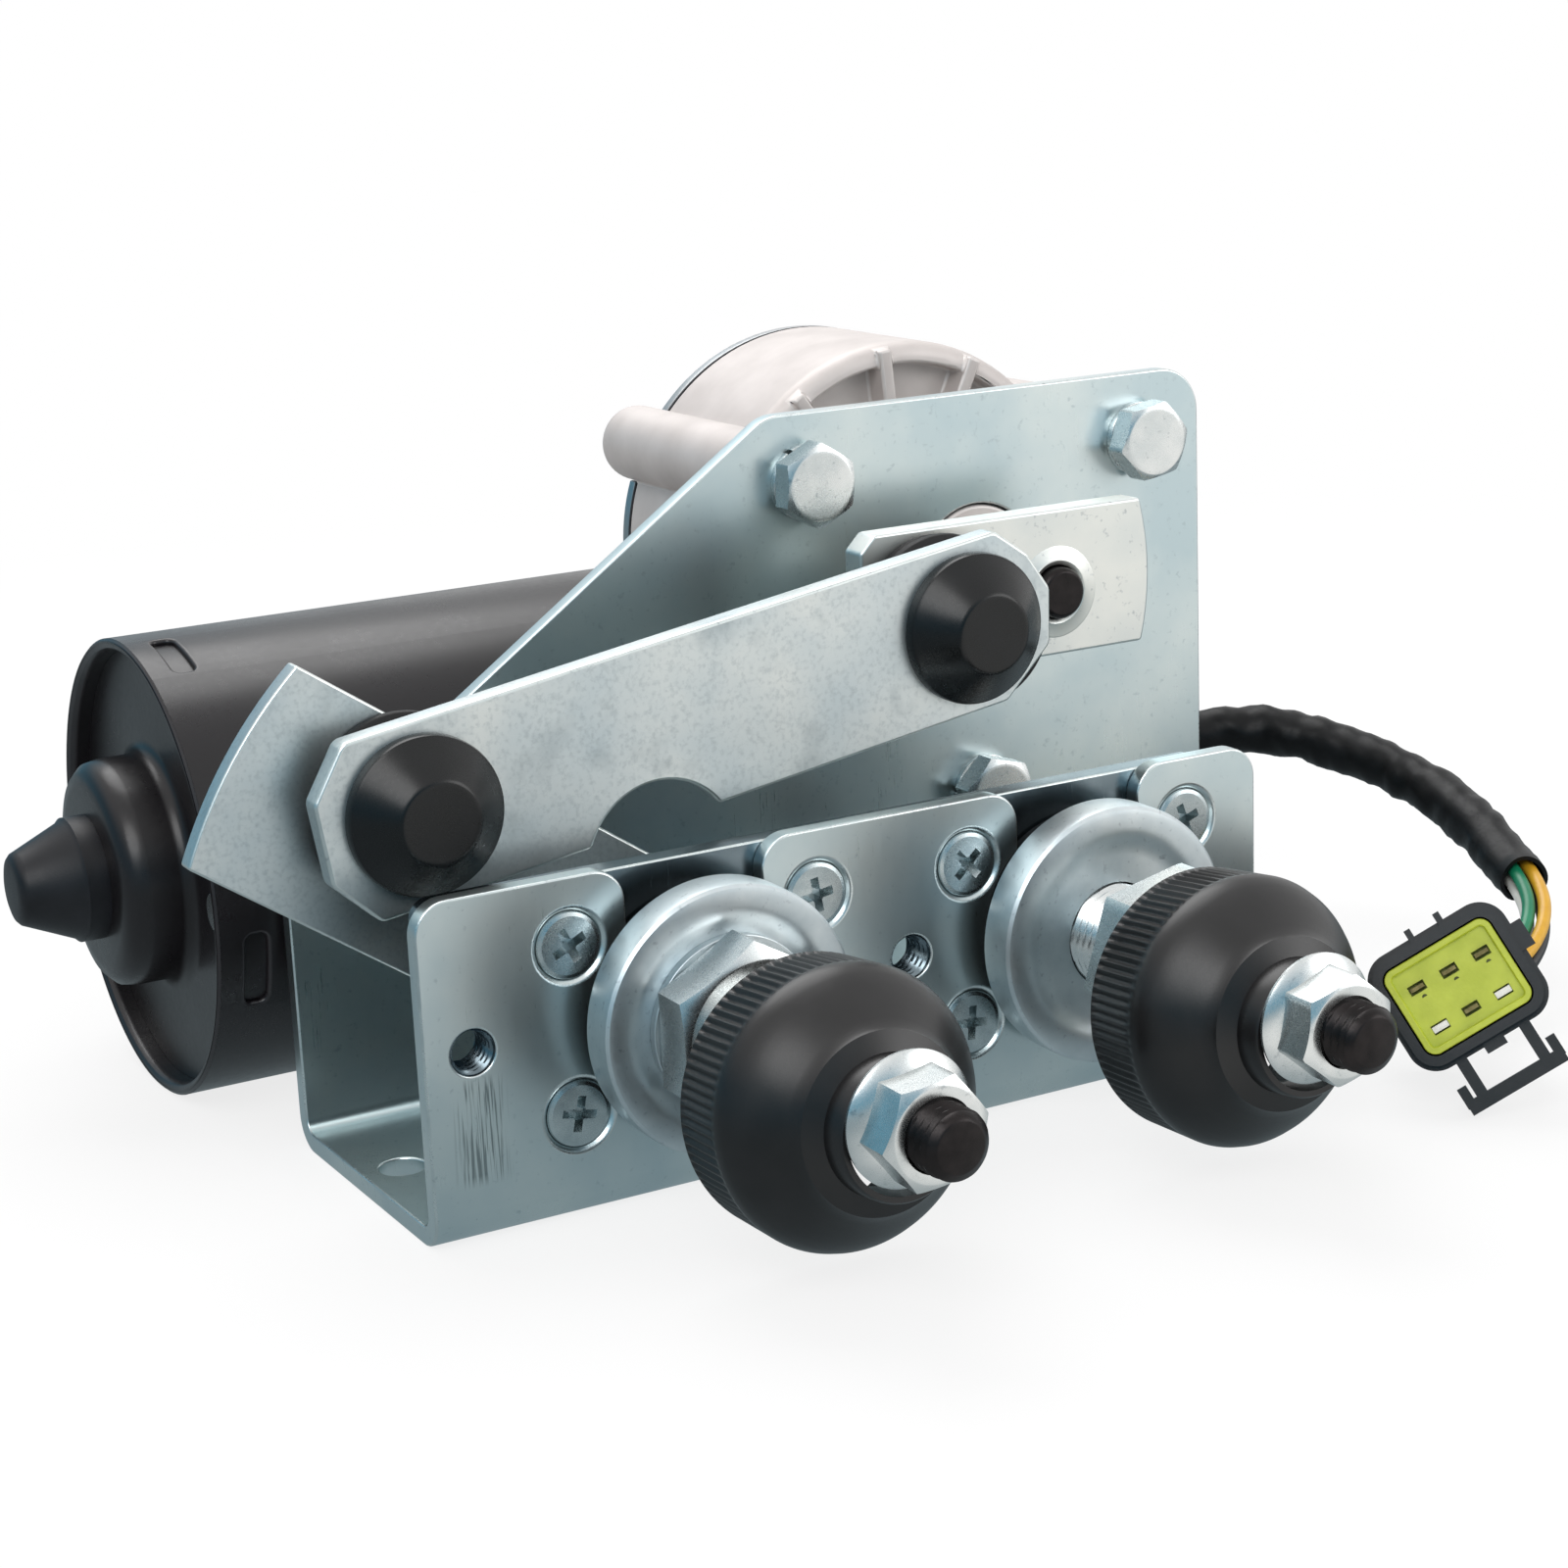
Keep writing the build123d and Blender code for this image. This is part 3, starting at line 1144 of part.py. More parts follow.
def motor_can():
    """Drawn steel can with a rolled left rim and four slots near it."""
    body = turned_x([
        (CAN_LEFT + CAN_ROLL, CAN_INNER),
        (CAN_LEFT, CAN_INNER + CAN_ROLL),
        (CAN_LEFT, CAN_RADIUS - 0.2),
        (CAN_LEFT + 0.5, CAN_RADIUS),
        (CAN_RIGHT, CAN_RADIUS),
        (CAN_RIGHT, CAN_INNER),
    ])
    cutter = Pos(0, 0, CAN_RADIUS) * Box(CAN_SLOT_WIDTH, CAN_SLOT_LENGTH, 4 * CAN_WALL)
    cutter = fillet(cutter.edges().filter_by(Axis.Z), CAN_SLOT_WIDTH * 0.35)
    for index in range(4):
        turned = Rot(90 - CAN_SLOT_ANGLE + 90 * index, 0, 0) * cutter
        body -= Pos(CAN_LEFT + CAN_SLOT_INSET, CAN_BACK, CAN_Z) * turned
    return body


def end_plate():
    """Pressed plate inside the can's left rim, with its stepped bearing boss."""
    plate = turned_x([
        (END_PLATE_LEFT, 0),
        (END_BOSS_LEFT, 0),
        (END_BOSS_LEFT, END_BOSS_RADIUS - 3.0),
        (END_BOSS_LEFT + 0.9, END_BOSS_RADIUS - 0.9),
        (END_BOSS_LEFT + 3.0, END_BOSS_RADIUS),
        (END_PLATE_LEFT, END_BOSS_RADIUS),
        (END_PLATE_LEFT, CAN_INNER),
        (END_PLATE_RIGHT, CAN_INNER),
        (END_PLATE_RIGHT, 0),
    ])
    plate -= rod_x(END_BUSH_RADIUS, SHAFT_LEFT - 0.5, END_PLATE_RIGHT)
    for y in motor_screw_backs():
        plate -= rod_x(MOTOR_SCREW_RADIUS, END_PLATE_LEFT, END_PLATE_RIGHT, y)
    return plate


def end_bush():
    """Bush for the shaft's left end."""
    ring = rod_x(END_BUSH_RADIUS, SHAFT_LEFT - 0.5, END_PLATE_RIGHT)
    return ring - rod_x(MOTOR_SHAFT_RADIUS + SHAFT_CLEARANCE, SHAFT_LEFT - 0.5, END_PLATE_RIGHT)


def nose_cap():
    """Plastic nose on the bearing boss, tapering to a flat tip."""
    tip = END_BOSS_LEFT - NOSE_LENGTH
    return turned_x([
        (END_BOSS_LEFT, 0),
        (tip, 0),
        (tip, NOSE_TIP_RADIUS - 1.0),
        (tip + 1.0, NOSE_TIP_RADIUS),
        (tip + 8.5, NOSE_RADIUS - 0.7),
        (tip + 9.5, NOSE_RADIUS),
        (END_BOSS_LEFT, NOSE_RADIUS),
    ])


def armature_shaft():
    """Motor shaft, running on through the worm."""
    return rod_x(MOTOR_SHAFT_RADIUS, SHAFT_LEFT, SHAFT_RIGHT)


def armature_core():
    """Slotted stack of laminations."""
    stack = rod_x(CORE_RADIUS, CORE_LEFT, CORE_RIGHT) - rod_x(MOTOR_SHAFT_RADIUS, CORE_LEFT, CORE_RIGHT)
    depth = CORE_RADIUS * 0.42
    slot = Pos((CORE_LEFT + CORE_RIGHT) / 2, 0, CORE_RADIUS - depth / 2 + 0.5) * Box(
        CORE_RIGHT - CORE_LEFT, CORE_SLOT_WIDTH, depth + 1.0
    )
    for index in range(CORE_SLOTS):
        stack -= Pos(0, CAN_BACK, CAN_Z) * Rot(360 * index / CORE_SLOTS, 0, 0) * slot
    return stack


def windings():
    """Copper end turns on both sides of the stack."""
    outer = CORE_RADIUS - 2.5
    left = turned_x([
        (CORE_LEFT, MOTOR_SHAFT_RADIUS + 2.0),
        (CORE_LEFT - WINDING_OVERHANG, MOTOR_SHAFT_RADIUS + 5.0),
        (CORE_LEFT - WINDING_OVERHANG, outer - 4.0),
        (CORE_LEFT, outer),
    ])
    right = turned_x([
        (CORE_RIGHT, MOTOR_SHAFT_RADIUS + 2.0),
        (CORE_RIGHT, outer),
        (CORE_RIGHT + WINDING_OVERHANG, outer - 4.0),
        (CORE_RIGHT + WINDING_OVERHANG, MOTOR_SHAFT_RADIUS + 5.0),
    ])
    return [left, right]


def commutator():
    """Commutator on the shaft."""
    body = rod_x(COMMUTATOR_RADIUS, COMMUTATOR_LEFT, COMMUTATOR_RIGHT)
    return body - rod_x(MOTOR_SHAFT_RADIUS, COMMUTATOR_LEFT, COMMUTATOR_RIGHT)


def magnets():
    """Two arc magnets inside the can, above and below the armature."""
    outer = CAN_INNER
    sector = MAGNET_ANGLE / 2
    reach = 2 * outer
    left = CORE_LEFT - MAGNET_OVERHANG
    right = CORE_RIGHT + MAGNET_OVERHANG
    ring = rod_x(outer, left, right) - rod_x(outer - MAGNET_THICKNESS, left, right)
    wedge = loop_face(
        (0, 0),
        (reach * sin(radians(sector)), reach * cos(radians(sector))),
        (-reach * sin(radians(sector)), reach * cos(radians(sector))),
    )
    pieces = []
    for turn in (0, 180):
        plane = Plane((left, CAN_BACK, CAN_Z), x_dir=(0, 1, 0), z_dir=(1, 0, 0))
        block = extrude(plane * Rot(0, 0, turn) * wedge, amount=right - left)
        pieces.append(ring & block)
    return pieces


def brush_holder():
    """Insulating plate with two brush guides."""
    left = BRUSH_MIDDLE - BRUSH_PLATE / 2
    right = BRUSH_MIDDLE + BRUSH_PLATE / 2
    plate = rod_x(CAN_INNER, left, right) - rod_x(COMMUTATOR_RADIUS + 2.0, left, right)
    length = BRUSH_LENGTH + 6.0
    middle = COMMUTATOR_RADIUS + 2.5 + length / 2
    outside = Box(BRUSH_WIDTH + 2 * BRUSH_GUIDE_WALL, BRUSH_WIDTH + 2 * BRUSH_GUIDE_WALL, length)
    inside = Box(BRUSH_WIDTH, BRUSH_WIDTH, length + 6.0)
    for side in (-1, 1):
        place = Pos(BRUSH_MIDDLE, CAN_BACK, CAN_Z + side * middle)
        plate = plate + place * outside - place * inside
    for y in motor_screw_backs():
        plate -= rod_x(MOTOR_SCREW_RADIUS + 0.3, left, right, y)
    return plate


def brushes():
    """Two carbon brushes, resting on the commutator."""
    middle = COMMUTATOR_RADIUS + 0.3 + BRUSH_LENGTH / 2
    block = Box(BRUSH_WIDTH, BRUSH_WIDTH, BRUSH_LENGTH)
    return [Pos(BRUSH_MIDDLE, CAN_BACK, CAN_Z + side * middle) * block for side in (-1, 1)]


def ball_bearing():
    """Bearing in the bell, for the shaft's drive side."""
    ring = rod_x(BEARING_RADIUS, BEARING_LEFT, BEARING_RIGHT)
    return ring - rod_x(MOTOR_SHAFT_RADIUS + SHAFT_CLEARANCE, BEARING_LEFT, BEARING_RIGHT)


def thrust_plug():
    """Plug that closes the worm tunnel and takes the shaft's end thrust."""
    body = rod_x(TUNNEL_BORE, SHAFT_RIGHT + 0.3, TUNNEL_RIGHT)
    return body + rod_x(TUNNEL_BORE - 2.0, TUNNEL_RIGHT, TUNNEL_RIGHT + 2.0)


def motor_screws():
    """Two long screws that pull the end plate, can and bell together."""
    screws = []
    for y in motor_screw_backs():
        shank = rod_x(MOTOR_SCREW_RADIUS, END_PLATE_LEFT, BELL_FACE, y)
        screws.append(shank + rod_x(MOTOR_SCREW_HEAD_RADIUS, END_PLATE_LEFT - MOTOR_SCREW_HEAD, END_PLATE_LEFT, y))
    return screws


# Cable

def rounded_route(points):
    """Straight runs joined by tangent arcs, each as large as its two runs allow."""
    edges = []
    radii = []
    here = Vector(*points[0])
    for index in range(1, len(points) - 1):
        before = Vector(*points[index]) - Vector(*points[index - 1])
        after = Vector(*points[index + 1]) - Vector(*points[index])
        turn = radians(before.get_angle(after))
        reach = 0.45 * min(before.length, after.length)
        start = Vector(*points[index]) - before.normalized() * reach
        finish = Vector(*points[index]) + after.normalized() * reach
        edges.append(Line(here, start))
        edges.append(TangentArc(start, finish, tangent=before.normalized()))
        radii.append(reach / tan(turn / 2))
        here = finish
    edges.append(Line(here, Vector(*points[-1])))
    return Wire(edges), radii


def cord(points, radius):
    """Round cord along a rounded route."""
    route, radii = rounded_route(points)
    start = Plane(origin=route @ 0, z_dir=route % 0)
    body = sweep(start * Circle(radius), path=route)
    expected = pi * radius ** 2 * route.length
    print(f"cord length {route.length:.1f}, smallest radius {min(radii):.1f}, volume share {body.volume / expected:.4f}")
    return body


def cable_grommet():
    """Rubber grommet in the bell, where the cable comes out."""
    body = rod_x(GROMMET_RADIUS - 2.0, BELL_LEFT, BELL_FACE, GROMMET_BACK, GROMMET_Z)
    return body + rod_x(GROMMET_RADIUS, BELL_FACE, BELL_FACE + GROMMET_LENGTH, GROMMET_BACK, GROMMET_Z)


def mouth_plane():
    """Plane across the sleeve's open end, looking out of it, with X level."""
    last = Vector(*SLEEVE_ROUTE[-1])
    way = (last - Vector(*SLEEVE_ROUTE[-2])).normalized()
    return Plane(origin=last, x_dir=Vector(0, 0, 1).cross(way), z_dir=way)


def cable_sleeve():
    """Sleeve of the cable, hollow for a short way behind its mouth."""
    mouth = mouth_plane()
    bore = mouth * Cylinder(SLEEVE_RADIUS - SLEEVE_WALL, SLEEVE_MOUTH, align=(Align.CENTER, Align.CENTER, Align.MAX))
    return cord(SLEEVE_ROUTE, SLEEVE_RADIUS) - bore


def connector_plane():
    """Plane of the connector's open face, X along its long side."""
    turn = radians(CONNECTOR_TURN)
    tilt = radians(CONNECTOR_TILT)
    out = Vector(sin(turn) * cos(tilt), -cos(turn) * cos(tilt), sin(tilt))
    level = Vector(cos(turn), sin(turn), 0)
    lift = out.cross(level)
    roll = radians(CONNECTOR_ROLL)
    along = level * cos(roll) + lift * sin(roll)
    return Plane(origin=CONNECTOR_AT, x_dir=along, z_dir=out)


def wire(across, up):
    """One wire, from inside the sleeve's mouth to the connector's back."""
    mouth = mouth_plane()
    plug = connector_plane()
    side = across * WIRE_SPACING
    rise = up * WIRE_SPACING
    wide = WIRE_SPREAD * side
    high = WIRE_SPREAD * rise
    start = mouth.from_local_coords(Vector(side, rise, -SLEEVE_MOUTH))
    out = mouth.from_local_coords(Vector(side, rise, WIRE_MOUTH_REACH))
    bend = Vector(*WIRE_BEND) + Vector(0.7 * side, -0.7 * side, rise)
    turn = Vector(*WIRE_TURN) + Vector(0.3 * side, -side, rise)
    near = plug.from_local_coords(Vector(wide, high, -CONNECTOR_DEPTH - WIRE_PLUG_REACH))
    end = plug.from_local_coords(Vector(wide, high, -CONNECTOR_DEPTH))
    return cord([tuple(point) for point in (start, out, bend, turn, near, end)], WIRE_RADIUS)


def connector_housing():
    """Sealed connector body: open at the front, with ribs, a tab and a latch frame."""
    outer = RectangleRounded(CONNECTOR_WIDTH, CONNECTOR_HEIGHT, CONNECTOR_CORNER)
    inner_width = CONNECTOR_WIDTH - 2 * CONNECTOR_WALL
    inner_height = CONNECTOR_HEIGHT - 2 * CONNECTOR_WALL
    inner = RectangleRounded(inner_width, inner_height, CONNECTOR_CORNER - CONNECTOR_WALL)
    body = extrude(outer, amount=-CONNECTOR_DEPTH)
    body -= extrude(inner, amount=-INSERT_DEPTH - CONNECTOR_LIP)
    collar = RectangleRounded(
        CONNECTOR_WIDTH + 2 * CONNECTOR_COLLAR,
        CONNECTOR_HEIGHT + 2 * CONNECTOR_COLLAR,
        CONNECTOR_CORNER + CONNECTOR_COLLAR,
    )
    body += Pos(0, 0, -CONNECTOR_COLLAR_FRONT) * extrude(collar - inner, amount=-CONNECTOR_COLLAR_DEPTH)
    for place, size in CONNECTOR_RIBS:
        body += Pos(*place) * Box(*size)
    return connector_plane() * (body + latch_frame())


def latch_frame():
    """Open frame below the connector: two arms and a cross bar with its lugs."""
    bar = -CONNECTOR_HEIGHT / 2 - LATCH_BAR_DROP
    frame = Pos(0, bar, LATCH_Z) * Box(LATCH_BAR_WIDTH, 2.2, LATCH_DEPTH)
    for side in (-1, 1):
        frame += Pos(side * LATCH_ARM_X, bar + 4.0, LATCH_Z) * Box(1.8, 8.0, LATCH_DEPTH)
        frame += Pos(side * LATCH_LUG_X, bar + 1.7, LATCH_Z) * Box(1.5, 3.4, LATCH_DEPTH)
    return frame


def connector_insert():
    """Coloured insert with a cavity for each terminal."""
    width = CONNECTOR_WIDTH - 2 * CONNECTOR_WALL - 2 * INSERT_GAP
    height = CONNECTOR_HEIGHT - 2 * CONNECTOR_WALL - 2 * INSERT_GAP
    block = RectangleRounded(width, height, CONNECTOR_CORNER - CONNECTOR_WALL - INSERT_GAP)
    body = Pos(0, 0, -CONNECTOR_LIP) * extrude(block, amount=-INSERT_DEPTH)
    for x, y in TERMINAL_SPOTS + WINDOW_SPOTS:
        body -= Pos(x, y, -CONNECTOR_LIP) * Box(CAVITY_WIDTH, CAVITY_HEIGHT, 2 * CAVITY_DEPTH)
    return connector_plane() * body


def terminals():
    """Blade terminals in the insert's cavities."""
    blade = Box(BLADE_WIDTH, BLADE_THICKNESS, BLADE_LENGTH, align=(Align.CENTER, Align.CENTER, Align.MIN))
    floor = -CONNECTOR_LIP - CAVITY_DEPTH
    return [connector_plane() * Pos(x, y, floor) * blade for x, y in TERMINAL_SPOTS]


def build_parts():
    """Every node by name, as one solid or a list of solids."""
    parts = {
        "bracket": bracket(),
        "pivot_plate": pivot_plate(),
        "pivot_screws": pivot_screws(),
        "thin_washer": thin_washer(),
        "drive_tube_nut": tube_nut(SPINDLES["drive"], CUP_FRONT - CUP_DISH + THIN_WASHER, DRIVE_NUT_TURN),
        "idler_tube_nut": tube_nut(SPINDLES["idler"], IDLER_NUT_BACK, IDLER_NUT_TURN),
        "drive_spindle": spindle(SPINDLES["drive"], ROCKER_BACK + DRIVE_TAIL, STUD_SHANK_RADIUS),
        "idler_spindle": spindle(SPINDLES["idler"], TUBE_BACK + IDLER_TAIL, SPINDLE_RADIUS - RING_GROOVE),
        "drive_spindle_nut": spindle_nut(SPINDLES["drive"], DRIVE_SPINDLE_NUT_TURN),
        "idler_spindle_nut": spindle_nut(SPINDLES["idler"], IDLER_SPINDLE_NUT_TURN),
        "drive_spindle_ring": spindle_ring(SPINDLES["drive"]),
        "idler_spindle_rings": [spindle_ring(SPINDLES["idler"]), tail_ring()],
        "pivot_tubes": [pivot_tube(x) for x in SPINDLES.values()],
        "pivot_bushes": pivot_bushes(),
        "rubber_rings": [rubber_ring(x) for x in SPINDLES.values()],
        "cup_washers": [cup_washer(x) for x in SPINDLES.values()],
        "rocker_arm": rocker_arm(),
        "rocker_ball_stud": rocker_ball_stud(),
        "drive_link": drive_link(),
        "link_sockets": [link_socket(*spot[:2], gap) for spot, gap in zip(LINK_JOINTS, (BALL_GAP, BALL_SEAT_GAP))],
        "link_caps": [link_cap(x, z) for x, z, seat in LINK_JOINTS],
        "link_seals": [link_seal(*joint, shift) for joint, shift in zip(LINK_JOINTS, SEAL_LIP_SHIFTS)],
        "crank_arm": [crank_arm(), crank_stud_foot()],
        "crank_ball_stud": crank_ball_stud(),
        "output_shaft": output_shaft(),
        "gearbox_case": gearbox_case(),
        "gearbox_cover": gearbox_cover(),
        "gearbox_gasket": gasket(),
        "cover_screws": cover_screws(),
        "gearbox_bolts": gearbox_bolts(),
        "bolt_spring_washers": bolt_washers(),
        "output_bush": output_bush(),
        "output_shaft_seal": shaft_seal(),
        "worm_wheel": worm_wheel(),
        "worm": worm(),
        "motor_can": motor_can(),
        "motor_end_plate": end_plate(),
        "motor_end_bush": end_bush(),
        "motor_nose_cap": nose_cap(),
        "motor_screws": motor_screws(),
        "armature_shaft": armature_shaft(),
        "armature_core": armature_core(),
        "armature_windings": windings(),
        "commutator": commutator(),
        "motor_magnets": magnets(),
        "brush_holder": brush_holder(),
        "brushes": brushes(),
        "ball_bearing": ball_bearing(),
        "thrust_plug": thrust_plug(),
        "cable_grommet": cable_grommet(),
        "cable_sleeve": cable_sleeve(),
        "connector_housing": connector_housing(),
        "connector_insert": connector_insert(),
        "connector_terminals": terminals(),
    }
    for name, x in SPINDLES.items():
        parts[f"{name}_dust_cap"] = dust_cap(x)
    for name, (across, up) in WIRES.items():
        parts[name] = wire(across, up)
    return parts


def write(name, body):
    """One STEP file per node."""
    shape = Compound(children=list(body)) if isinstance(body, list) else body
    export_step(shape, f"parts/{name}.step")


os.makedirs("parts", exist_ok=True)
for part_name, part_body in build_parts().items():
    write(part_name, part_body)
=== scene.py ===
"""Looks of a twin-spindle wiper motor on its folded bracket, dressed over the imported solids."""

import json
import logging
import math
from collections.abc import Callable, Sequence
from dataclasses import dataclass, field
from enum import Enum

import bmesh
import bpy
from mathutils import Matrix, Vector, noise
from mathutils.bvhtree import BVHTree
from mathutils.geometry import delaunay_2d_cdt


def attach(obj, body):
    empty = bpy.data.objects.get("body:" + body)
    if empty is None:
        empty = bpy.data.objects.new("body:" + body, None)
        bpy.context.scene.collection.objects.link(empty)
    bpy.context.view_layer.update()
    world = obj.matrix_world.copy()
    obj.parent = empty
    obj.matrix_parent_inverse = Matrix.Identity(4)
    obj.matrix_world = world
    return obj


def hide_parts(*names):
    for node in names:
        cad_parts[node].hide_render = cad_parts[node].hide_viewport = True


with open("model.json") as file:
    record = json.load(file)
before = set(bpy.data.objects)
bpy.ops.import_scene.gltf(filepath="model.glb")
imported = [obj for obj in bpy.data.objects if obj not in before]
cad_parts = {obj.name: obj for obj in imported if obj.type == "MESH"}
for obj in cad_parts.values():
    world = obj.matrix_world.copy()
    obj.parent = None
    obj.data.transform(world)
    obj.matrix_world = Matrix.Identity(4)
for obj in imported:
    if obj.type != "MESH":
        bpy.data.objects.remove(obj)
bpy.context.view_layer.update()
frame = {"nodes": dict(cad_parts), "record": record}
LOG = logging.getLogger("wiper_motor")
MM = 0.001
WHITE = (1.0, 1.0, 1.0, 1.0)
# Nearly all values of a noise lie in this range
NOISE_RANGE = {"From Min": 0.32, "From Max": 0.68}

Profile = Sequence[tuple[float, float]]
TurnedPoint = tuple[float, float] | Callable[[float], tuple[float, float]]
Ripple = Callable[[float, float], float]
Place = tuple[float, float, float]


class Body(Enum):
    """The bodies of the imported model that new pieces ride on."""

    FRAME = "frame_body"
    DRIVE = "drive_spindle_body"
    IDLER = "idler_spindle_body"
    LINK = "link_body"
    OUTPUT = "output_body"


class Axis(Enum):
    """The two directions that turned pieces lie along."""

    X = "x"
    Y = "y"


class Grain(Enum):
    """Which way the fine marks of a finish run, as how often they repeat along X, Y and Z."""

    NONE = (1.0, 1.0, 1.0)
    ALONG_X = (0.03, 1.0, 1.0)
    ALONG_Z = (1.0, 1.0, 0.03)


# Colour and nodes


def linear(colour: str) -> tuple[float, float, float, float]:
    """Turns an sRGB hex colour to linear.

    Args:
        colour: six hex digits after a hash sign.

    Returns:
        Red, green, blue and an alpha of 1.
    """
    parts = [int(colour[i : i + 2], 16) / 255 for i in (1, 3, 5)]
    turned_linear = [c / 12.92 if c <= 0.04045 else ((c + 0.055) / 1.055) ** 2.4 for c in parts]
    return (*turned_linear, 1.0)


def add_node(
    tree: bpy.types.NodeTree, kind: str, inputs: dict | None = None, **settings: object
) -> bpy.types.Node:
    """Adds a node with its settings and links.

    Args:
        tree: the node tree that gets it.
        kind: Blender's name of the node.
        inputs: a value or another node's output for each input, by name or number.
        settings: the node's own attributes.

    Returns:
        The new node.
    """
    made = tree.nodes.new(kind)
    for name, value in settings.items():
        setattr(made, name, value)
    for key, value in (inputs or {}).items():
        if isinstance(value, bpy.types.NodeSocket):
            tree.links.new(value, made.inputs[key])
        else:
            made.inputs[key].default_value = value
    return made


@dataclass(frozen=True)
class Layers:
    """What a finish's pattern gives the shader: its colour, roughness and height."""

    colour: bpy.types.NodeSocket
    roughness: bpy.types.NodeSocket
    height: bpy.types.NodeSocket


@dataclass(frozen=True)
class Finish:
    """An even surface with faint clouds and a fine grain. Lengths are in millimetres.

    Attributes:
        name: what it is made of and how it was made.
        colour: its colour.
        patch_colour: the colour of its clouds.
        metallic: how much of it shines as bare metal.
        roughness: how dull it is on average.
        swing: how far the roughness goes up and down from there.
        patch: width of a cloud.
        grain: width of a grain.
        relief: height of the grain.
        marks: the direction of its marks.
        ior: its index of refraction, where it isn't metal.
        specular: how much it mirrors, where 0.5 is a clean surface.
    """

    name: str
    colour: str
    patch_colour: str
    metallic: float = 0.0
    roughness: float = 0.5
    swing: float = 0.1
    patch: float = 6.0
    grain: float = 0.4
    relief: float = 0.01
    marks: Grain = Grain.NONE
    ior: float = 1.5
    specular: float = 0.5

    def blotches(
        self, tree: bpy.types.NodeTree, size: float, detail: float, marks: Grain
    ) -> bpy.types.NodeSocket:
        """Noise whose blotches are about `size` across, drawn out along the marks.

        Args:
            tree: the material's node tree.
            size: width of a blotch.
            detail: how many finer levels it has.
            marks: the direction in which it is drawn out.

        Returns:
            The noise's value.
        """
        where = add_node(tree, "ShaderNodeTexCoord").outputs["Object"]
        scaled = add_node(tree, "ShaderNodeMapping", {"Vector": where, "Scale": marks.value})
        inputs = {"Vector": scaled.outputs[0], "Scale": 1 / (size * MM), "Detail": detail}
        return add_node(tree, "ShaderNodeTexNoise", inputs).outputs[0]

    def clouded(self, tree: bpy.types.NodeTree, clouds: bpy.types.NodeSocket) -> bpy.types.NodeSocket:
        """Lays the clouds over the finish's colour.

        Args:
            tree: the material's node tree.
            clouds: their noise.

        Returns:
            The colour.
        """
        inputs = {"Value": clouds, **NOISE_RANGE}
        share = add_node(tree, "ShaderNodeMapRange", inputs).outputs[0]
        inputs = {0: share, 6: linear(self.colour), 7: linear(self.patch_colour)}
        return add_node(tree, "ShaderNodeMix", inputs, data_type="RGBA").outputs[2]

    def uneven(
        self, tree: bpy.types.NodeTree, coarse: bpy.types.NodeSocket, fine: bpy.types.NodeSocket
    ) -> bpy.types.NodeSocket:
        """Roughness that follows the mean of a coarse and a fine noise.

        Args:
            tree: the material's node tree.
            coarse: the noise of the clouds.
            fine: the noise of the grain.

        Returns:
            The roughness.
        """
        both = add_node(tree, "ShaderNodeMath", {0: coarse, 1: fine}, operation="ADD")
        half = add_node(tree, "ShaderNodeMath", {0: both.outputs[0], 1: 0.5}, operation="MULTIPLY")
        low, high = self.roughness - self.swing, self.roughness + self.swing
        inputs = {"Value": half.outputs[0], **NOISE_RANGE, "To Min": low, "To Max": high}
        return add_node(tree, "ShaderNodeMapRange", inputs).outputs[0]

    def layers(self, tree: bpy.types.NodeTree) -> Layers:
        """The pattern of an even, slightly clouded surface with a fine grain.

        Args:
            tree: the material's node tree.

        Returns:
            Its colour, roughness and height.
        """
        clouds = self.blotches(tree, self.patch, 3.0, Grain.NONE)
        grain = self.blotches(tree, self.grain, 2.0, self.marks)
        return Layers(self.clouded(tree, clouds), self.uneven(tree, clouds, grain), grain)

    def build(self) -> bpy.types.Material:
        """Makes the material once.

        Returns:
            The material, taken from the file where it is there already.
        """
        known = bpy.data.materials.get(self.name)
        if known:
            return known
        material = bpy.data.materials.new(self.name)
        material.use_nodes = True
        tree = material.node_tree
        tree.nodes.clear()
        layers = self.layers(tree)
        inputs = {"Height": layers.height, "Distance": self.relief * MM, "Strength": 1.0}
        bump = add_node(tree, "ShaderNodeBump", inputs)
        inputs = {
            "Base Color": layers.colour,
            "Roughness": layers.roughness,
            "Normal": bump.outputs[0],
            "Metallic": self.metallic,
            "Specular IOR Level": self.specular,
        }
        shader = add_node(tree, "ShaderNodeBsdfPrincipled", inputs)
        if self.metallic < 0.5:
            shader.inputs["IOR"].default_value = self.ior
        add_node(tree, "ShaderNodeOutputMaterial", {"Surface": shader.outputs[0]})
        return material


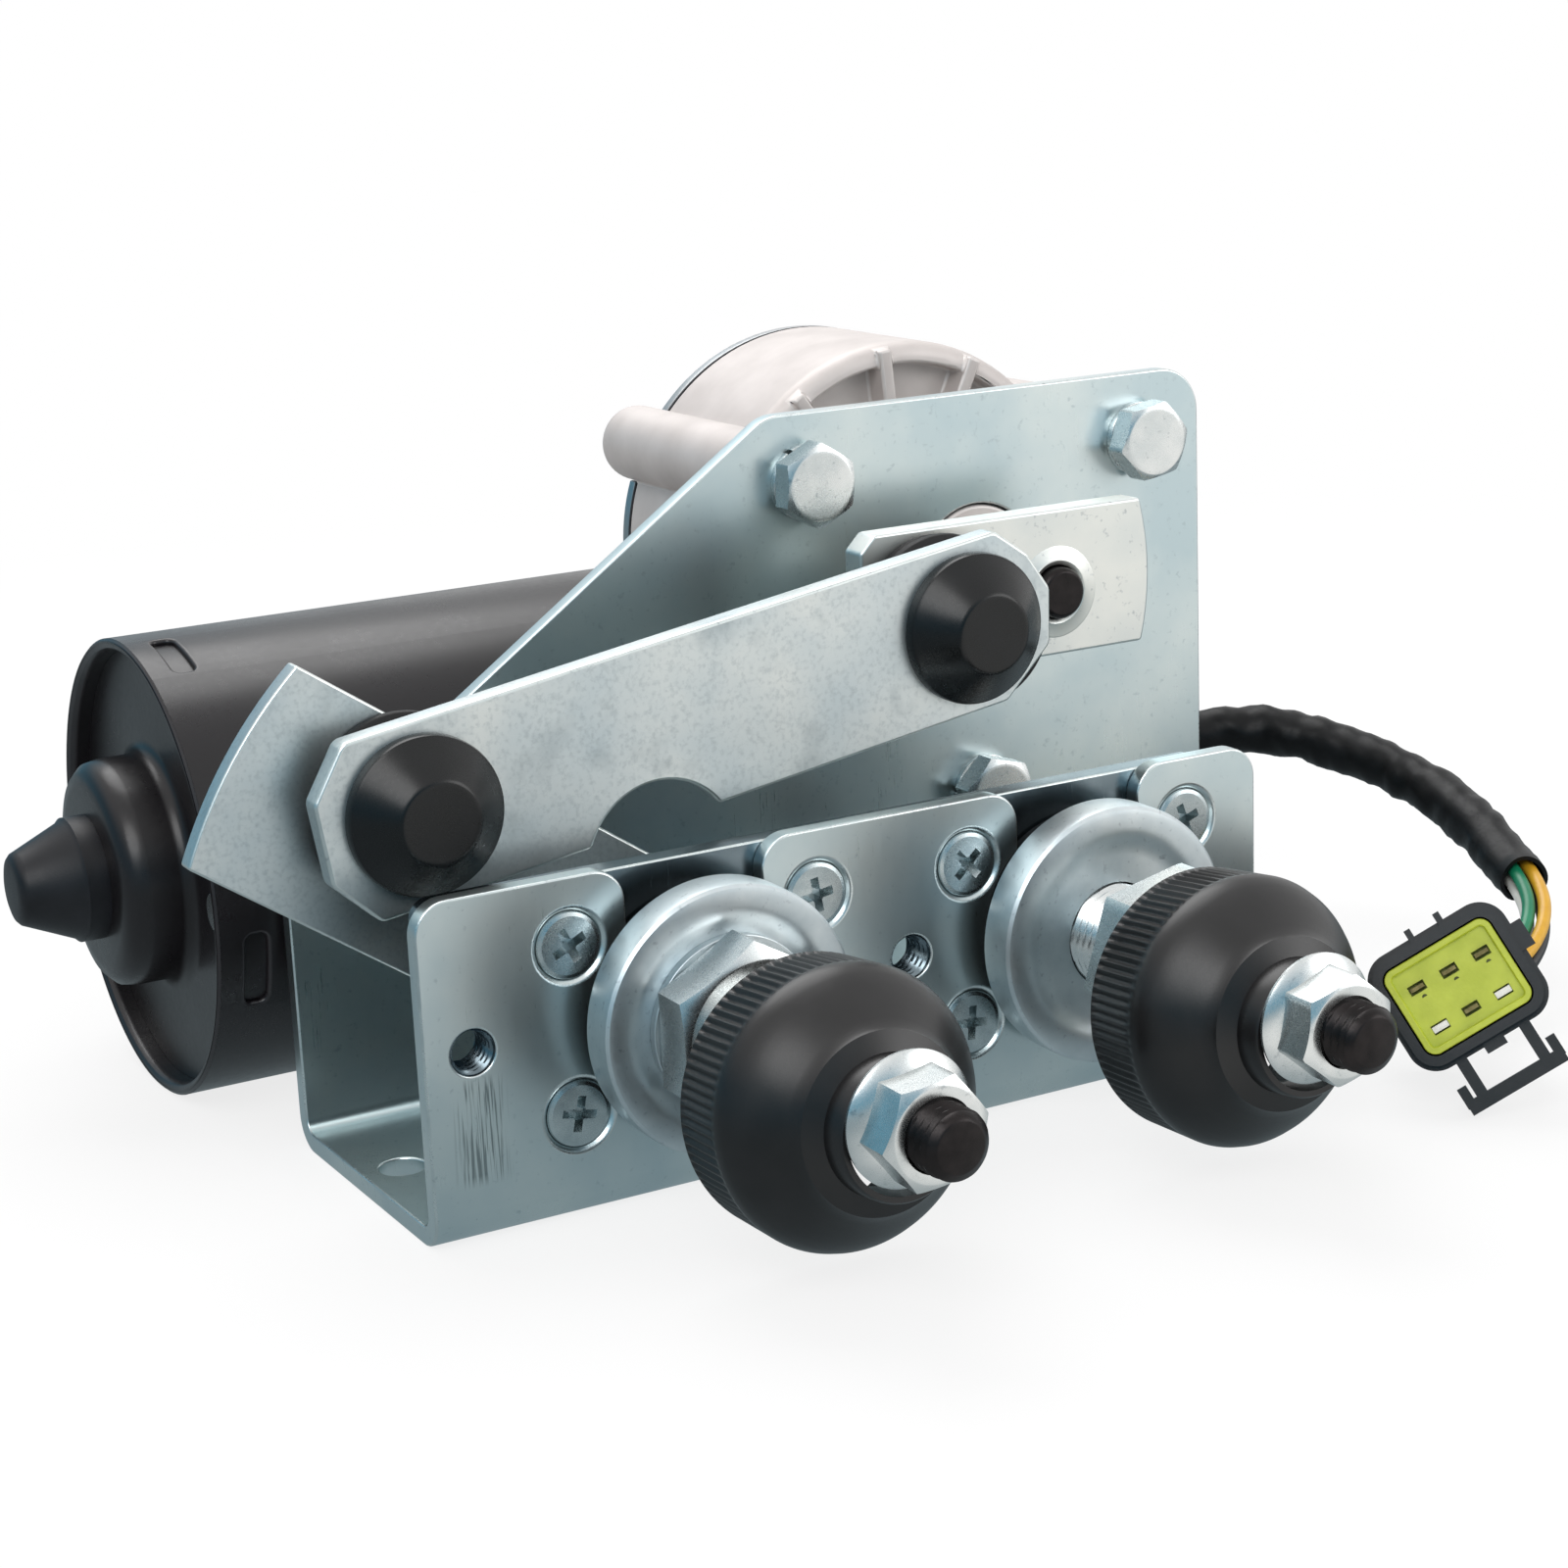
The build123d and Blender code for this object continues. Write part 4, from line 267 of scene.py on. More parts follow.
@dataclass(frozen=True)
class RolledZinc(Finish):
    """Cold-rolled sheet, blue-white zinc plated: soft clouds, faint rolling marks and dull specks.

    Attributes:
        speck: width of a speck.
        speck_colour: its colour.
        speck_range: the values of its noise at its rim and at its middle.
        speck_share: how much it covers at most.
    """

    speck: float = 1.1
    speck_colour: str = "#7F8890"
    speck_range: tuple[float, float] = (0.62, 0.74)
    speck_share: float = 0.45

    def layers(self, tree: bpy.types.NodeTree) -> Layers:
        """Clouds of tint under drawn-out marks, with specks where the passivation is thin.

        Args:
            tree: the material's node tree.

        Returns:
            Its colour, roughness and height.
        """
        clouds = self.blotches(tree, self.patch, 4.0, Grain.NONE)
        marks = self.blotches(tree, self.grain, 3.0, self.marks)
        specks = self.blotches(tree, self.speck, 5.0, Grain.NONE)
        rim, middle = self.speck_range
        inputs = {"Value": specks, "From Min": rim, "From Max": middle, "To Max": self.speck_share}
        rare = add_node(tree, "ShaderNodeMapRange", inputs).outputs[0]
        inputs = {0: rare, 6: self.clouded(tree, clouds), 7: linear(self.speck_colour)}
        speckled = add_node(tree, "ShaderNodeMix", inputs, data_type="RGBA").outputs[2]
        return Layers(speckled, self.uneven(tree, clouds, marks), marks)


@dataclass(frozen=True)
class ScoredZinc(RolledZinc):
    """Rolled zinc with upright score marks, where a tool dragged under the left tapped hole.

    Attributes:
        speck_colour: the colour of a speck.
        score_colour: the colour of a score mark.
        score_x: from where to where the marks lie along X.
        score_z: from where to where they lie along Z.
        score_y: from where to where they lie along Y.
        score_width: width of a mark.
        score_range: the values of its noise at a mark's rim and at its middle.
        score_fade: half the width of the marks' soft ends across the sheet.
        score_end: half the length of their soft ends along Y and Z.
        score_dull: how much rougher they are.
        score_depth: how deep they are, in heights of the relief.
    """

    speck_colour: str = "#9FAEB3"
    score_colour: str = "#8D9798"
    score_x: tuple[float, float] = (-38.6, -31.8)
    score_z: tuple[float, float] = (-19.0, -4.4)
    score_y: tuple[float, float] = (-1.0, 4.0)
    score_width: float = 0.32
    score_range: tuple[float, float] = (0.50, 0.60)
    score_fade: float = 1.2
    score_end: float = 0.9
    score_dull: float = 0.25
    score_depth: float = 2.0

    def between(
        self, tree: bpy.types.NodeTree, value: bpy.types.NodeSocket, low: float, high: float, soft: float
    ) -> bpy.types.NodeSocket:
        """One between two places, fading to nothing over a soft edge on either side.

        Args:
            tree: the material's node tree.
            value: the place along one direction.
            low: where the stretch starts, in millimetres.
            high: where it ends.
            soft: half the width of its soft edges.

        Returns:
            The share, from 0 to 1.
        """
        edges = ((low, {}), (high, {"To Min": 1.0, "To Max": 0.0}))
        first, second = (
            add_node(
                tree,
                "ShaderNodeMapRange",
                {"Value": value, "From Min": (edge - soft) * MM, "From Max": (edge + soft) * MM, **ends},
            ).outputs[0]
            for edge, ends in edges
        )
        return add_node(tree, "ShaderNodeMath", {0: first, 1: second}, operation="MULTIPLY").outputs[0]

    def layers(self, tree: bpy.types.NodeTree) -> Layers:
        """The rolled surface with the score marks laid over it.

        Args:
            tree: the material's node tree.

        Returns:
            Its colour, roughness and height.
        """
        base = super().layers(tree)
        where = add_node(tree, "ShaderNodeTexCoord").outputs["Object"]
        place = add_node(tree, "ShaderNodeSeparateXYZ", {0: where})
        share = self.between(tree, place.outputs[0], *self.score_x, self.score_fade)
        for output, ends in ((1, self.score_y), (2, self.score_z)):
            band = self.between(tree, place.outputs[output], *ends, self.score_end)
            share = add_node(tree, "ShaderNodeMath", {0: share, 1: band}, operation="MULTIPLY").outputs[0]
        marks = self.blotches(tree, self.score_width, 2.0, Grain.ALONG_Z)
        rim, middle = self.score_range
        lines = add_node(tree, "ShaderNodeMapRange", {"Value": marks, "From Min": rim, "From Max": middle})
        inputs = {0: share, 1: lines.outputs[0]}
        share = add_node(tree, "ShaderNodeMath", inputs, operation="MULTIPLY").outputs[0]
        inputs = {0: share, 6: base.colour, 7: linear(self.score_colour)}
        colour = add_node(tree, "ShaderNodeMix", inputs, data_type="RGBA").outputs[2]
        rougher, lower = (
            add_node(tree, "ShaderNodeMath", {0: share, 1: much, 2: value}, operation="MULTIPLY_ADD").outputs[0]
            for much, value in ((self.score_dull, base.roughness), (-self.score_depth, base.height))
        )
        return Layers(colour, rougher, lower)


@dataclass(frozen=True)
class MottledZinc(Finish):
    """Thick zinc on a stamped arm: soft clouds, a mottle of dull grains and handling stains.

    Attributes:
        mottle: width of a dull grain.
        stain: width of a stain, as a share of a cloud's.
        stain_colour: the colour of grains and stains.
        mottle_veil: the values of their noise at a grain's rim and middle, and how much it covers at most.
        stain_veil: the same of a stain.
    """

    mottle: float = 0.7
    stain: float = 0.45
    stain_colour: str = "#8F9A9E"
    mottle_veil: tuple[float, float, float] = (0.48, 0.72, 0.30)
    stain_veil: tuple[float, float, float] = (0.56, 0.74, 0.40)

    def layers(self, tree: bpy.types.NodeTree) -> Layers:
        """Clouds of tint with dull grains and rarer, wider stains over them.

        Args:
            tree: the material's node tree.

        Returns:
            Its colour, roughness and height.
        """
        clouds = self.blotches(tree, self.patch, 4.0, Grain.NONE)
        grains = self.blotches(tree, self.mottle, 5.0, Grain.NONE)
        stains = self.blotches(tree, self.patch * self.stain, 6.0, Grain.NONE)
        colour = self.clouded(tree, clouds)
        for value, (rim, middle, most) in ((grains, self.mottle_veil), (stains, self.stain_veil)):
            inputs = {"Value": value, "From Min": rim, "From Max": middle, "To Max": most}
            share = add_node(tree, "ShaderNodeMapRange", inputs).outputs[0]
            inputs = {0: share, 6: colour, 7: linear(self.stain_colour)}
            colour = add_node(tree, "ShaderNodeMix", inputs, data_type="RGBA").outputs[2]
        return Layers(colour, self.uneven(tree, clouds, grains), grains)


# Finishes. Each gives its name, its colour and the colour of its clouds, how metallic and how rough it is,
# how far the roughness swings, and in millimetres the width of a cloud, the width of a grain and the height
# of the relief. Real grains are finer than 0.1 mm: they are drawn 0.2 to 1 mm wide, so that they show.

# Steel sheet, folded and zinc plated with a blue-white passivation: a cool satin grey with soft clouds
SHEET_ZINC = ScoredZinc(
    "zinc_plated_folded_steel_sheet", "#D6DFDE", "#BDCDD1", 1.0, 0.30, 0.035, 22.0, 0.22, 0.0012, Grain.ALONG_Z
)
# Its sheared edges, rolled round by the press and rubbed: lighter and a little uneven
SHEET_EDGE = RolledZinc("zinc_plated_sheared_edge", "#DDE4E3", "#C6CFD0", 1.0, 0.30, 0.06, 5.0, 0.3, 0.003)
# Thick steel plate behind the flange: darker, with upright draw marks
PLATE_ZINC = RolledZinc(
    "zinc_plated_thick_plate", "#808D93", "#69767D", 1.0, 0.24, 0.05, 9.0, 0.22, 0.003, Grain.ALONG_Z
)
# Zinc over turned steel: bright and clean, with small soft highlights
BRIGHT_ZINC = RolledZinc("bright_zinc_turned_steel", "#E2E4E3", "#CDD2D2", 1.0, 0.27, 0.05, 5.0, 0.25, 0.0015)
# Zinc over a pressed and tumbled washer: the same metal, but satin, so its rim glows broadly
WASHER_ZINC = RolledZinc("satin_zinc_pressed_washer", "#D6DDDF", "#C0CACE", 1.0, 0.40, 0.06, 6.0, 0.35, 0.003)
# Screw heads struck and zinc plated: bright, a little duller than the nuts
SCREW_ZINC = RolledZinc("bright_zinc_screw_head", "#C9D2D3", "#B0BCBF", 1.0, 0.28, 0.06, 3.0, 0.2, 0.002)
# Stamped link and rocker: thick zinc, pale and mottled with duller grains
ARM_ZINC = MottledZinc("mottled_zinc_stamped_arm", "#DADEDC", "#C3CDD0", 1.0, 0.40, 0.05, 18.0, 0.4, 0.003)
# Stamped crank: a paler, warmer zinc without the mottle
CRANK_ZINC = RolledZinc("pale_zinc_stamped_crank", "#E6E6E0", "#D6D9D6", 1.0, 0.42, 0.05, 14.0, 0.3, 0.002)
# Rolled edges of the arms: rubbed bright along the corner
ARM_EDGE = RolledZinc("mottled_zinc_rolled_edge", "#E2E6E4", "#D2D8D6", 1.0, 0.34, 0.06, 4.0, 0.3, 0.002)
# Black oxide on hardened steel: near black with a brown cast and an oily gloss
BLACK_OXIDE = Finish("black_oxide_hardened_steel", "#1E1C1C", "#2B2727", 0.8, 0.34, 0.10, 3.0, 0.25, 0.004)
# Blued spring steel: dark blue-grey with a hard sheen
SPRING_STEEL = Finish("blued_spring_steel", "#4A4E57", "#3C3F47", 1.0, 0.32, 0.08, 3.0, 0.2, 0.003)
# Moulded nylon of the dust caps: black with a fine spark-eroded grain
CAP_NYLON = Finish("moulded_black_nylon", "#0D0C0D", "#131213", 0.0, 0.36, 0.05, 6.0, 0.22, 0.006)
# Moulded nylon of the link caps, from a polished tool: smoother, with a clear highlight
LINK_NYLON = Finish(
    "polished_black_nylon", "#060809", "#0A0C0E", 0.0, 0.28, 0.03, 5.0, 0.5, 0.001, specular=0.38
)
# Moulded nitrile rubber: dead black, dusty
RUBBER = Finish("moulded_nitrile_rubber", "#09090A", "#111112", 0.0, 0.60, 0.08, 4.0, 0.3, 0.010, specular=0.35)
# Pressure die-cast aluminium: warm grey, a fine grainy skin with flow clouds
DIE_CAST = Finish("die_cast_aluminium_skin", "#D2CBC8", "#C6BFBC", 0.35, 0.55, 0.05, 9.0, 0.35, 0.010)
# The casting's edges, where flash was filed off: lighter
DIE_CAST_EDGE = Finish("die_cast_aluminium_rubbed_edge", "#DAD4D1", "#D0CAC7", 0.4, 0.50, 0.05, 4.0, 0.4, 0.006)
# Pressed aluminium cover: neutral grey with rolling marks from side to side
COVER_ALUMINIUM = RolledZinc(
    "pressed_aluminium_sheet", "#B4B6B7", "#A6A9AB", 1.0, 0.36, 0.08, 12.0, 0.4, 0.004, Grain.ALONG_X
)
# Compressed fibre: dull, dark and fuzzy at its edge
GASKET_SHEET = Finish("compressed_fibre_gasket", "#1F1F22", "#2B2B2F", 0.0, 0.8, 0.08, 2.0, 0.3, 0.02)
# Stoved enamel on the drawn can: near black with a warm cast, satin, with faint orange peel
CAN_ENAMEL = Finish(
    "stoved_grey_enamel", "#171518", "#131113", 0.0, 0.30, 0.04, 16.0, 1.1, 0.004, specular=0.42
)
# The enamel where it runs thin over the rolled rim: lighter
CAN_EDGE = Finish("stoved_grey_enamel_edge", "#211E21", "#1A181B", 0.0, 0.32, 0.04, 6.0, 0.8, 0.003)
# Moulded nylon of the nose: a cool grey-black, matter than the can
NOSE_NYLON = Finish(
    "moulded_grey_black_nylon", "#0F1014", "#15161B", 0.0, 0.42, 0.07, 5.0, 0.25, 0.008, specular=0.36
)
# Sintered bronze bushes: brown-gold, open-grained
BRONZE = Finish("sintered_bronze", "#A8854F", "#8F6D3E", 1.0, 0.45, 0.1, 1.2, 0.2, 0.01)
# Ground steel of shaft, worm and bearing: smooth light grey
GROUND_STEEL = Finish("ground_steel", "#B3B5B8", "#A2A5A8", 1.0, 0.25, 0.08, 3.0, 0.1, 0.003)
# Stamped laminations, stacked: grey with a rough layered skin
LAMINATION = Finish("laminated_electrical_steel", "#77787C", "#66676B", 1.0, 0.4, 0.1, 2.0, 0.35, 0.02)
# Enamelled copper wire, wound: warm red-brown, a little uneven
COPPER = Finish("enamelled_copper_wire", "#B0673A", "#94502A", 0.9, 0.32, 0.1, 1.5, 0.5, 0.08)
# Sintered ferrite magnets: dark grey and stony
FERRITE = Finish("sintered_ferrite", "#34353A", "#2B2C30", 0.3, 0.6, 0.08, 3.0, 0.3, 0.02)
# Pressed paper laminate of the brush plate: brown and dull
LAMINATE = Finish("pressed_paper_laminate", "#7A5433", "#694628", 0.0, 0.5, 0.08, 4.0, 0.4, 0.01)
# Pressed carbon brushes: black-grey with a faint sheen
CARBON = Finish("pressed_carbon", "#26262A", "#1C1C1F", 0.2, 0.5, 0.08, 2.0, 0.2, 0.01)
# Moulded nylon wheel, undyed: milky cream
NATURAL_NYLON = Finish("natural_nylon_gear", "#DDD8C8", "#D2CCB9", 0.0, 0.4, 0.05, 6.0, 0.5, 0.005, ior=1.53)
# Soft sleeve over the wires, extruded in vinyl: black and slightly shiny along its creases
SLEEVE_VINYL = Finish(
    "extruded_black_vinyl_sleeve", "#08090A", "#0E0F11", 0.0, 0.40, 0.08, 5.0, 0.7, 0.012, specular=0.20
)
# Insulation extruded over the four wires: full colours with the soft sheen of vinyl
WIRE_GREEN = Finish(
    "extruded_green_insulation", "#14805A", "#0F6E4D", 0.0, 0.35, 0.05, 4.0, 0.5, 0.004, ior=1.53
)
WIRE_YELLOW = Finish(
    "extruded_yellow_insulation", "#D9A62A", "#C99520", 0.0, 0.35, 0.05, 4.0, 0.5, 0.004, ior=1.53
)
WIRE_WHITE = Finish(
    "extruded_white_insulation", "#D6D6D2", "#C9C9C4", 0.0, 0.38, 0.05, 4.0, 0.5, 0.004, ior=1.53
)
WIRE_BLACK = Finish(
    "extruded_black_insulation", "#19191B", "#222224", 0.0, 0.38, 0.05, 4.0, 0.5, 0.004, ior=1.53
)
# Moulded polyester of the connector's housing: black, slightly shiny
PLUG_BLACK = Finish("moulded_black_polyester", "#0B0B0D", "#121215", 0.0, 0.34, 0.06, 3.0, 0.2, 0.006)
# The same material dyed lime for the insert: clean and even
PLUG_LIME = Finish("moulded_lime_polyester", "#BCC838", "#AFBC2E", 0.0, 0.40, 0.06, 3.0, 0.5, 0.020, ior=1.57)
# The insert's small pits, too deep for light: a dark olive
PIT_SHADE = Finish("moulded_lime_pit", "#4B5212", "#3F460E", 0.0, 0.6, 0.06, 2.0, 0.3, 0.010)
# Moulded nylon blanks in the two unused cavities, undyed: near white
BLANK_NYLON = Finish("natural_nylon_blank", "#F0F0EC", "#E6E6E1", 0.0, 0.45, 0.05, 3.0, 0.3, 0.004)
# Tinned brass blades deep in their cavities: dull yellow-grey
TERMINAL = Finish("tinned_brass_blade", "#7E734C", "#5F5637", 0.9, 0.42, 0.08, 1.0, 0.2, 0.003)

# The finish of each material slot of the record
SLOT_FINISHES = {
    "zinc_sheet": SHEET_ZINC,
    "zinc_dark": PLATE_ZINC,
    "zinc_bright": BRIGHT_ZINC,
    "screw_zinc": SCREW_ZINC,
    "link_zinc": ARM_ZINC,
    "rubber": RUBBER,
    "cap_plastic": CAP_NYLON,
    "oxide_steel": BLACK_OXIDE,
    "spring_steel": SPRING_STEEL,
    "bronze": BRONZE,
    "cast_alu": DIE_CAST,
    "cover_alu": COVER_ALUMINIUM,
    "gasket": GASKET_SHEET,
    "can_paint": CAN_ENAMEL,
    "nose_plastic": NOSE_NYLON,
    "wheel_nylon": NATURAL_NYLON,
    "worm_steel": GROUND_STEEL,
    "core_steel": LAMINATION,
    "copper": COPPER,
    "magnet": FERRITE,
    "brush_plate": LAMINATE,
    "carbon": CARBON,
    "sleeve": SLEEVE_VINYL,
    "wire_green": WIRE_GREEN,
    "wire_yellow": WIRE_YELLOW,
    "wire_white": WIRE_WHITE,
    "wire_black": WIRE_BLACK,
    "connector_black": PLUG_BLACK,
    "connector_lime": PLUG_LIME,
    "terminal": TERMINAL,
}


# Meshes


def as_mesh(shape: bmesh.types.BMesh, name: str, sharp: float = 35.0) -> bpy.types.Mesh:
    """Turns a bmesh to a mesh, smooth up to an angle.

    Args:
        shape: the bmesh, which is freed.
        name: the mesh's name.
        sharp: angle between faces, in degrees, from which an edge stays hard.

    Returns:
        The mesh.
    """
    mesh = bpy.data.meshes.new(name)
    shape.to_mesh(mesh)
    shape.free()
    mesh.polygons.foreach_set("use_smooth", [True] * len(mesh.polygons))
    mesh.set_sharp_from_angle(angle=math.radians(sharp))
    return mesh


def rounded(points: Profile, radius: float, closed: bool = False) -> list[tuple[float, float]]:
    """Rounds the corners of a profile.

    Args:
        points: along and radius of each corner.
        radius: how far from a corner its curve starts, at most.
        closed: whether the last point joins the first.

    Returns:
        The points of the rounded profile.
    """
    made = []
    count = len(points)
    for index, point in enumerate(points):
        if not closed and index in (0, count - 1):
            made.append(point)
            continue
        here = Vector(point)
        before = Vector(points[index - 1]) - here
        after = Vector(points[(index + 1) % count]) - here
        start = here + before.normalized() * min(radius, before.length * 0.45)
        finish = here + after.normalized() * min(radius, after.length * 0.45)
        for share in (0.0, 0.33, 0.67, 1.0):
            way = start.lerp(here, share).lerp(here.lerp(finish, share), share)
            made.append((way.x, way.y))
    return made


def rounded_where(points: Profile, radii: dict[int, float]) -> list[tuple[float, float]]:
    """Rounds chosen corners of a closed profile.

    Args:
        points: its corners.
        radii: how far from each chosen corner its curve starts.

    Returns:
        The points of the rounded profile.
    """
    made = []
    for index, point in enumerate(points):
        if index not in radii:
            made.append(point)
            continue
        three = [points[index - 1], point, points[(index + 1) % len(points)]]
        made.extend(rounded(three, radii[index])[1:-1])
    return made


def finely(points: Profile, step: float) -> list[tuple[float, float]]:
    """Divides the long runs of a profile, so that a ripple shows on them.

    Args:
        points: along and radius of each corner.
        step: how far apart the new points are, about.

    Returns:
        The points of the divided profile.
    """
    made = []
    for first, second in zip(points, points[1:]):
        span = math.dist(first, second)
        parts = max(1, round(span / step))
        for index in range(parts):
            share = index / parts
            made.append(tuple(a + (b - a) * share for a, b in zip(first, second)))
    made.append(points[-1])
    return made


def turned(
    shape: bmesh.types.BMesh,
    profile: Sequence[TurnedPoint],
    centre: Place,
    axis: Axis = Axis.Y,
    steps: int = 96,
    closed: bool = False,
    ripple: Ripple | None = None,
) -> list[bmesh.types.BMVert]:
    """Adds a turned surface to a bmesh.

    Args:
        shape: the bmesh that gets it.
        profile: place along the axis and radius, in millimetres, or a function that gives both for a turn.
        centre: a point of the axis, in millimetres.
        axis: the direction of the axis.
        steps: how many sides the turning has.
        closed: whether the last profile point joins the first.
        ripple: radius to add for a turn from 0 to 1 and a place along the axis.

    Returns:
        The new vertices.
    """
    rings = []
    for item in profile:
        ring = []
        for index in range(steps if callable(item) or item[1] > 1e-6 else 1):
            turn = index / steps
            along, radius = item(turn) if callable(item) else item
            reach = radius + (ripple(turn, along) if ripple and radius > 1e-6 else 0.0)
            across = reach * math.cos(2 * math.pi * turn)
            up = reach * math.sin(2 * math.pi * turn)
            place = (across, along, up) if axis is Axis.Y else (along, across, up)
            ring.append(shape.verts.new([(p + c) * MM for p, c in zip(place, centre)]))
        rings.append(ring)
    pairs = list(zip(rings, rings[1:]))
    if closed:
        pairs.append((rings[-1], rings[0]))
    faces = []
    for first, second in pairs:
        for index in range(steps):
            after = (index + 1) % steps
            corners = [first[index % len(first)], first[after % len(first)]]
            corners += [second[after % len(second)], second[index % len(second)]]
            distinct = list(dict.fromkeys(corners))
            if len(distinct) > 2:
                faces.append(shape.faces.new(distinct))
    bmesh.ops.recalc_face_normals(shape, faces=faces)
    return [vert for ring in rings for vert in ring]


def skinned(shape: bmesh.types.BMesh, loops: Sequence[Sequence[Place]], closed: bool = False) -> None:
    """Adds a skin over loops of as many points each, one after the other.

    Args:
        shape: the bmesh that gets it.
        loops: the loops' points, in metres.
        closed: whether the last loop joins the first; if not, both have an end face.
    """
    rings = [[shape.verts.new(point) for point in loop] for loop in loops]
    pairs = list(zip(rings, rings[1:] + rings[:1] if closed else rings[1:]))
    for first, second in pairs:
        for index in range(len(first)):
            after = (index + 1) % len(first)
            shape.faces.new([first[index], first[after], second[after], second[index]])
    if not closed:
        shape.faces.new(rings[0])
        shape.faces.new(rings[-1])
    bmesh.ops.recalc_face_normals(shape, faces=shape.faces)


def spin(shape: bmesh.types.BMesh, verts: Sequence[bmesh.types.BMVert], degrees: float, axis: Axis) -> None:
    """Turns some of a bmesh's vertices about an axis through the origin.

    Args:
        shape: the bmesh that has them.
        verts: the vertices.
        degrees: how far they are turned.
        axis: the direction of the axis.
    """
    turn = Matrix.Rotation(math.radians(degrees), 3, axis.name)
    bmesh.ops.rotate(shape, verts=verts, cent=(0, 0, 0), matrix=turn)


def screw_thread(pitch: float, depth: float, low: float, high: float) -> Ripple:
    """Ripple of a screw thread, fading in over half a pitch at each end.

    Args:
        pitch: length of one turn of the thread.
        depth: height of the thread.
        low: where it starts along its axis.
        high: where it ends.

    Returns:
        The radius to add for a turn from 0 to 1 and a place along the axis.
    """

    def ripple(turn: float, along: float) -> float:
        """Radius to add for a turn from 0 to 1 and a place along the axis."""
        if not low < along < high:
            return 0.0
        phase = (along / pitch - turn) % 1.0
        fade = min(1.0, (along - low) / (pitch * 0.5), (high - along) / (pitch * 0.5))
        return -depth * abs(2 * phase - 1) * fade

    return ripple


@dataclass(frozen=True)
class Hexagon:
    """Hexagon head or nut along Y, its corners turned down at the front. Lengths in millimetres.

    Attributes:
        flats: distance across flats.
        front: place of its front face along Y.
        back: place of its back face.
        bore: radius of its bore, or 0 for a head.
        steps: how many sides its turning has.
    """

    flats: float
    front: float
    back: float
    bore: float = 0.0
    steps: int = 96

    def corner(self, node: str, x: float, z: float) -> float:
        """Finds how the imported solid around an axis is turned.

        Args:
            node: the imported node.
            x: place of the axis.
            z: height of the axis.

        Returns:
            The turn, from 0 to 1, at which it has a corner.
        """
        best = (0.0, 0.0)
        for vert in frame["nodes"][node].data.vertices:
            across, along, up = vert.co.x / MM - x, vert.co.y / MM, vert.co.z / MM - z
            reach = math.hypot(across, up)
            if self.front < along < self.back - 0.5 and reach < self.flats * 0.6:
                best = max(best, (reach, math.atan2(up, across) / (2 * math.pi)))
        return best[1]

    def add(self, shape: bmesh.types.BMesh, node: str, x: float, z: float) -> None:
        """Adds it to a bmesh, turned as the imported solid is.

        Args:
            shape: the bmesh that gets it.
            node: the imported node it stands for.
            x: place of its axis.
            z: height of its axis.
        """
        first = self.corner(node, x, z)
        land = self.flats * 0.475

        def reach(turn: float) -> float:
            """Distance from the axis to a side, for a turn from 0 to 1."""
            slant = ((turn - first) * 6 + 0.5) % 1.0 - 0.5
            return self.flats / 2 / math.cos(math.radians(30 - abs(slant) * 60))

        def shoulder(turn: float) -> tuple[float, float]:
            """Point where the turned-down front meets a side."""
            return self.front + (reach(turn) - land) * 0.58, reach(turn) - 0.02

        def foot(turn: float) -> tuple[float, float]:
            """Point where a side ends, just before the back."""
            return self.back - 0.25, reach(turn)

        inner = [(self.front, 0.0), (self.front, land - 0.7)]
        if self.bore:
            inner = [(self.back, self.bore), (self.front + 0.6, self.bore), (self.front, self.bore + 0.6)]
        outer = [(self.front, land - 0.25), (self.front + 0.06, land), shoulder, foot]
        outer.append((self.back, self.flats * 0.49))
        closing = [] if self.bore else [(self.back, 0.0)]
        turned(shape, [*inner, *outer, *closing], (x, 0.0, z), steps=self.steps, closed=bool(self.bore))


def flat_again(shape: bmesh.types.BMesh) -> None:
    """Cuts flat faces whose outline crosses itself after an easing into triangles that cover them once.

    Args:
        shape: the bmesh that has them.
    """
    shape.normal_update()
    covered = {}
    for loops in shape.calc_loop_triangles():
        first, second, third = (loop.vert.co for loop in loops)
        face = loops[0].face
        covered[face] = covered.get(face, 0.0) + (second - first).cross(third - first).length / 2
    crossed = [f for f in shape.faces if abs(covered[f] - f.calc_area()) > max(2e-8, 0.002 * f.calc_area())]
    for face in crossed:
        normal, origin = face.normal.copy(), face.verts[0].co.copy()
        known, material = list(face.verts), face.material_index
        right = normal.orthogonal().normalized()
        up = normal.cross(right)
        flat = [Vector(((v.co - origin).dot(right), (v.co - origin).dot(up))) / MM for v in known]
        places, _, triangles, came_from, _, _ = delaunay_2d_cdt(flat, [], [list(range(len(flat)))], 1, 1e-5)
        shape.faces.remove(face)
        verts = []
        for place, sources in zip(places, came_from):
            spot = origin + (right * place.x + up * place.y) * MM
            verts.append(known[sources[0]] if sources else shape.verts.new(spot))
        for triangle in triangles:
            corners = [verts[i] for i in triangle]
            if len(set(corners)) == 3 and not shape.faces.get(corners):
                made = shape.faces.new(corners)
                made.material_index = material
                made.normal_update()
                if made.normal.dot(normal) < 0:
                    made.normal_flip()


def pull_in(shape: bmesh.types.BMesh, skin: BVHTree, reach: float) -> None:
    """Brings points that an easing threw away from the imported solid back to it.

    Args:
        shape: the eased bmesh.
        skin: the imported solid's surface.
        reach: how far from it a point may stay, in metres.
    """
    for vert in shape.verts:
        near, _, _, gap = skin.find_nearest(vert.co)
        if gap > reach:
            vert.co = near


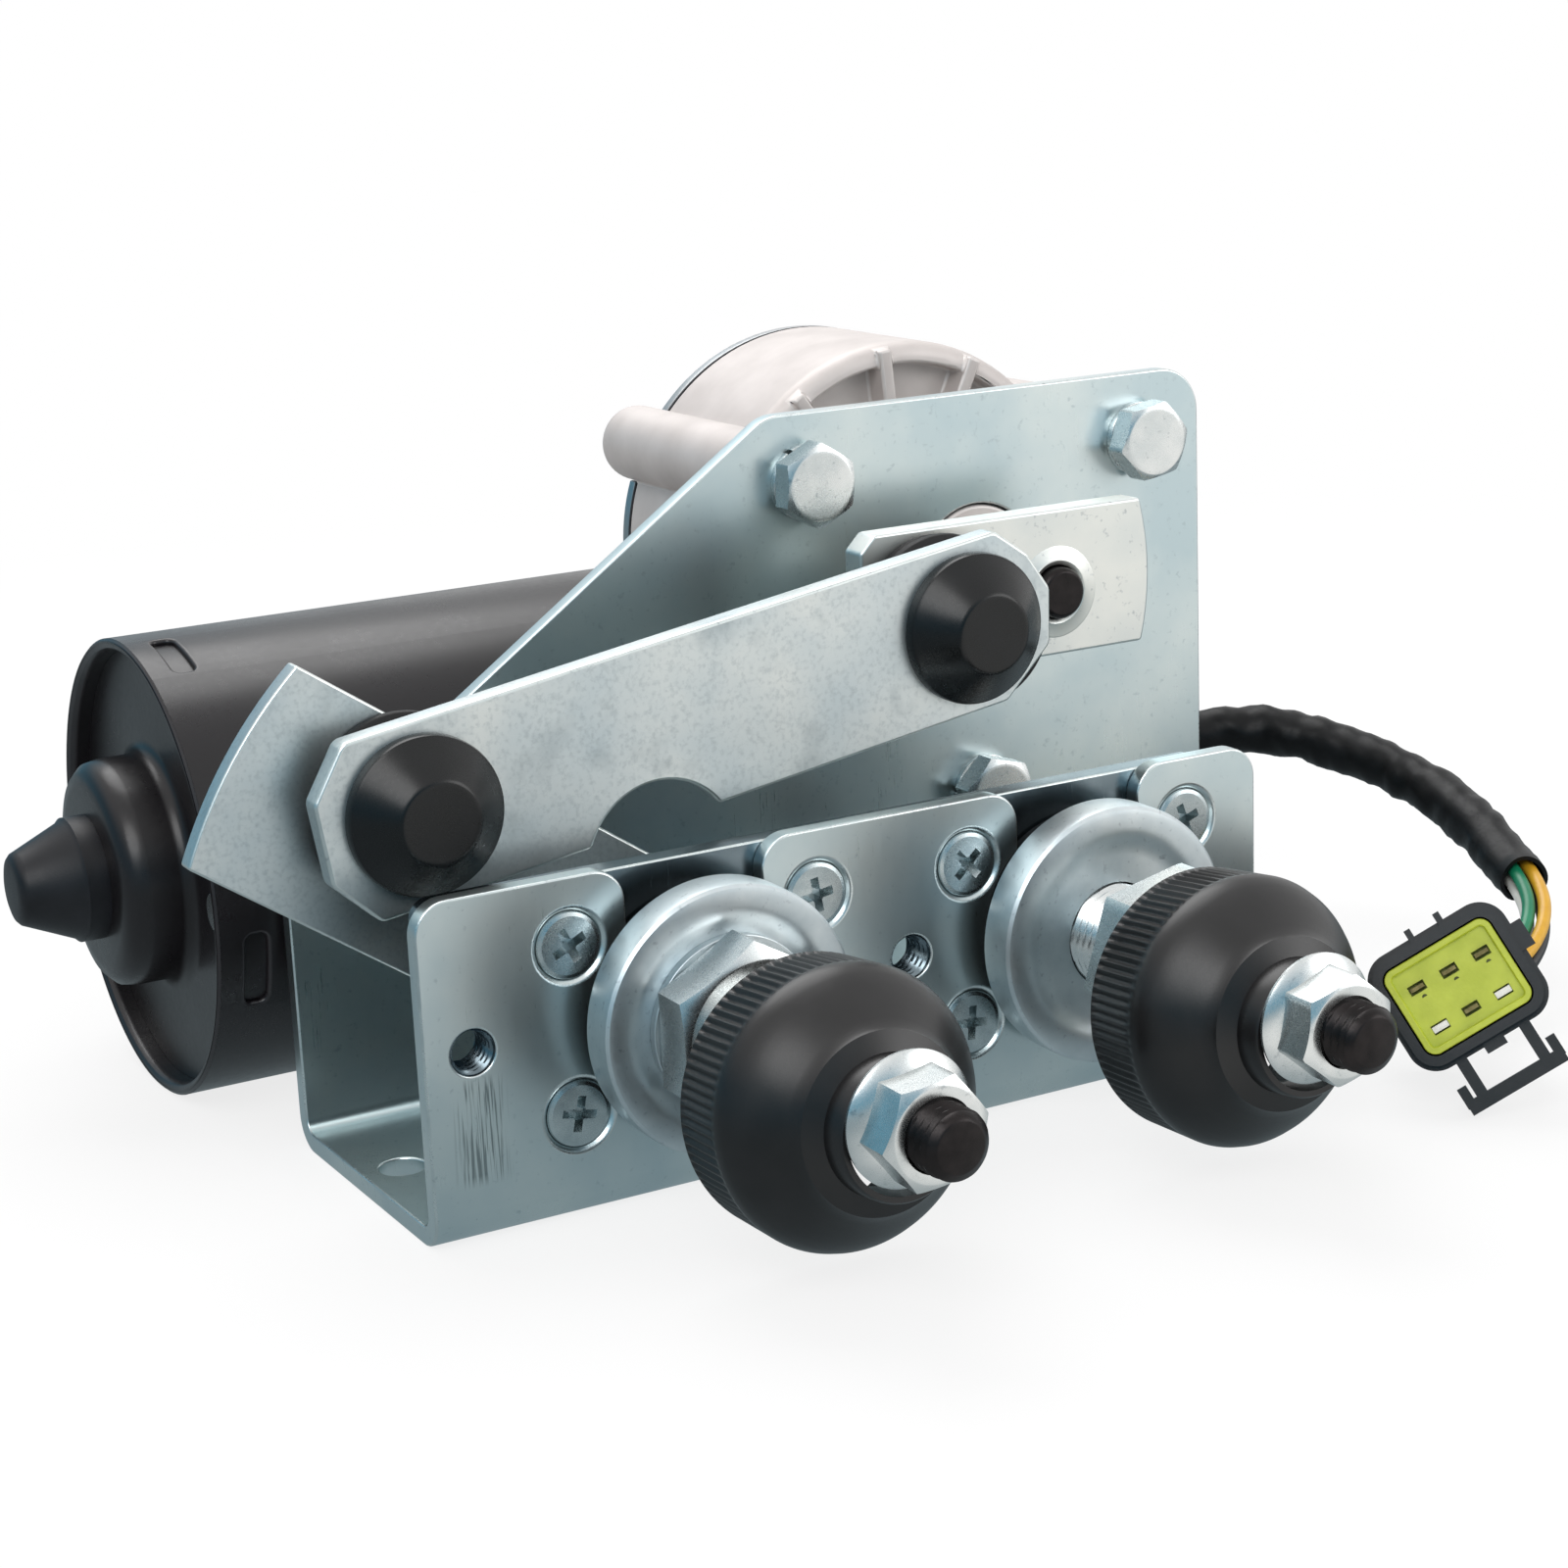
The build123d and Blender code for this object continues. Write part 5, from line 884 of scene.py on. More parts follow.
def eased(node: str, edge: float, angle: float = 28.0, segments: int = 2) -> bmesh.types.BMesh:
    """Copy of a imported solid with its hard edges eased, the eased faces in the second material.

    Args:
        node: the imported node.
        edge: width of the easing in millimetres.
        angle: angle between faces, in degrees, from which an edge is eased.
        segments: faces across an eased edge.

    Returns:
        A bmesh of it.
    """
    shape = bmesh.new()
    shape.from_mesh(frame["nodes"][node].data)
    skin = BVHTree.FromBMesh(shape)
    bmesh.ops.remove_doubles(shape, verts=shape.verts, dist=2e-6)
    bmesh.ops.dissolve_limit(shape, angle_limit=math.radians(0.6), verts=shape.verts, edges=shape.edges)
    hard = [e for e in shape.edges if len(e.link_faces) == 2 and e.calc_face_angle(0.0) > math.radians(angle)]
    bmesh.ops.bevel(
        shape,
        geom=hard,
        offset=edge * MM,
        offset_type="OFFSET",
        segments=segments,
        profile=0.5,
        affect="EDGES",
        clamp_overlap=False,
        material=1,
    )
    pull_in(shape, skin, edge * MM)
    flat_again(shape)
    return shape


def dress(
    mesh: bpy.types.Mesh,
    body: Body,
    finishes: Sequence[Finish],
    stands_for: Sequence[str] = (),
    weighted: bool = False,
) -> bpy.types.Object:
    """Makes a piece of a mesh: places it on its body and gives it its finish.

    Args:
        mesh: the finished mesh, which names the piece.
        body: the body it rides on.
        finishes: one finish for each material number of the mesh.
        stands_for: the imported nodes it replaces.
        weighted: whether large flat faces rule the shading of their corners.

    Returns:
        The piece.
    """
    piece = bpy.data.objects.new(mesh.name, mesh)
    bpy.context.scene.collection.objects.link(piece)
    for finish in finishes:
        mesh.materials.append(finish.build())
    if weighted:
        modifier = piece.modifiers.new("even_shading", "WEIGHTED_NORMAL")
        modifier.keep_sharp = True
    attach(piece, body.value)
    if stands_for:
        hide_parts(*stands_for)
    LOG.info("%s: %d faces on %s", piece.name, len(mesh.polygons), body.value)
    return piece


def dress_eased(
    node: str, body: Body, edge: float, finishes: Sequence[Finish], angle: float = 28.0
) -> bpy.types.Object:
    """Replaces a node by its copy with eased edges."""
    mesh = as_mesh(eased(node, edge, angle), f"{node}_eased", 40.0)
    return dress(mesh, body, finishes, [node], weighted=True)


def facing(turn: float, tilt: float, roll: float) -> tuple[Vector, Vector, Vector]:
    """Axes of something that faces outwards and may be turned in its own plane. Angles in degrees.

    Args:
        turn: how far it is turned to its right from facing the front.
        tilt: how far it looks up.
        roll: how far its long side is turned from level.

    Returns:
        Its right, its up and where it faces.
    """
    turn, tilt, roll = (math.radians(angle) for angle in (turn, tilt, roll))
    out = Vector((math.sin(turn) * math.cos(tilt), -math.cos(turn) * math.cos(tilt), math.sin(tilt)))
    level = Vector((math.cos(turn), math.sin(turn), 0.0))
    lift = out.cross(level)
    right = level * math.cos(roll) + lift * math.sin(roll)
    up = lift * math.cos(roll) - level * math.sin(roll)
    return right, up, out


# Camera, floor and light


@dataclass
class ProductCamera:
    """The photograph's viewpoint, fitted to points of the object. Angles in degrees, lengths in millimetres.

    Attributes:
        azimuth: how far it stands to the right of the front.
        elevation: how far it stands above.
        roll: how far it is turned in its own plane.
        focal_pixels: focal length in pixels of the photograph.
        image_pixels: width of the photograph.
        shift_right: how far the object's origin stands right of the middle, in pixels.
        shift_down: how far it stands below the middle, in pixels.
        distance: how far away it is.
        sensor: width of the sensor.
        seen: from how near to how far it sees, in metres.
    """

    azimuth: float = -28.778694
    elevation: float = 14.659336
    roll: float = -2.532079
    focal_pixels: float = 3175.473506
    image_pixels: float = 1600.0
    shift_right: float = -85.112637
    shift_down: float = 223.748500
    distance: float = 446.849672
    sensor: float = 36.0
    seen: tuple[float, float] = (0.01, 50.0)

    def place(self) -> bpy.types.Object:
        """Makes the camera and the scene's colour settings.

        Returns:
            The camera.
        """
        across, upward, back = facing(self.azimuth, self.elevation, self.roll)
        scale = self.distance / self.focal_pixels
        spot = back * self.distance - across * self.shift_right * scale + upward * self.shift_down * scale
        data = bpy.data.cameras.new("product_camera")
        data.sensor_width = self.sensor
        data.lens = self.focal_pixels / self.image_pixels * self.sensor
        data.clip_start, data.clip_end = self.seen
        camera = bpy.data.objects.new("product_camera", data)
        bpy.context.scene.collection.objects.link(camera)
        axes = Matrix((across, upward, back)).transposed().to_4x4()
        camera.matrix_world = Matrix.Translation(spot * MM) @ axes
        bpy.context.scene.camera = camera
        bpy.context.scene.view_settings.view_transform = "Standard"
        return camera


@dataclass(frozen=True)
class Softbox:
    """Round soft lamp. Lengths in metres, power in watts."""

    name: str
    place: Place
    size: float
    power: float

    def hang(self, target: Place) -> None:
        """Hangs it up, facing the target.

        Args:
            target: what it faces.
        """
        data = bpy.data.lights.new(self.name, "AREA")
        data.shape = "DISK"
        data.size = self.size
        data.energy = self.power
        lamp = bpy.data.objects.new(self.name, data)
        bpy.context.scene.collection.objects.link(lamp)
        lamp.location = self.place
        lamp.rotation_euler = (Vector(target) - Vector(self.place)).to_track_quat("-Z", "Y").to_euler()


@dataclass
class Studio:
    """Pale floor, soft lamps and an even surround. Lengths in metres.

    Attributes:
        floor_level: height of the floor.
        floor_half: half its width.
        floor_colour: its colour as a surface.
        near_white: how much of what the camera sees of it near the object is plain white.
        shadow_reach: how far from the object its shadow starts to fade and is gone.
        near_floor: the floor's painted reflection under the object and to its left, a darker colour that stands
            in for the shade there.
        far_floor: its painted reflection in front of the object, on the right.
        beside: over which X the one turns into the other.
        before: over which Y it does.
        surround: strength of the even light.
        dim_colour: the mirrored colour of the surround low on the left.
        dim_side: over which X of a direction it turns white.
        dim_height: over which Z of a direction it turns white.
        middle: what the lamps face.
        lamps: the soft lamps.
    """

    floor_level: float = -0.0285
    floor_half: float = 8.0
    floor_colour: str = "#F2F2F2"
    near_white: float = 0.80
    shadow_reach: tuple[float, float] = (0.20, 0.60)
    near_floor: str = "#96A3A8"
    far_floor: str = "#FCFCFA"
    beside: tuple[float, float] = (-0.08, 0.04)
    before: tuple[float, float] = (-0.045, -0.11)
    surround: float = 0.62
    dim_colour: str = "#609BB4"
    dim_side: tuple[float, float] = (0.12, 0.42)
    dim_height: tuple[float, float] = (0.15, 0.75)
    middle: Place = (0.03, 0.03, 0.02)
    lamps: tuple[Softbox, ...] = (
        Softbox("key_softbox", (-0.75, -0.85, 0.95), 0.9, 7.8),
        Softbox("fill_softbox", (1.10, -0.90, 0.55), 0.9, 5.0),
        Softbox("top_softbox", (0.10, 0.70, 1.15), 1.1, 9.8),
    )

    def pale_surface(self, name: str) -> bpy.types.Material:
        """White surface that keeps part of the shadow near the object, and glows in mirrors as a painted
        reflection in two colours.

        Args:
            name: the material's name.

        Returns:
            The material.
        """
        material = bpy.data.materials.new(name)
        material.use_nodes = True
        tree = material.node_tree
        tree.nodes.clear()
        path = add_node(tree, "ShaderNodeLightPath")
        where = add_node(tree, "ShaderNodeTexCoord").outputs["Object"]
        distance = add_node(tree, "ShaderNodeVectorMath", {0: where}, operation="LENGTH").outputs["Value"]
        near, far = self.shadow_reach
        inputs = {"Value": distance, "From Min": near, "From Max": far, "To Min": self.near_white}
        white_share = add_node(tree, "ShaderNodeMapRange", inputs).outputs[0]
        inputs = {0: path.outputs["Is Camera Ray"], 1: white_share}
        share = add_node(tree, "ShaderNodeMath", inputs, operation="MULTIPLY").outputs[0]
        diffuse = add_node(tree, "ShaderNodeBsdfDiffuse", {"Color": linear(self.floor_colour)}).outputs[0]
        white = add_node(tree, "ShaderNodeEmission", {"Color": WHITE, "Strength": 1.0}).outputs[0]
        seen = add_node(tree, "ShaderNodeMixShader", {0: share, 1: diffuse, 2: white}).outputs[0]
        # Painted reflection: mirrors see the floor glow in a fixed colour instead of its lit surface, darker
        # under the object and to its left as painted shade
        place = add_node(tree, "ShaderNodeSeparateXYZ", {0: where})
        beside, before = (
            add_node(
                tree,
                "ShaderNodeMapRange",
                {"Value": place.outputs[index], "From Min": ends[0], "From Max": ends[1]},
                interpolation_type="SMOOTHSTEP",
            ).outputs[0]
            for index, ends in enumerate((self.beside, self.before))
        )
        share = add_node(tree, "ShaderNodeMath", {0: beside, 1: before}, operation="MULTIPLY").outputs[0]
        inputs = {0: share, 6: linear(self.near_floor), 7: linear(self.far_floor)}
        mirrored = add_node(tree, "ShaderNodeMix", inputs, data_type="RGBA").outputs[2]
        dim = add_node(tree, "ShaderNodeEmission", {"Color": mirrored, "Strength": 1.0}).outputs[0]
        whole = add_node(tree, "ShaderNodeMixShader", {0: path.outputs["Is Glossy Ray"], 1: seen, 2: dim})
        add_node(tree, "ShaderNodeOutputMaterial", {"Surface": whole.outputs[0]})
        return material

    def floor(self) -> None:
        """Lays the floor under the object."""
        shape = bmesh.new()
        half = self.floor_half
        corners = [(-half, -half), (half, -half), (half, half), (-half, half)]
        shape.faces.new([shape.verts.new((x, y, self.floor_level)) for x, y in corners])
        mesh = as_mesh(shape, "studio_floor")
        mesh.materials.append(self.pale_surface("matt_white_floor"))
        floor = bpy.data.objects.new("studio_floor", mesh)
        bpy.context.scene.collection.objects.link(floor)

    def world(self) -> None:
        """Surround: white where it is seen, dim towards its left where it is mirrored, even as light."""
        world = bpy.data.worlds.new("studio_surround")
        world.use_nodes = True
        bpy.context.scene.world = world
        tree = world.node_tree
        tree.nodes.clear()
        path = add_node(tree, "ShaderNodeLightPath")
        where = add_node(tree, "ShaderNodeTexCoord").outputs["Generated"]
        way = add_node(tree, "ShaderNodeSeparateXYZ", {0: where})
        beside, above = (
            add_node(
                tree,
                "ShaderNodeMapRange",
                {"Value": way.outputs[index], "From Min": ends[0], "From Max": ends[1]},
                interpolation_type="SMOOTHSTEP",
            ).outputs[0]
            for index, ends in ((0, self.dim_side), (2, self.dim_height))
        )
        share = add_node(tree, "ShaderNodeMath", {0: beside, 1: above}, operation="MAXIMUM").outputs[0]
        inputs = {0: share, 6: linear(self.dim_colour), 7: WHITE}
        mirrored = add_node(tree, "ShaderNodeMix", inputs, data_type="RGBA").outputs[2]
        even = (self.surround, self.surround, self.surround, 1.0)
        inputs = {0: path.outputs["Is Glossy Ray"], 6: even, 7: mirrored}
        dim = add_node(tree, "ShaderNodeMix", inputs, data_type="RGBA").outputs[2]
        inputs = {0: path.outputs["Is Camera Ray"], 6: dim, 7: WHITE}
        colour = add_node(tree, "ShaderNodeMix", inputs, data_type="RGBA").outputs[2]
        back = add_node(tree, "ShaderNodeBackground", {"Color": colour, "Strength": 1.0})
        add_node(tree, "ShaderNodeOutputWorld", {"Surface": back.outputs[0]})

    def build(self) -> None:
        """Floor, surround and lamps."""
        self.floor()
        self.world()
        for lamp in self.lamps:
            lamp.hang(self.middle)


# Cable


@dataclass
class Cable:
    """Sleeved cable with four wires: its routes in millimetres, as in the part's source.

    Attributes:
        sleeve_radius: radius of the sleeve outside.
        wall: its thickness.
        mouth: how deep its open end shows.
        wire_radius: radius of a wire.
        sleeve_length: length of the sleeve.
        wire_length: length of a wire between sleeve and connector.
        sleeve_steps: how many sides the sleeve has.
        smooth_rings: over how many rings from the grommet its creases start.
        fold_rate: how many folds it has in a metre, about.
        fold_turn: how much they change round it.
        fold_height: how high they are.
        wrinkle_rate: how many wrinkles it has in a metre, about.
        wrinkle_turn: how much they change round it.
        wrinkle_height: how high they are.
        route: control points of the sleeve.
        wires: control points of each wire.
    """

    sleeve_radius: float = 4.3
    wall: float = 0.7
    mouth: float = 5.0
    wire_radius: float = 1.1
    sleeve_length: float = 178.0
    wire_length: float = 53.0
    sleeve_steps: int = 40
    smooth_rings: int = 6
    fold_rate: float = 260.0
    fold_turn: float = 0.9
    fold_height: float = 0.62
    wrinkle_rate: float = 620.0
    wrinkle_turn: float = 1.2
    wrinkle_height: float = 0.26
    route: tuple[Place, ...] = (
        (46.0, 69.0, -10.0),
        (66.0, 69.0, -10.0),
        (87.0, 67.0, -11.2),
        (108.0, 69.6, -7.0),
        (127.6, 73.0, 0.4),
        (146.0, 69.4, 5.4),
        (159.0, 55.6, 3.2),
        (165.2, 36.0, -2.2),
        (163.4, 18.0, -7.0),
        (157.7, 2.0, -10.6),
    )
    wires: dict[str, tuple[Place, ...]] = field(
        default_factory=lambda: {
            "wire_green": (
                (157.98, 6.80, -8.24),
                (154.53, -2.88, -10.42),
                (148.06, -9.55, -15.15),
                (138.59, -13.15, -18.25),
                (125.84, -12.34, -18.53),
                (119.25, -19.80, -15.18),
            ),
            "wire_yellow": (
                (160.52, 5.89, -8.24),
                (157.07, -3.79, -10.42),
                (149.94, -11.45, -15.15),
                (139.41, -15.85, -18.25),
                (129.86, -14.66, -15.77),
                (123.27, -22.11, -12.42),
            ),
            "wire_white": (
                (158.16, 7.32, -10.88),
                (154.72, -2.35, -13.06),
                (148.06, -9.55, -17.85),
                (138.59, -13.15, -20.95),
                (127.07, -15.36, -22.84),
                (120.47, -22.82, -19.49),
            ),
            "wire_black": (
                (160.71, 6.42, -10.88),
                (157.26, -3.26, -13.06),
                (149.94, -11.45, -17.85),
                (139.41, -15.85, -20.95),
                (131.09, -17.68, -20.08),
                (124.49, -25.13, -16.73),
            ),
        }
    )

    def spline(self, name: str, points: Sequence[Place], radius: float) -> bpy.types.Object:
        """Smooth curve with the route's points as its control points.

        Args:
            name: the curve's name.
            points: its control points, in millimetres.
            radius: its thickness as a radius, or 0 for a bare line.

        Returns:
            The curve, not yet on a body.
        """
        data = bpy.data.curves.new(name, "CURVE")
        data.dimensions = "3D"
        line = data.splines.new("NURBS")
        line.points.add(len(points) - 1)
        for point, place in zip(line.points, points):
            point.co = (*[c * MM for c in place], 1.0)
        line.order_u = 3
        line.use_endpoint_u = True
        data.resolution_u = 12
        data.bevel_depth = radius * MM
        data.bevel_resolution = 6
        data.use_fill_caps = True
        curve = bpy.data.objects.new(name, data)
        bpy.context.scene.collection.objects.link(curve)
        return curve

    def line_points(self) -> list[Vector]:
        """Samples the sleeve's spline.

        Returns:
            Points along it, in metres.
        """
        bare = self.spline("sleeve_line", self.route, 0.0)
        bare.data.resolution_u = 16
        mesh = bpy.data.meshes.new_from_object(bare)
        points = [vert.co.copy() for vert in mesh.vertices]
        bpy.data.objects.remove(bare)
        bpy.data.meshes.remove(mesh)
        return points

    def crease(self, point: Vector, turn: float) -> float:
        """Works out how the soft sleeve is creased.

        Args:
            point: a point of its line, in metres.
            turn: the direction from there, in radians.

        Returns:
            The radius to add, in metres.
        """
        fold = point * self.fold_rate + Vector((math.cos(turn), math.sin(turn), 0)) * self.fold_turn
        wrinkle = point * self.wrinkle_rate + Vector((math.sin(turn), 0, math.cos(turn))) * self.wrinkle_turn
        return (noise.noise(fold) * self.fold_height + noise.noise(wrinkle) * self.wrinkle_height) * MM

    def sleeve(self, with_pieces: Sequence[bpy.types.Object]) -> bpy.types.Object:
        """Creased tube along the spline, open at its far end with a wall that shows.

        Args:
            with_pieces: what hangs on the sleeve; not used.

        Returns:
            The sleeve.
        """
        points = self.line_points()
        up = Vector((0, 0, 1))
        outside = []
        for index, point in enumerate(points):
            way = (points[min(index + 1, len(points) - 1)] - points[max(index - 1, 0)]).normalized()
            up = (up - way * up.dot(way)).normalized()
            outside.append((point, up, way.cross(up)))
        inside = [place for place in outside if (place[0] - points[-1]).length < self.mouth * MM][::-1]
        loops = []
        for position, (point, up, side) in enumerate(outside + inside):
            base = (self.sleeve_radius - (self.wall if position >= len(outside) else 0.0)) * MM
            fade = min(1.0, position / self.smooth_rings)
            loop = []
            for step in range(self.sleeve_steps):
                turn = 2 * math.pi * step / self.sleeve_steps
                reach = base + self.crease(point, turn) * fade
                loop.append(point + (up * math.cos(turn) + side * math.sin(turn)) * reach)
            loops.append(loop)
        shape = bmesh.new()
        skinned(shape, loops)
        mesh = as_mesh(shape, "creased_sleeve", 50.0)
        piece = dress(mesh, Body.FRAME, [SLEEVE_VINYL], ["cable_sleeve"])
        return piece

    def build(self) -> None:
        """Wires first, then the sleeve that they leave."""
        pieces = ("connector_housing", "connector_insert", "connector_terminals")
        plug = [frame["nodes"][name] for name in pieces]
        for name, points in self.wires.items():
            wire = self.spline(f"{name}_lead", points, self.wire_radius)
            wire.data.materials.append(SLOT_FINISHES[name].build())
            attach(wire, Body.FRAME.value)
            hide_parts(name)
            LOG.info("%s: wire along %d points", wire.name, len(points))
        self.sleeve(plug)


# Bracket and pivots


@dataclass
class FoldedBracket:
    """Folded sheet with its pivot plate, screws and tapped holes. Lengths in millimetres.

    Attributes:
        edge: width of the sheet's eased edges.
        spindle_pitch: from one spindle to the other.
        screw_across: from screw to screw of a pivot, along X.
        screw_up: from screw to screw of a pivot, along Z.
        head_radius: radius of a screw's head.
        shank_radius: radius of its shank.
        head_height: height of its head.
        recess_reach: half the length of a slot of its cross.
        recess_width: width of that slot.
        recess_depth: depth of that slot.
        recess_foot: the slot's length and width at its bottom, as shares of those at its top.
        recess_turns: how each screw's recess is turned, in degrees.
        pip_radius: radius of the hollow in the middle of the cross.
        pip_depth: depth of that hollow.
        tapped_offset: from the left spindle to a tapped hole.
        tapped_radius: radius of the tapped holes.
        thread_pitch: length of one turn of their thread.
        thread_depth: height of that thread.
        plate_back: where the pivot plate's back is.
    """

    edge: float = 0.35
    spindle_pitch: float = 66.0
    screw_across: float = 40.0
    screw_up: float = 25.0
    head_radius: float = 4.95
    shank_radius: float = 3.0
    head_height: float = 2.7
    recess_reach: float = 3.3
    recess_width: float = 1.5
    recess_depth: float = 2.2
    recess_foot: tuple[float, float] = (0.45, 0.64)
    recess_turns: tuple[float, ...] = (12.0, 64.0, 33.0, 81.0, 5.0, 47.0, 22.0, 70.0)
    pip_radius: float = 1.5
    pip_depth: float = 2.4
    tapped_offset: float = 35.6
    tapped_radius: float = 3.4
    thread_pitch: float = 1.25
    thread_depth: float = 0.62
    plate_back: float = 7.0

    def screw(self, turn: float) -> bmesh.types.BMesh:
        """One countersunk screw with a cross recess, at the origin.

        Args:
            turn: how far the recess is turned, in degrees.

        Returns:
            The screw's bmesh.
        """
        shape = bmesh.new()
        tail = self.plate_back + 1.5
        profile = [
            (0.12, 0.0),
            (0.12, self.head_radius - 0.7),
            (0.30, self.head_radius - 0.15),
            (0.55, self.head_radius),
            (self.head_height, self.shank_radius),
            (tail - 0.5, self.shank_radius),
            (tail, self.shank_radius - 0.5),
            (tail, 0.0),
        ]
        turned(shape, profile, (0.0, 0.0, 0.0), steps=72)
        blank = bpy.data.objects.new("screw_blank", as_mesh(shape, "screw_blank"))
        cutters = bmesh.new()
        for quarter in (0.0, 90.0):
            wing = bmesh.ops.create_cube(cutters, size=1.0)["verts"]
            for vert in wing:
                deep = vert.co.y > 0
                reach, width = self.recess_reach, self.recess_width / 2
                if deep:
                    reach, width = reach * self.recess_foot[0], width * self.recess_foot[1]
                across, up = math.copysign(reach, vert.co.x), math.copysign(width, vert.co.z)
                vert.co = Vector((across, self.recess_depth if deep else -1.0, up)) * MM
            spin(cutters, wing, quarter + turn, Axis.Y)
        high = 2 * self.pip_radius
        middle = bmesh.ops.create_cone(
            cutters, cap_ends=True, segments=4, radius1=0.0001, radius2=self.pip_radius * MM, depth=high * MM
        )["verts"]
        spin(cutters, middle, 90.0, Axis.X)
        spin(cutters, middle, turn + 45.0, Axis.Y)
        bmesh.ops.translate(cutters, verts=middle, vec=(0, (self.pip_depth - high / 2) * MM, 0))
        cutter = bpy.data.objects.new("recess_cutter", as_mesh(cutters, "recess_cutter"))
        for item in (blank, cutter):
            bpy.context.scene.collection.objects.link(item)
        modifier = blank.modifiers.new("recess", "BOOLEAN")
        modifier.object = cutter
        modifier.operation = "DIFFERENCE"
        modifier.solver = "EXACT"
        modifier.use_self = True
        bpy.context.view_layer.update()
        cut = bpy.data.meshes.new_from_object(blank.evaluated_get(bpy.context.evaluated_depsgraph_get()))
        made = bmesh.new()
        made.from_mesh(cut)
        for item in (blank, cutter):
            data = item.data
            bpy.data.objects.remove(item)
            bpy.data.meshes.remove(data)
        bpy.data.meshes.remove(cut)
        return made

    def screws(self) -> None:
        """Eight screws, their recesses turned as they were left."""
        whole = bmesh.new()
        places = [
            (middle + side * self.screw_across / 2, level * self.screw_up / 2)
            for middle in (0.0, self.spindle_pitch)
            for side in (-1, 1)
            for level in (-1, 1)
        ]
        for turn, (x, z) in zip(self.recess_turns, places):
            single = self.screw(turn)
            bmesh.ops.translate(single, verts=single.verts, vec=(x * MM, 0, z * MM))
            part = bpy.data.meshes.new("screw_part")
            single.to_mesh(part)
            single.free()
            whole.from_mesh(part)
            bpy.data.meshes.remove(part)
        mesh = as_mesh(whole, "cross_recess_screws", 14.0)
        dress(mesh, Body.FRAME, [SCREW_ZINC], ["pivot_screws"])

    def tapped_threads(self) -> None:
        """Screw threads that show inside the two tapped holes."""
        shape = bmesh.new()
        ends = [(0.25, self.tapped_radius), (self.plate_back - 0.3, self.tapped_radius)]
        run = finely(ends, self.thread_pitch / 8)
        ripple = screw_thread(self.thread_pitch, self.thread_depth, 0.2, self.plate_back - 0.25)
        for x in (-self.tapped_offset, self.tapped_offset):
            turned(shape, run, (x, 0.0, 0.0), steps=64, ripple=ripple)
        bmesh.ops.reverse_faces(shape, faces=shape.faces)
        dress(as_mesh(shape, "tapped_threads", 60.0), Body.FRAME, [PLATE_ZINC])

    def build(self) -> None:
        """Sheet, pivot plate, screws and threads."""
        dress_eased("bracket", Body.FRAME, self.edge, [SHEET_ZINC, SHEET_EDGE])
        dress_eased("pivot_plate", Body.FRAME, 0.3, [PLATE_ZINC, SHEET_EDGE])
        self.screws()
        self.tapped_threads()


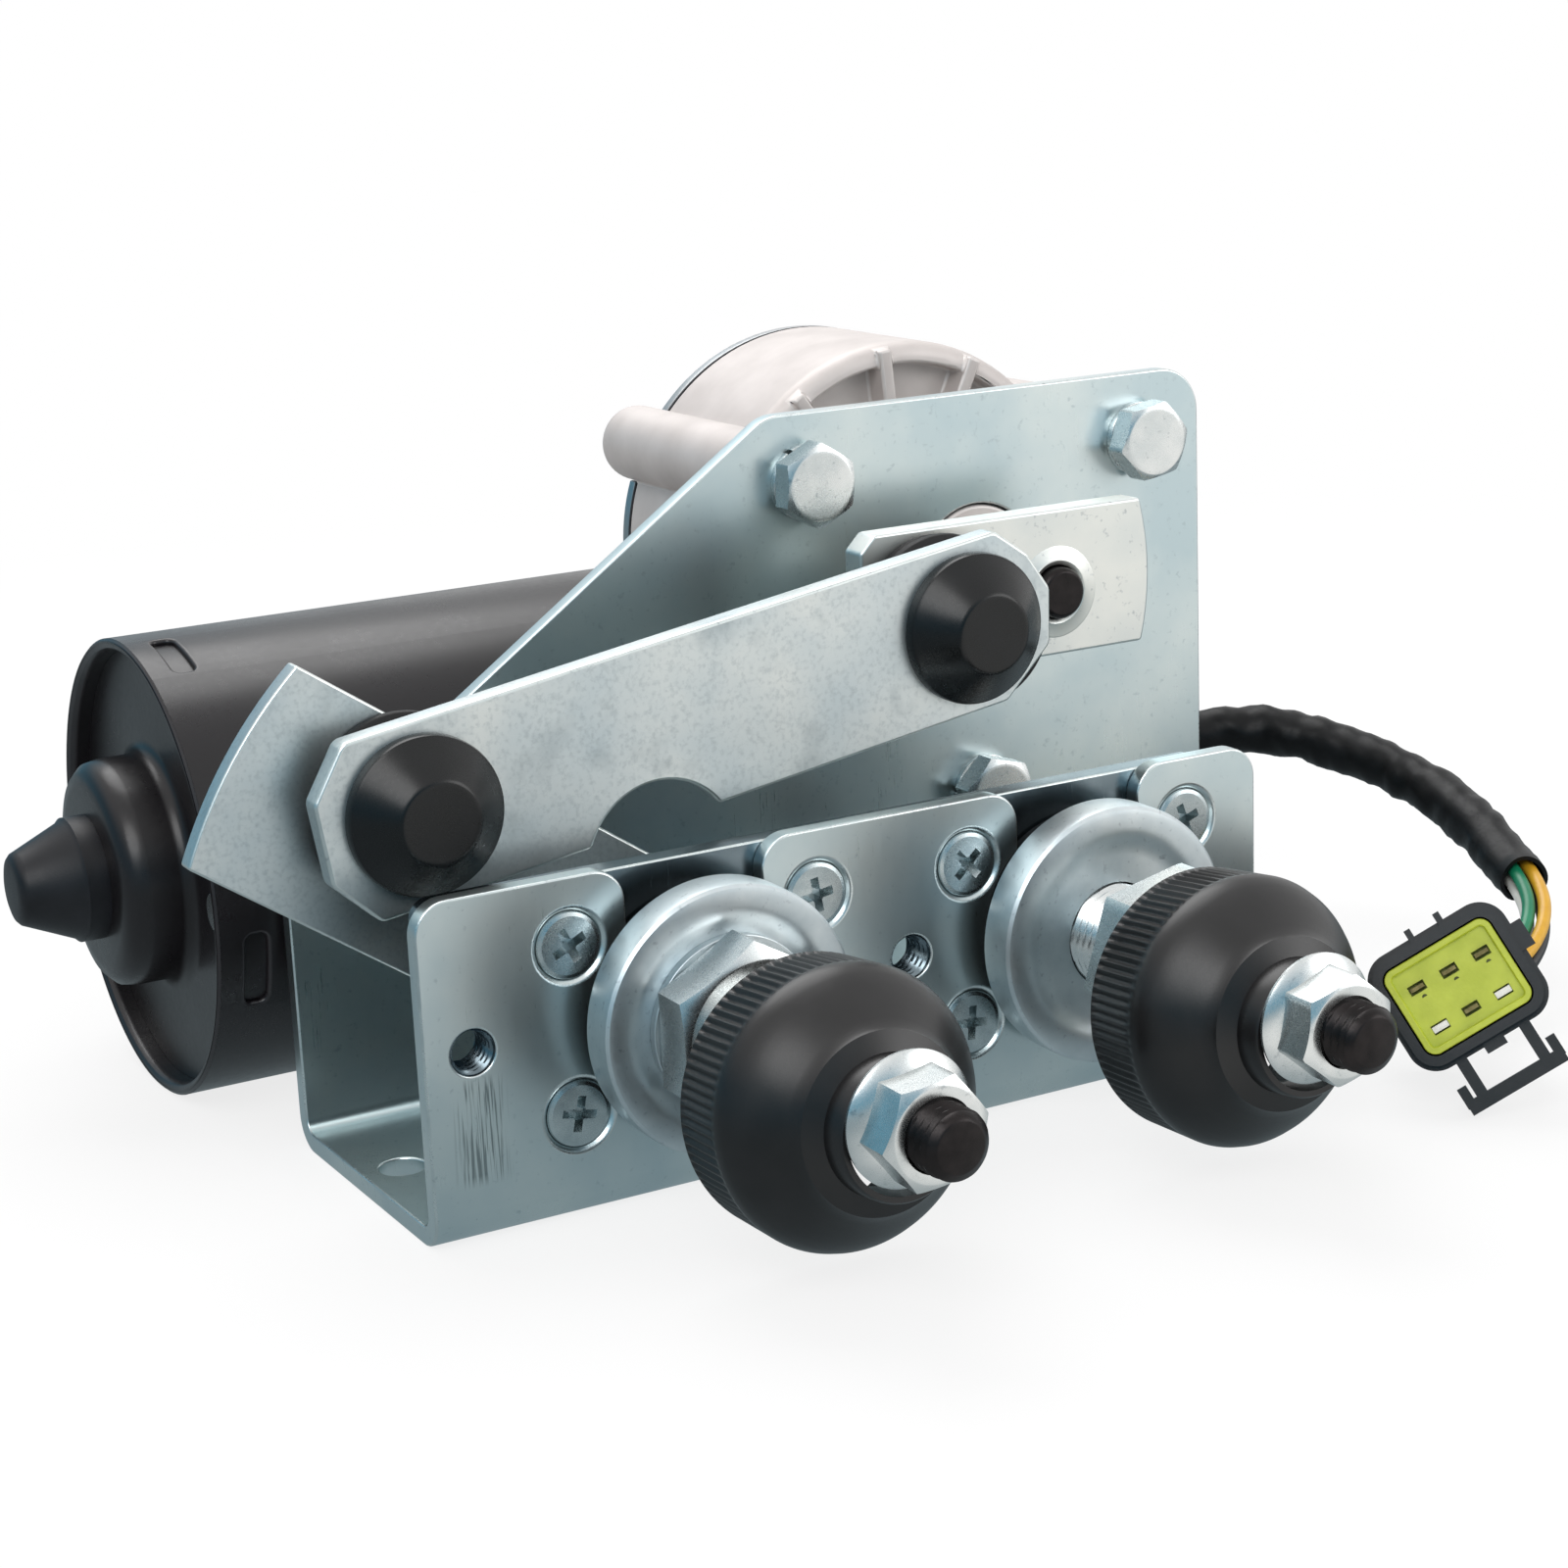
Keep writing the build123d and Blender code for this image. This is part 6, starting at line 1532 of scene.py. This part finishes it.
@dataclass
class PivotHeads:
    """What sits on the two spindles in front of the flange. Lengths in millimetres."""

    places: tuple[float, float] = (0.0, 66.0)
    # Tubes and their nuts
    tube_radius: float = 8.0
    tube_bore: float = 6.2
    tube_front: float = -40.0
    tube_back: float = 13.3
    tube_pitch: float = 1.5
    tube_nut_flats: float = 24.0
    tube_nut_height: float = 8.0
    tube_nut_fronts: tuple[float, float] = (-18.6, -28.0)
    # Cups over their rubber rings
    cup_radius: float = 20.0
    cup_front: float = -10.0
    notch_radius: float = 17.2
    # Spindles
    tip: float = -69.5
    thread_radius: float = 4.9
    thread_pitch: float = 1.5
    cone_front: float = -55.4
    cone_back: float = -46.0
    spindle_radius: float = 5.0
    journal_back: float = 13.6
    # Flanged nuts
    nut_flats: float = 14.0
    nut_height: float = 8.0
    nut_back: float = -56.3
    nut_flange: float = 9.4
    # Dust caps
    cap_front: float = -56.0
    cap_back: float = -30.0
    cap_bore: float = 8.5
    cap_ribs: int = 90
    rib_front: float = -40.2
    rib_back: float = -30.6
    rib_depth: float = 0.42
    cap_droop: float = 2.1
    cap_tilt: float = 5.0

    def rings(
        self, name: str, profile: Profile, slot: str, finish: Finish, node: str, rounding: float = 0.0
    ) -> None:
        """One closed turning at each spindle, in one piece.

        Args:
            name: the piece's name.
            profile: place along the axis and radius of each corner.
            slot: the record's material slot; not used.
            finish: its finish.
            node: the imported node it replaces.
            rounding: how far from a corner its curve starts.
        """
        shape = bmesh.new()
        points = rounded(profile, rounding, closed=True) if rounding else list(profile)
        for x in self.places:
            turned(shape, points, (x, 0.0, 0.0), steps=120, closed=True)
        dress(as_mesh(shape, name, 32.0), Body.FRAME, [finish], [node])

    def tubes(self) -> None:
        """Pivot tubes, threaded from their front end to the flange."""
        shape = bmesh.new()
        front = self.tube_front
        threaded = finely([(front + 0.8, self.tube_radius), (-3.0, self.tube_radius)], self.tube_pitch / 8)
        profile = [
            (self.tube_back, self.tube_bore),
            (front, self.tube_bore),
            (front, self.tube_radius - 0.9),
            *threaded,
            (7.0, self.tube_radius),
            (7.0, 12.0),
            (10.0, 12.0),
            (10.0, 9.5),
            (self.tube_back, 9.5),
        ]
        ripple = screw_thread(self.tube_pitch, 0.85, front + 0.4, -3.2)
        for x in self.places:
            turned(shape, profile, (x, 0.0, 0.0), steps=96, closed=True, ripple=ripple)
        mesh = as_mesh(shape, "threaded_pivot_tubes", 50.0)
        dress(mesh, Body.FRAME, [BRIGHT_ZINC], ["pivot_tubes"])

    def cups(self) -> None:
        """Pressed cup washers with a rounded shoulder and a dished middle, over their rubber rings."""
        outer, front = self.cup_radius, self.cup_front
        profile = [
            (-3.6, outer),
            (-3.6, outer - 2.4),
            (-6.2, outer - 2.4),
            (-6.2, 8.2),
            (front + 0.9, 8.2),
            (front + 0.9, outer - 6.4),
            (front, outer - 4.0),
            (front, outer),
        ]
        shaped = rounded_where(profile, {7: 1.3, 6: 0.8, 5: 1.2, 0: 0.5})
        self.rings("pressed_cup_washers", shaped, "zinc_bright", WASHER_ZINC, "cup_washers")
        ring = [(-6.2, 8.2), (-6.2, self.notch_radius - 0.4), (3.0, self.notch_radius - 0.4), (3.0, 8.2)]
        self.rings("moulded_rubber_rings", ring, "rubber", RUBBER, "rubber_rings", 1.2)

    def tube_nuts(self) -> None:
        """Flat nuts that clamp the washers, the idler's backed off as in the photograph."""
        for x, front, node in zip(self.places, self.tube_nut_fronts, ("drive_tube_nut", "idler_tube_nut")):
            shape = bmesh.new()
            nut = Hexagon(self.tube_nut_flats, front, front + self.tube_nut_height, self.tube_radius)
            nut.add(shape, node, x, 0.0)
            dress(as_mesh(shape, f"{node}_hexagon", 24.0), Body.FRAME, [BRIGHT_ZINC], [node])

    def spindle_nut(self, x: float, node: str, body: Body) -> None:
        """Flanged nut on a spindle's thread.

        Args:
            x: place of its axis.
            node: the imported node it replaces.
            body: the body it turns with.
        """
        shape = bmesh.new()
        back = self.nut_back
        head = Hexagon(self.nut_flats, back - self.nut_height, back - 1.0, self.thread_radius - 0.3)
        head.add(shape, node, x, 0.0)
        flange = [
            (back, self.thread_radius),
            (back, self.nut_flange - 0.5),
            (back - 0.35, self.nut_flange - 0.05),
            (back - 0.8, self.nut_flange),
            (back - 1.15, self.nut_flange - 0.4),
            (back - 2.0, self.nut_flats / 2 + 0.4),
            (back - 2.3, self.nut_flats / 2 - 0.6),
            (back - 2.3, self.thread_radius),
        ]
        turned(shape, flange, (x, 0.0, 0.0), steps=96, closed=True)
        dress(as_mesh(shape, f"{node}_flanged", 24.0), body, [BRIGHT_ZINC], [node])

    def spindle(self, x: float, tail: float, tail_radius: float, name: str, body: Body) -> None:
        """Spindle with its cone and a real thread at the tip.

        Args:
            x: place of its axis.
            tail: where its back end is.
            tail_radius: the radius of that end.
            name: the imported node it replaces.
            body: the body it turns with.
        """
        shape = bmesh.new()
        ends = [(self.tip + 1.0, self.thread_radius), (self.cone_front, self.thread_radius)]
        threaded = finely(ends, self.thread_pitch / 10)
        profile = [
            (self.tip, 0.0),
            (self.tip, self.thread_radius - 1.5),
            (self.tip + 0.15, self.thread_radius - 1.2),
            *threaded,
            (self.cone_front, 5.1),
            (self.cone_back, 5.9),
            (self.cone_back + 0.8, self.spindle_radius),
            (self.journal_back, self.spindle_radius),
            (self.journal_back, tail_radius),
            (tail - 0.4, tail_radius),
            (tail, tail_radius - 0.4),
            (tail, 0.0),
        ]
        ripple = screw_thread(self.thread_pitch, 0.8, self.tip + 0.5, self.cone_front - 0.2)
        turned(shape, profile, (x, 0.0, 0.0), steps=96, ripple=ripple)
        dress(as_mesh(shape, f"{name}_threaded", 50.0), body, [BLACK_OXIDE], [name])

    def cap(self, x: float, node: str) -> None:
        """Dust cap: ribbed skirt, smooth bell and a short neck, hanging as the solid does.

        Args:
            x: place of its axis.
            node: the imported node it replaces.
        """
        shape = bmesh.new()

        def ribs(turn: float, along: float) -> float:
            """Radius that the grooves between the ribs take away."""
            if not self.rib_front < along < self.rib_back:
                return 0.0
            fade = min(1.0, (along - self.rib_front) / 0.7, (self.rib_back - along) / 0.5)
            return -self.rib_depth * fade * (0.5 - 0.5 * math.cos(2 * math.pi * self.cap_ribs * turn))

        profile = [
            (self.cap_back, 17.4),
            (self.cap_back, 19.0),
            *finely([(self.cap_back - 0.4, 19.35), (-41.0, 19.75)], 0.7),
            (-42.3, 19.4),
            (-43.7, 18.6),
            (-45.1, 17.5),
            (-46.4, 16.3),
            (-47.7, 15.0),
            (-49.0, 13.75),
            (-50.2, 12.75),
            (-50.8, 12.5),
            (-51.3, 11.2),
            (-51.9, 9.75),
            (self.cap_front + 0.4, 9.6),
            (self.cap_front, 9.3),
            (self.cap_front, self.cap_bore),
            (-49.9, self.cap_bore),
            (-49.0, 11.5),
            (-45.0, 14.9),
            (-41.5, 17.2),
        ]
        turned(shape, profile, (0.0, 0.0, 0.0), steps=self.cap_ribs * 8, closed=True, ripple=ribs)
        hang = (
            Matrix.Translation((x * MM, self.cap_front * MM, -self.cap_droop * MM))
            @ Matrix.Rotation(math.radians(-self.cap_tilt), 4, "X")
            @ Matrix.Translation((0, -self.cap_front * MM, 0))
        )
        bmesh.ops.transform(shape, matrix=hang, verts=shape.verts)
        dress(as_mesh(shape, f"{node}_ribbed", 40.0), Body.FRAME, [CAP_NYLON], [node])

    def build(self) -> None:
        """Tubes, washers, nuts, caps and spindles."""
        self.tubes()
        self.cups()
        self.tube_nuts()
        dress_eased("thin_washer", Body.FRAME, 0.2, [WASHER_ZINC, WASHER_ZINC])
        self.spindle_nut(self.places[0], "drive_spindle_nut", Body.DRIVE)
        self.spindle_nut(self.places[1], "idler_spindle_nut", Body.IDLER)
        self.spindle(self.places[0], 28.7, 4.0, "drive_spindle", Body.DRIVE)
        self.spindle(self.places[1], 16.1, 4.6, "idler_spindle", Body.IDLER)
        self.cap(self.places[0], "drive_dust_cap")
        self.cap(self.places[1], "idler_dust_cap")


# Linkage and gearbox


@dataclass
class Linkage:
    """Rocker, link and crank with their ball joints. Lengths in millimetres."""

    joints: tuple[tuple[float, float], ...] = ((-34.3, 30.8), (57.2, 44.7))
    link_front: float = 15.0
    cap_radius: float = 11.7
    cap_height: float = 6.8
    crank_front: float = 27.0
    shaft: tuple[float, float] = (81.2, 45.2)

    def caps(self) -> None:
        """Domed caps with a flat round top, over the ball sockets."""
        shape = bmesh.new()
        front = self.link_front - self.cap_height
        profile = [
            (self.link_front, 9.0),
            (self.link_front, self.cap_radius),
            (self.link_front - 1.5, self.cap_radius),
            (self.link_front - 1.9, self.cap_radius - 0.15),
            (self.link_front - 2.15, self.cap_radius - 0.5),
            (self.link_front - 4.4, 9.25),
            (front + 0.35, 6.4),
            (front + 0.1, 6.1),
            (front, 5.75),
            (front, 5.3),
            (front, 0.0),
        ]
        for x, z in self.joints:
            turned(shape, profile, (x, 0.0, z), steps=96)
        dress(as_mesh(shape, "domed_link_caps", 30.0), Body.LINK, [LINK_NYLON], ["link_caps"])

    def crank_trim(self) -> None:
        """Staked ring round the shaft's end, and the rubber lip that lies against the crank."""
        front = self.crank_front
        staked = [
            (front, 4.4),
            (front, 7.4),
            (front - 0.12, 7.1),
            (front - 0.12, 5.4),
            (front - 0.35, 5.1),
            (front - 0.1, 4.5),
        ]
        shape = bmesh.new()
        turned(shape, staked, (self.shaft[0], 0.0, self.shaft[1]), steps=72, closed=True)
        dress(as_mesh(shape, "staked_crank_ring", 40.0), Body.OUTPUT, [CRANK_ZINC])
        x, z = self.joints[1]
        lip = [
            (front - 0.1, 7.2),
            (front - 0.1, 12.4),
            (front - 0.8, 13.0),
            (front - 1.9, 12.6),
            (front - 1.9, 7.2),
        ]
        shape = bmesh.new()
        turned(shape, rounded(lip, 0.3, closed=True), (x, 0.0, z), steps=96, closed=True)
        dress(as_mesh(shape, "crank_rubber_lip", 40.0), Body.OUTPUT, [RUBBER])

    def build(self) -> None:
        """Arms with rolled edges, caps and seals."""
        dress_eased("drive_link", Body.LINK, 0.55, [ARM_ZINC, ARM_EDGE])
        dress_eased("rocker_arm", Body.DRIVE, 0.4, [ARM_ZINC, ARM_EDGE])
        dress_eased("crank_arm", Body.OUTPUT, 0.5, [CRANK_ZINC, ARM_EDGE])
        self.crank_trim()
        dress_eased("output_shaft", Body.OUTPUT, 0.25, [BLACK_OXIDE, BLACK_OXIDE])
        dress_eased("link_seals", Body.LINK, 0.25, [RUBBER, RUBBER])
        dress_eased("crank_ball_stud", Body.LINK, 0.2, [BRIGHT_ZINC, BRIGHT_ZINC])
        dress_eased("rocker_ball_stud", Body.DRIVE, 0.2, [BRIGHT_ZINC, BRIGHT_ZINC])
        self.caps()


@dataclass
class Gearbox:
    """Die casting, cover and bolts. Lengths in millimetres."""

    edge: float = 0.5
    centre: tuple[float, float] = (81.2, 45.2)
    bolt_circle: float = 37.4
    bolt_angles: tuple[float, ...] = (30.0, 150.0, 270.0)
    bolt_flats: float = 12.0
    bolt_seat: float = 48.8
    bolt_head: float = 4.6
    bolt_radius: float = 4.0
    bolt_length: float = 24.0

    def bolts(self) -> None:
        """Three hexagon bolts through the bracket's back plate."""
        shape = bmesh.new()
        for angle in self.bolt_angles:
            x = self.centre[0] + self.bolt_circle * math.cos(math.radians(angle))
            z = self.centre[1] + self.bolt_circle * math.sin(math.radians(angle))
            head = Hexagon(self.bolt_flats, self.bolt_seat - self.bolt_head, self.bolt_seat)
            head.add(shape, "gearbox_bolts", x, z)
            tip = self.bolt_seat + self.bolt_length
            shank = [(self.bolt_seat, 0.0), (self.bolt_seat, self.bolt_radius), (tip - 0.8, self.bolt_radius)]
            turned(shape, [*shank, (tip, self.bolt_radius - 0.8), (tip, 0.0)], (x, 0.0, z), steps=48)
        mesh = as_mesh(shape, "hexagon_bolts", 24.0)
        dress(mesh, Body.FRAME, [BRIGHT_ZINC], ["gearbox_bolts"])

    def build(self) -> None:
        """Case, cover, gasket and fixings, each with its edges eased."""
        dress_eased("gearbox_case", Body.FRAME, self.edge, [DIE_CAST, DIE_CAST_EDGE])
        dress_eased("gearbox_cover", Body.FRAME, 0.3, [COVER_ALUMINIUM, COVER_ALUMINIUM])
        dress_eased("gearbox_gasket", Body.FRAME, 0.1, [GASKET_SHEET, GASKET_SHEET])
        dress_eased("cover_screws", Body.FRAME, 0.2, [BRIGHT_ZINC, BRIGHT_ZINC])
        self.bolts()
        dress_eased("bolt_spring_washers", Body.FRAME, 0.15, [BRIGHT_ZINC, BRIGHT_ZINC])


@dataclass
class Motor:
    """Can, end plate, nose and grommet. Lengths in millimetres."""

    axis: Place = (0.0, 91.5, 8.5)
    # Nose
    boss_left: float = -60.5
    nose_length: float = 13.0
    nose_radius: float = 10.0
    nose_tip_radius: float = 6.0
    # End plate
    plate_left: float = -49.5
    plate_right: float = -47.5
    plate_radius: float = 34.95
    boss_radius: float = 18.3
    # Can and its four slots, the angle in degrees
    can_radius: float = 37.0
    slot_x: float = -46.7
    slot_angle: float = 76.0
    slot_length: float = 12.0
    slot_width: float = 3.5
    # Grommet
    grommet_place: Place = (0.0, 69.0, -10.0)
    grommet_left: float = 36.0
    grommet_collar: float = 40.0
    grommet_right: float = 46.0
    grommet_radius: float = 6.2

    def nose(self) -> None:
        """Tapered plastic nose with a collar and a rounded tip."""
        tip = self.boss_left - self.nose_length
        profile = [
            (self.boss_left, 0.0),
            (self.boss_left, self.nose_radius),
            (tip + 9.6, self.nose_radius),
            (tip + 9.0, self.nose_radius - 0.6),
            (tip + 1.6, self.nose_tip_radius + 0.1),
            (tip + 0.9, self.nose_tip_radius - 0.2),
            (tip + 0.35, self.nose_tip_radius - 0.8),
            (tip + 0.08, self.nose_tip_radius - 1.7),
            (tip, self.nose_tip_radius - 2.6),
            (tip, 0.0),
        ]
        shape = bmesh.new()
        turned(shape, profile, self.axis, Axis.X, 96)
        mesh = as_mesh(shape, "tapered_nose_cap", 35.0)
        dress(mesh, Body.FRAME, [NOSE_NYLON], ["motor_nose_cap"])

    def end_plate(self) -> None:
        """Pressed end plate whose boss rises from it in soft curves."""
        front, back = self.plate_left, self.plate_right
        profile = [
            (back, 8.0),
            (back, self.plate_radius),
            (front, self.plate_radius),
            (front, self.boss_radius),
            (self.boss_left, self.boss_radius),
            (self.boss_left, 8.0),
        ]
        shape = bmesh.new()
        turned(shape, rounded_where(profile, {3: 2.4, 4: 4.2}), self.axis, Axis.X, 128, closed=True)
        mesh = as_mesh(shape, "pressed_end_plate", 40.0)
        dress(mesh, Body.FRAME, [CAN_ENAMEL], ["motor_end_plate"])

    def slot_floors(self) -> None:
        """Pressed floors that close the can's four slots a little below its surface."""
        shape = bmesh.new()
        low, high = self.can_radius - 1.9, self.can_radius - 0.9
        left, right = self.slot_x - self.slot_width / 2, self.slot_x + self.slot_width / 2
        half = self.slot_length / 2 / self.can_radius
        for quarter in range(4):
            middle = math.radians(self.slot_angle + 90 * quarter)
            loops = []
            for part in range(13):
                angle = middle + half * (part / 6 - 1)
                across, up = -math.cos(angle), math.sin(angle)
                corners = [(left, low), (right, low), (right, high), (left, high)]
                places = [(x, self.axis[1] + across * r, self.axis[2] + up * r) for x, r in corners]
                loops.append([[c * MM for c in place] for place in places])
            skinned(shape, loops)
        dress(as_mesh(shape, "pressed_slot_floors"), Body.FRAME, [CAN_ENAMEL])

    def grommet(self) -> None:
        """Ribbed grommet where the cable leaves the bell."""
        left, collar, right = self.grommet_left, self.grommet_collar, self.grommet_right
        widest, neck = self.grommet_radius, self.grommet_radius - 2.0
        profile = [(left, 0.0), (left, neck), (collar, neck), (collar, widest)]
        for index in range(3):
            start = collar + 0.9 + 1.7 * index
            foot = widest - 0.9 - 0.3 * index
            profile += [(start, widest - 0.35 * index), (start + 0.3, foot), (start + 1.0, foot)]
            profile += [(start + 1.3, widest - 0.2 - 0.4 * index)]
        profile += [(right, widest - 1.3), (right, 0.0)]
        shape = bmesh.new()
        turned(shape, profile, self.grommet_place, Axis.X, 64)
        dress(as_mesh(shape, "ribbed_grommet", 30.0), Body.FRAME, [RUBBER], ["cable_grommet"])

    def build(self) -> None:
        """Can, end plate, screws, nose and grommet."""
        dress_eased("motor_can", Body.FRAME, 0.6, [CAN_ENAMEL, CAN_EDGE])
        self.end_plate()
        self.slot_floors()
        dress_eased("motor_screws", Body.FRAME, 0.2, [BRIGHT_ZINC, BRIGHT_ZINC])
        dress_eased("thrust_plug", Body.FRAME, 0.3, [BRIGHT_ZINC, BRIGHT_ZINC])
        self.nose()
        self.grommet()


@dataclass
class Connector:
    """Trim of the connector's mating face. Lengths in millimetres, angles in degrees."""

    # Where the open face lies
    place: Place = (106.8, -39.5, -8.3)
    turn: float = -41.5
    tilt: float = 18.6
    roll: float = 32.7
    # The insert's rim, its heights from that face
    half_width: float = 9.05
    half_height: float = 7.2
    corner: float = 1.85
    wall: float = 1.05
    floor: float = -1.0
    rim: float = -0.1
    # Pits and blanked windows, from the middle of the face
    pits: tuple[tuple[float, float], ...] = ((-4.9, 1.2), (0.5, 1.0), (5.9, 0.8))
    pit_radius: float = 0.42
    windows: tuple[tuple[float, float], ...] = ((-5.3, -3.8), (5.3, -4.1))
    blank_size: Place = (2.6, 1.0, 2.0)

    def face_place(self) -> Matrix:
        """Where the open face lies, its long side along X."""
        axes = Matrix(facing(self.turn, self.tilt, self.roll)).transposed().to_4x4()
        return Matrix.Translation(Vector(self.place) * MM) @ axes

    def outline(self, inset: float, height: float) -> list[Place]:
        """Rounded rectangle round the face.

        Args:
            inset: how far it is moved inwards.
            height: how high it lies.

        Returns:
            Its points, in metres.
        """
        corner = max(self.corner - inset, 0.35)
        wide, high = self.half_width - inset - corner, self.half_height - inset - corner
        points = []
        for step in range(32):
            angle = 2 * math.pi * (step + 0.5) / 32
            across = math.copysign(wide, math.cos(angle)) + corner * math.cos(angle)
            up = math.copysign(high, math.sin(angle)) + corner * math.sin(angle)
            points.append((across * MM, up * MM, height * MM))
        return points

    def raised_rim(self) -> bmesh.types.BMesh:
        """Raised rim round the insert.

        Returns:
            Its bmesh.
        """
        loops = [
            self.outline(0.0, self.floor),
            self.outline(0.0, self.rim - 0.15),
            self.outline(0.12, self.rim),
            self.outline(self.wall - 0.15, self.rim),
            self.outline(self.wall, self.rim - 0.15),
            self.outline(self.wall + 0.1, self.floor),
        ]
        shape = bmesh.new()
        skinned(shape, loops, closed=True)
        return shape

    def small_pits(self) -> bmesh.types.BMesh:
        """Dark discs of painted shade where the insert has its small pits.

        Returns:
            Their bmesh.
        """
        shape = bmesh.new()
        for x, y in self.pits:
            angles = [math.pi * step / 12 for step in range(13)]
            disc = [(x + self.pit_radius * math.cos(a), y + self.pit_radius * math.sin(a)) for a in angles]
            heights = (self.floor - 0.3, self.floor + 0.02)
            skinned(shape, [[(u * MM, v * MM, height * MM) for u, v in disc] for height in heights])
        return shape

    def blanks(self) -> bmesh.types.BMesh:
        """Small blocks with eased edges in the two unused cavities.

        Returns:
            Their bmesh.
        """
        shape = bmesh.new()
        for x, y in self.windows:
            middle = Vector((x, y, self.floor - 1.15))
            for vert in bmesh.ops.create_cube(shape, size=1.0)["verts"]:
                vert.co = (middle + vert.co * Vector(self.blank_size)) * MM
        bmesh.ops.bevel(shape, geom=shape.edges[:], offset=0.08 * MM, segments=2, profile=0.5, affect="EDGES")
        return shape

    def build(self) -> None:
        """Rim, pits and blanked windows."""
        parts = (
            (self.raised_rim(), "connector_insert_rim", "connector_lime", PLUG_LIME),
            # The pits' discs carry painted shade
            (self.small_pits(), "connector_insert_pits", "connector_lime", PIT_SHADE),
            (self.blanks(), "connector_blanks", "wire_white", BLANK_NYLON),
        )
        for shape, name, slot, finish in parts:
            bmesh.ops.transform(shape, matrix=self.face_place(), verts=shape.verts)
            dress(as_mesh(shape, name, 40.0), Body.FRAME, [finish])


def dress_the_rest() -> None:
    """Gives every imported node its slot's finish, the replaced ones too."""
    for entry in frame["record"]["subparts"]:
        node = frame["nodes"][entry["node"]]
        finish = SLOT_FINISHES[entry["material_slot"]].build()
        node.data.materials.clear()
        node.data.materials.append(finish)


def main() -> None:
    """Builds the scene in order."""
    logging.basicConfig(level=logging.INFO, format="%(message)s")
    ProductCamera().place()
    dress_the_rest()
    Cable().build()
    Studio().build()
    for assembly in (FoldedBracket(), PivotHeads(), Linkage(), Gearbox(), Motor(), Connector()):
        LOG.info("building %s", type(assembly).__name__)
        assembly.build()


if __name__ == "__main__":
    main()
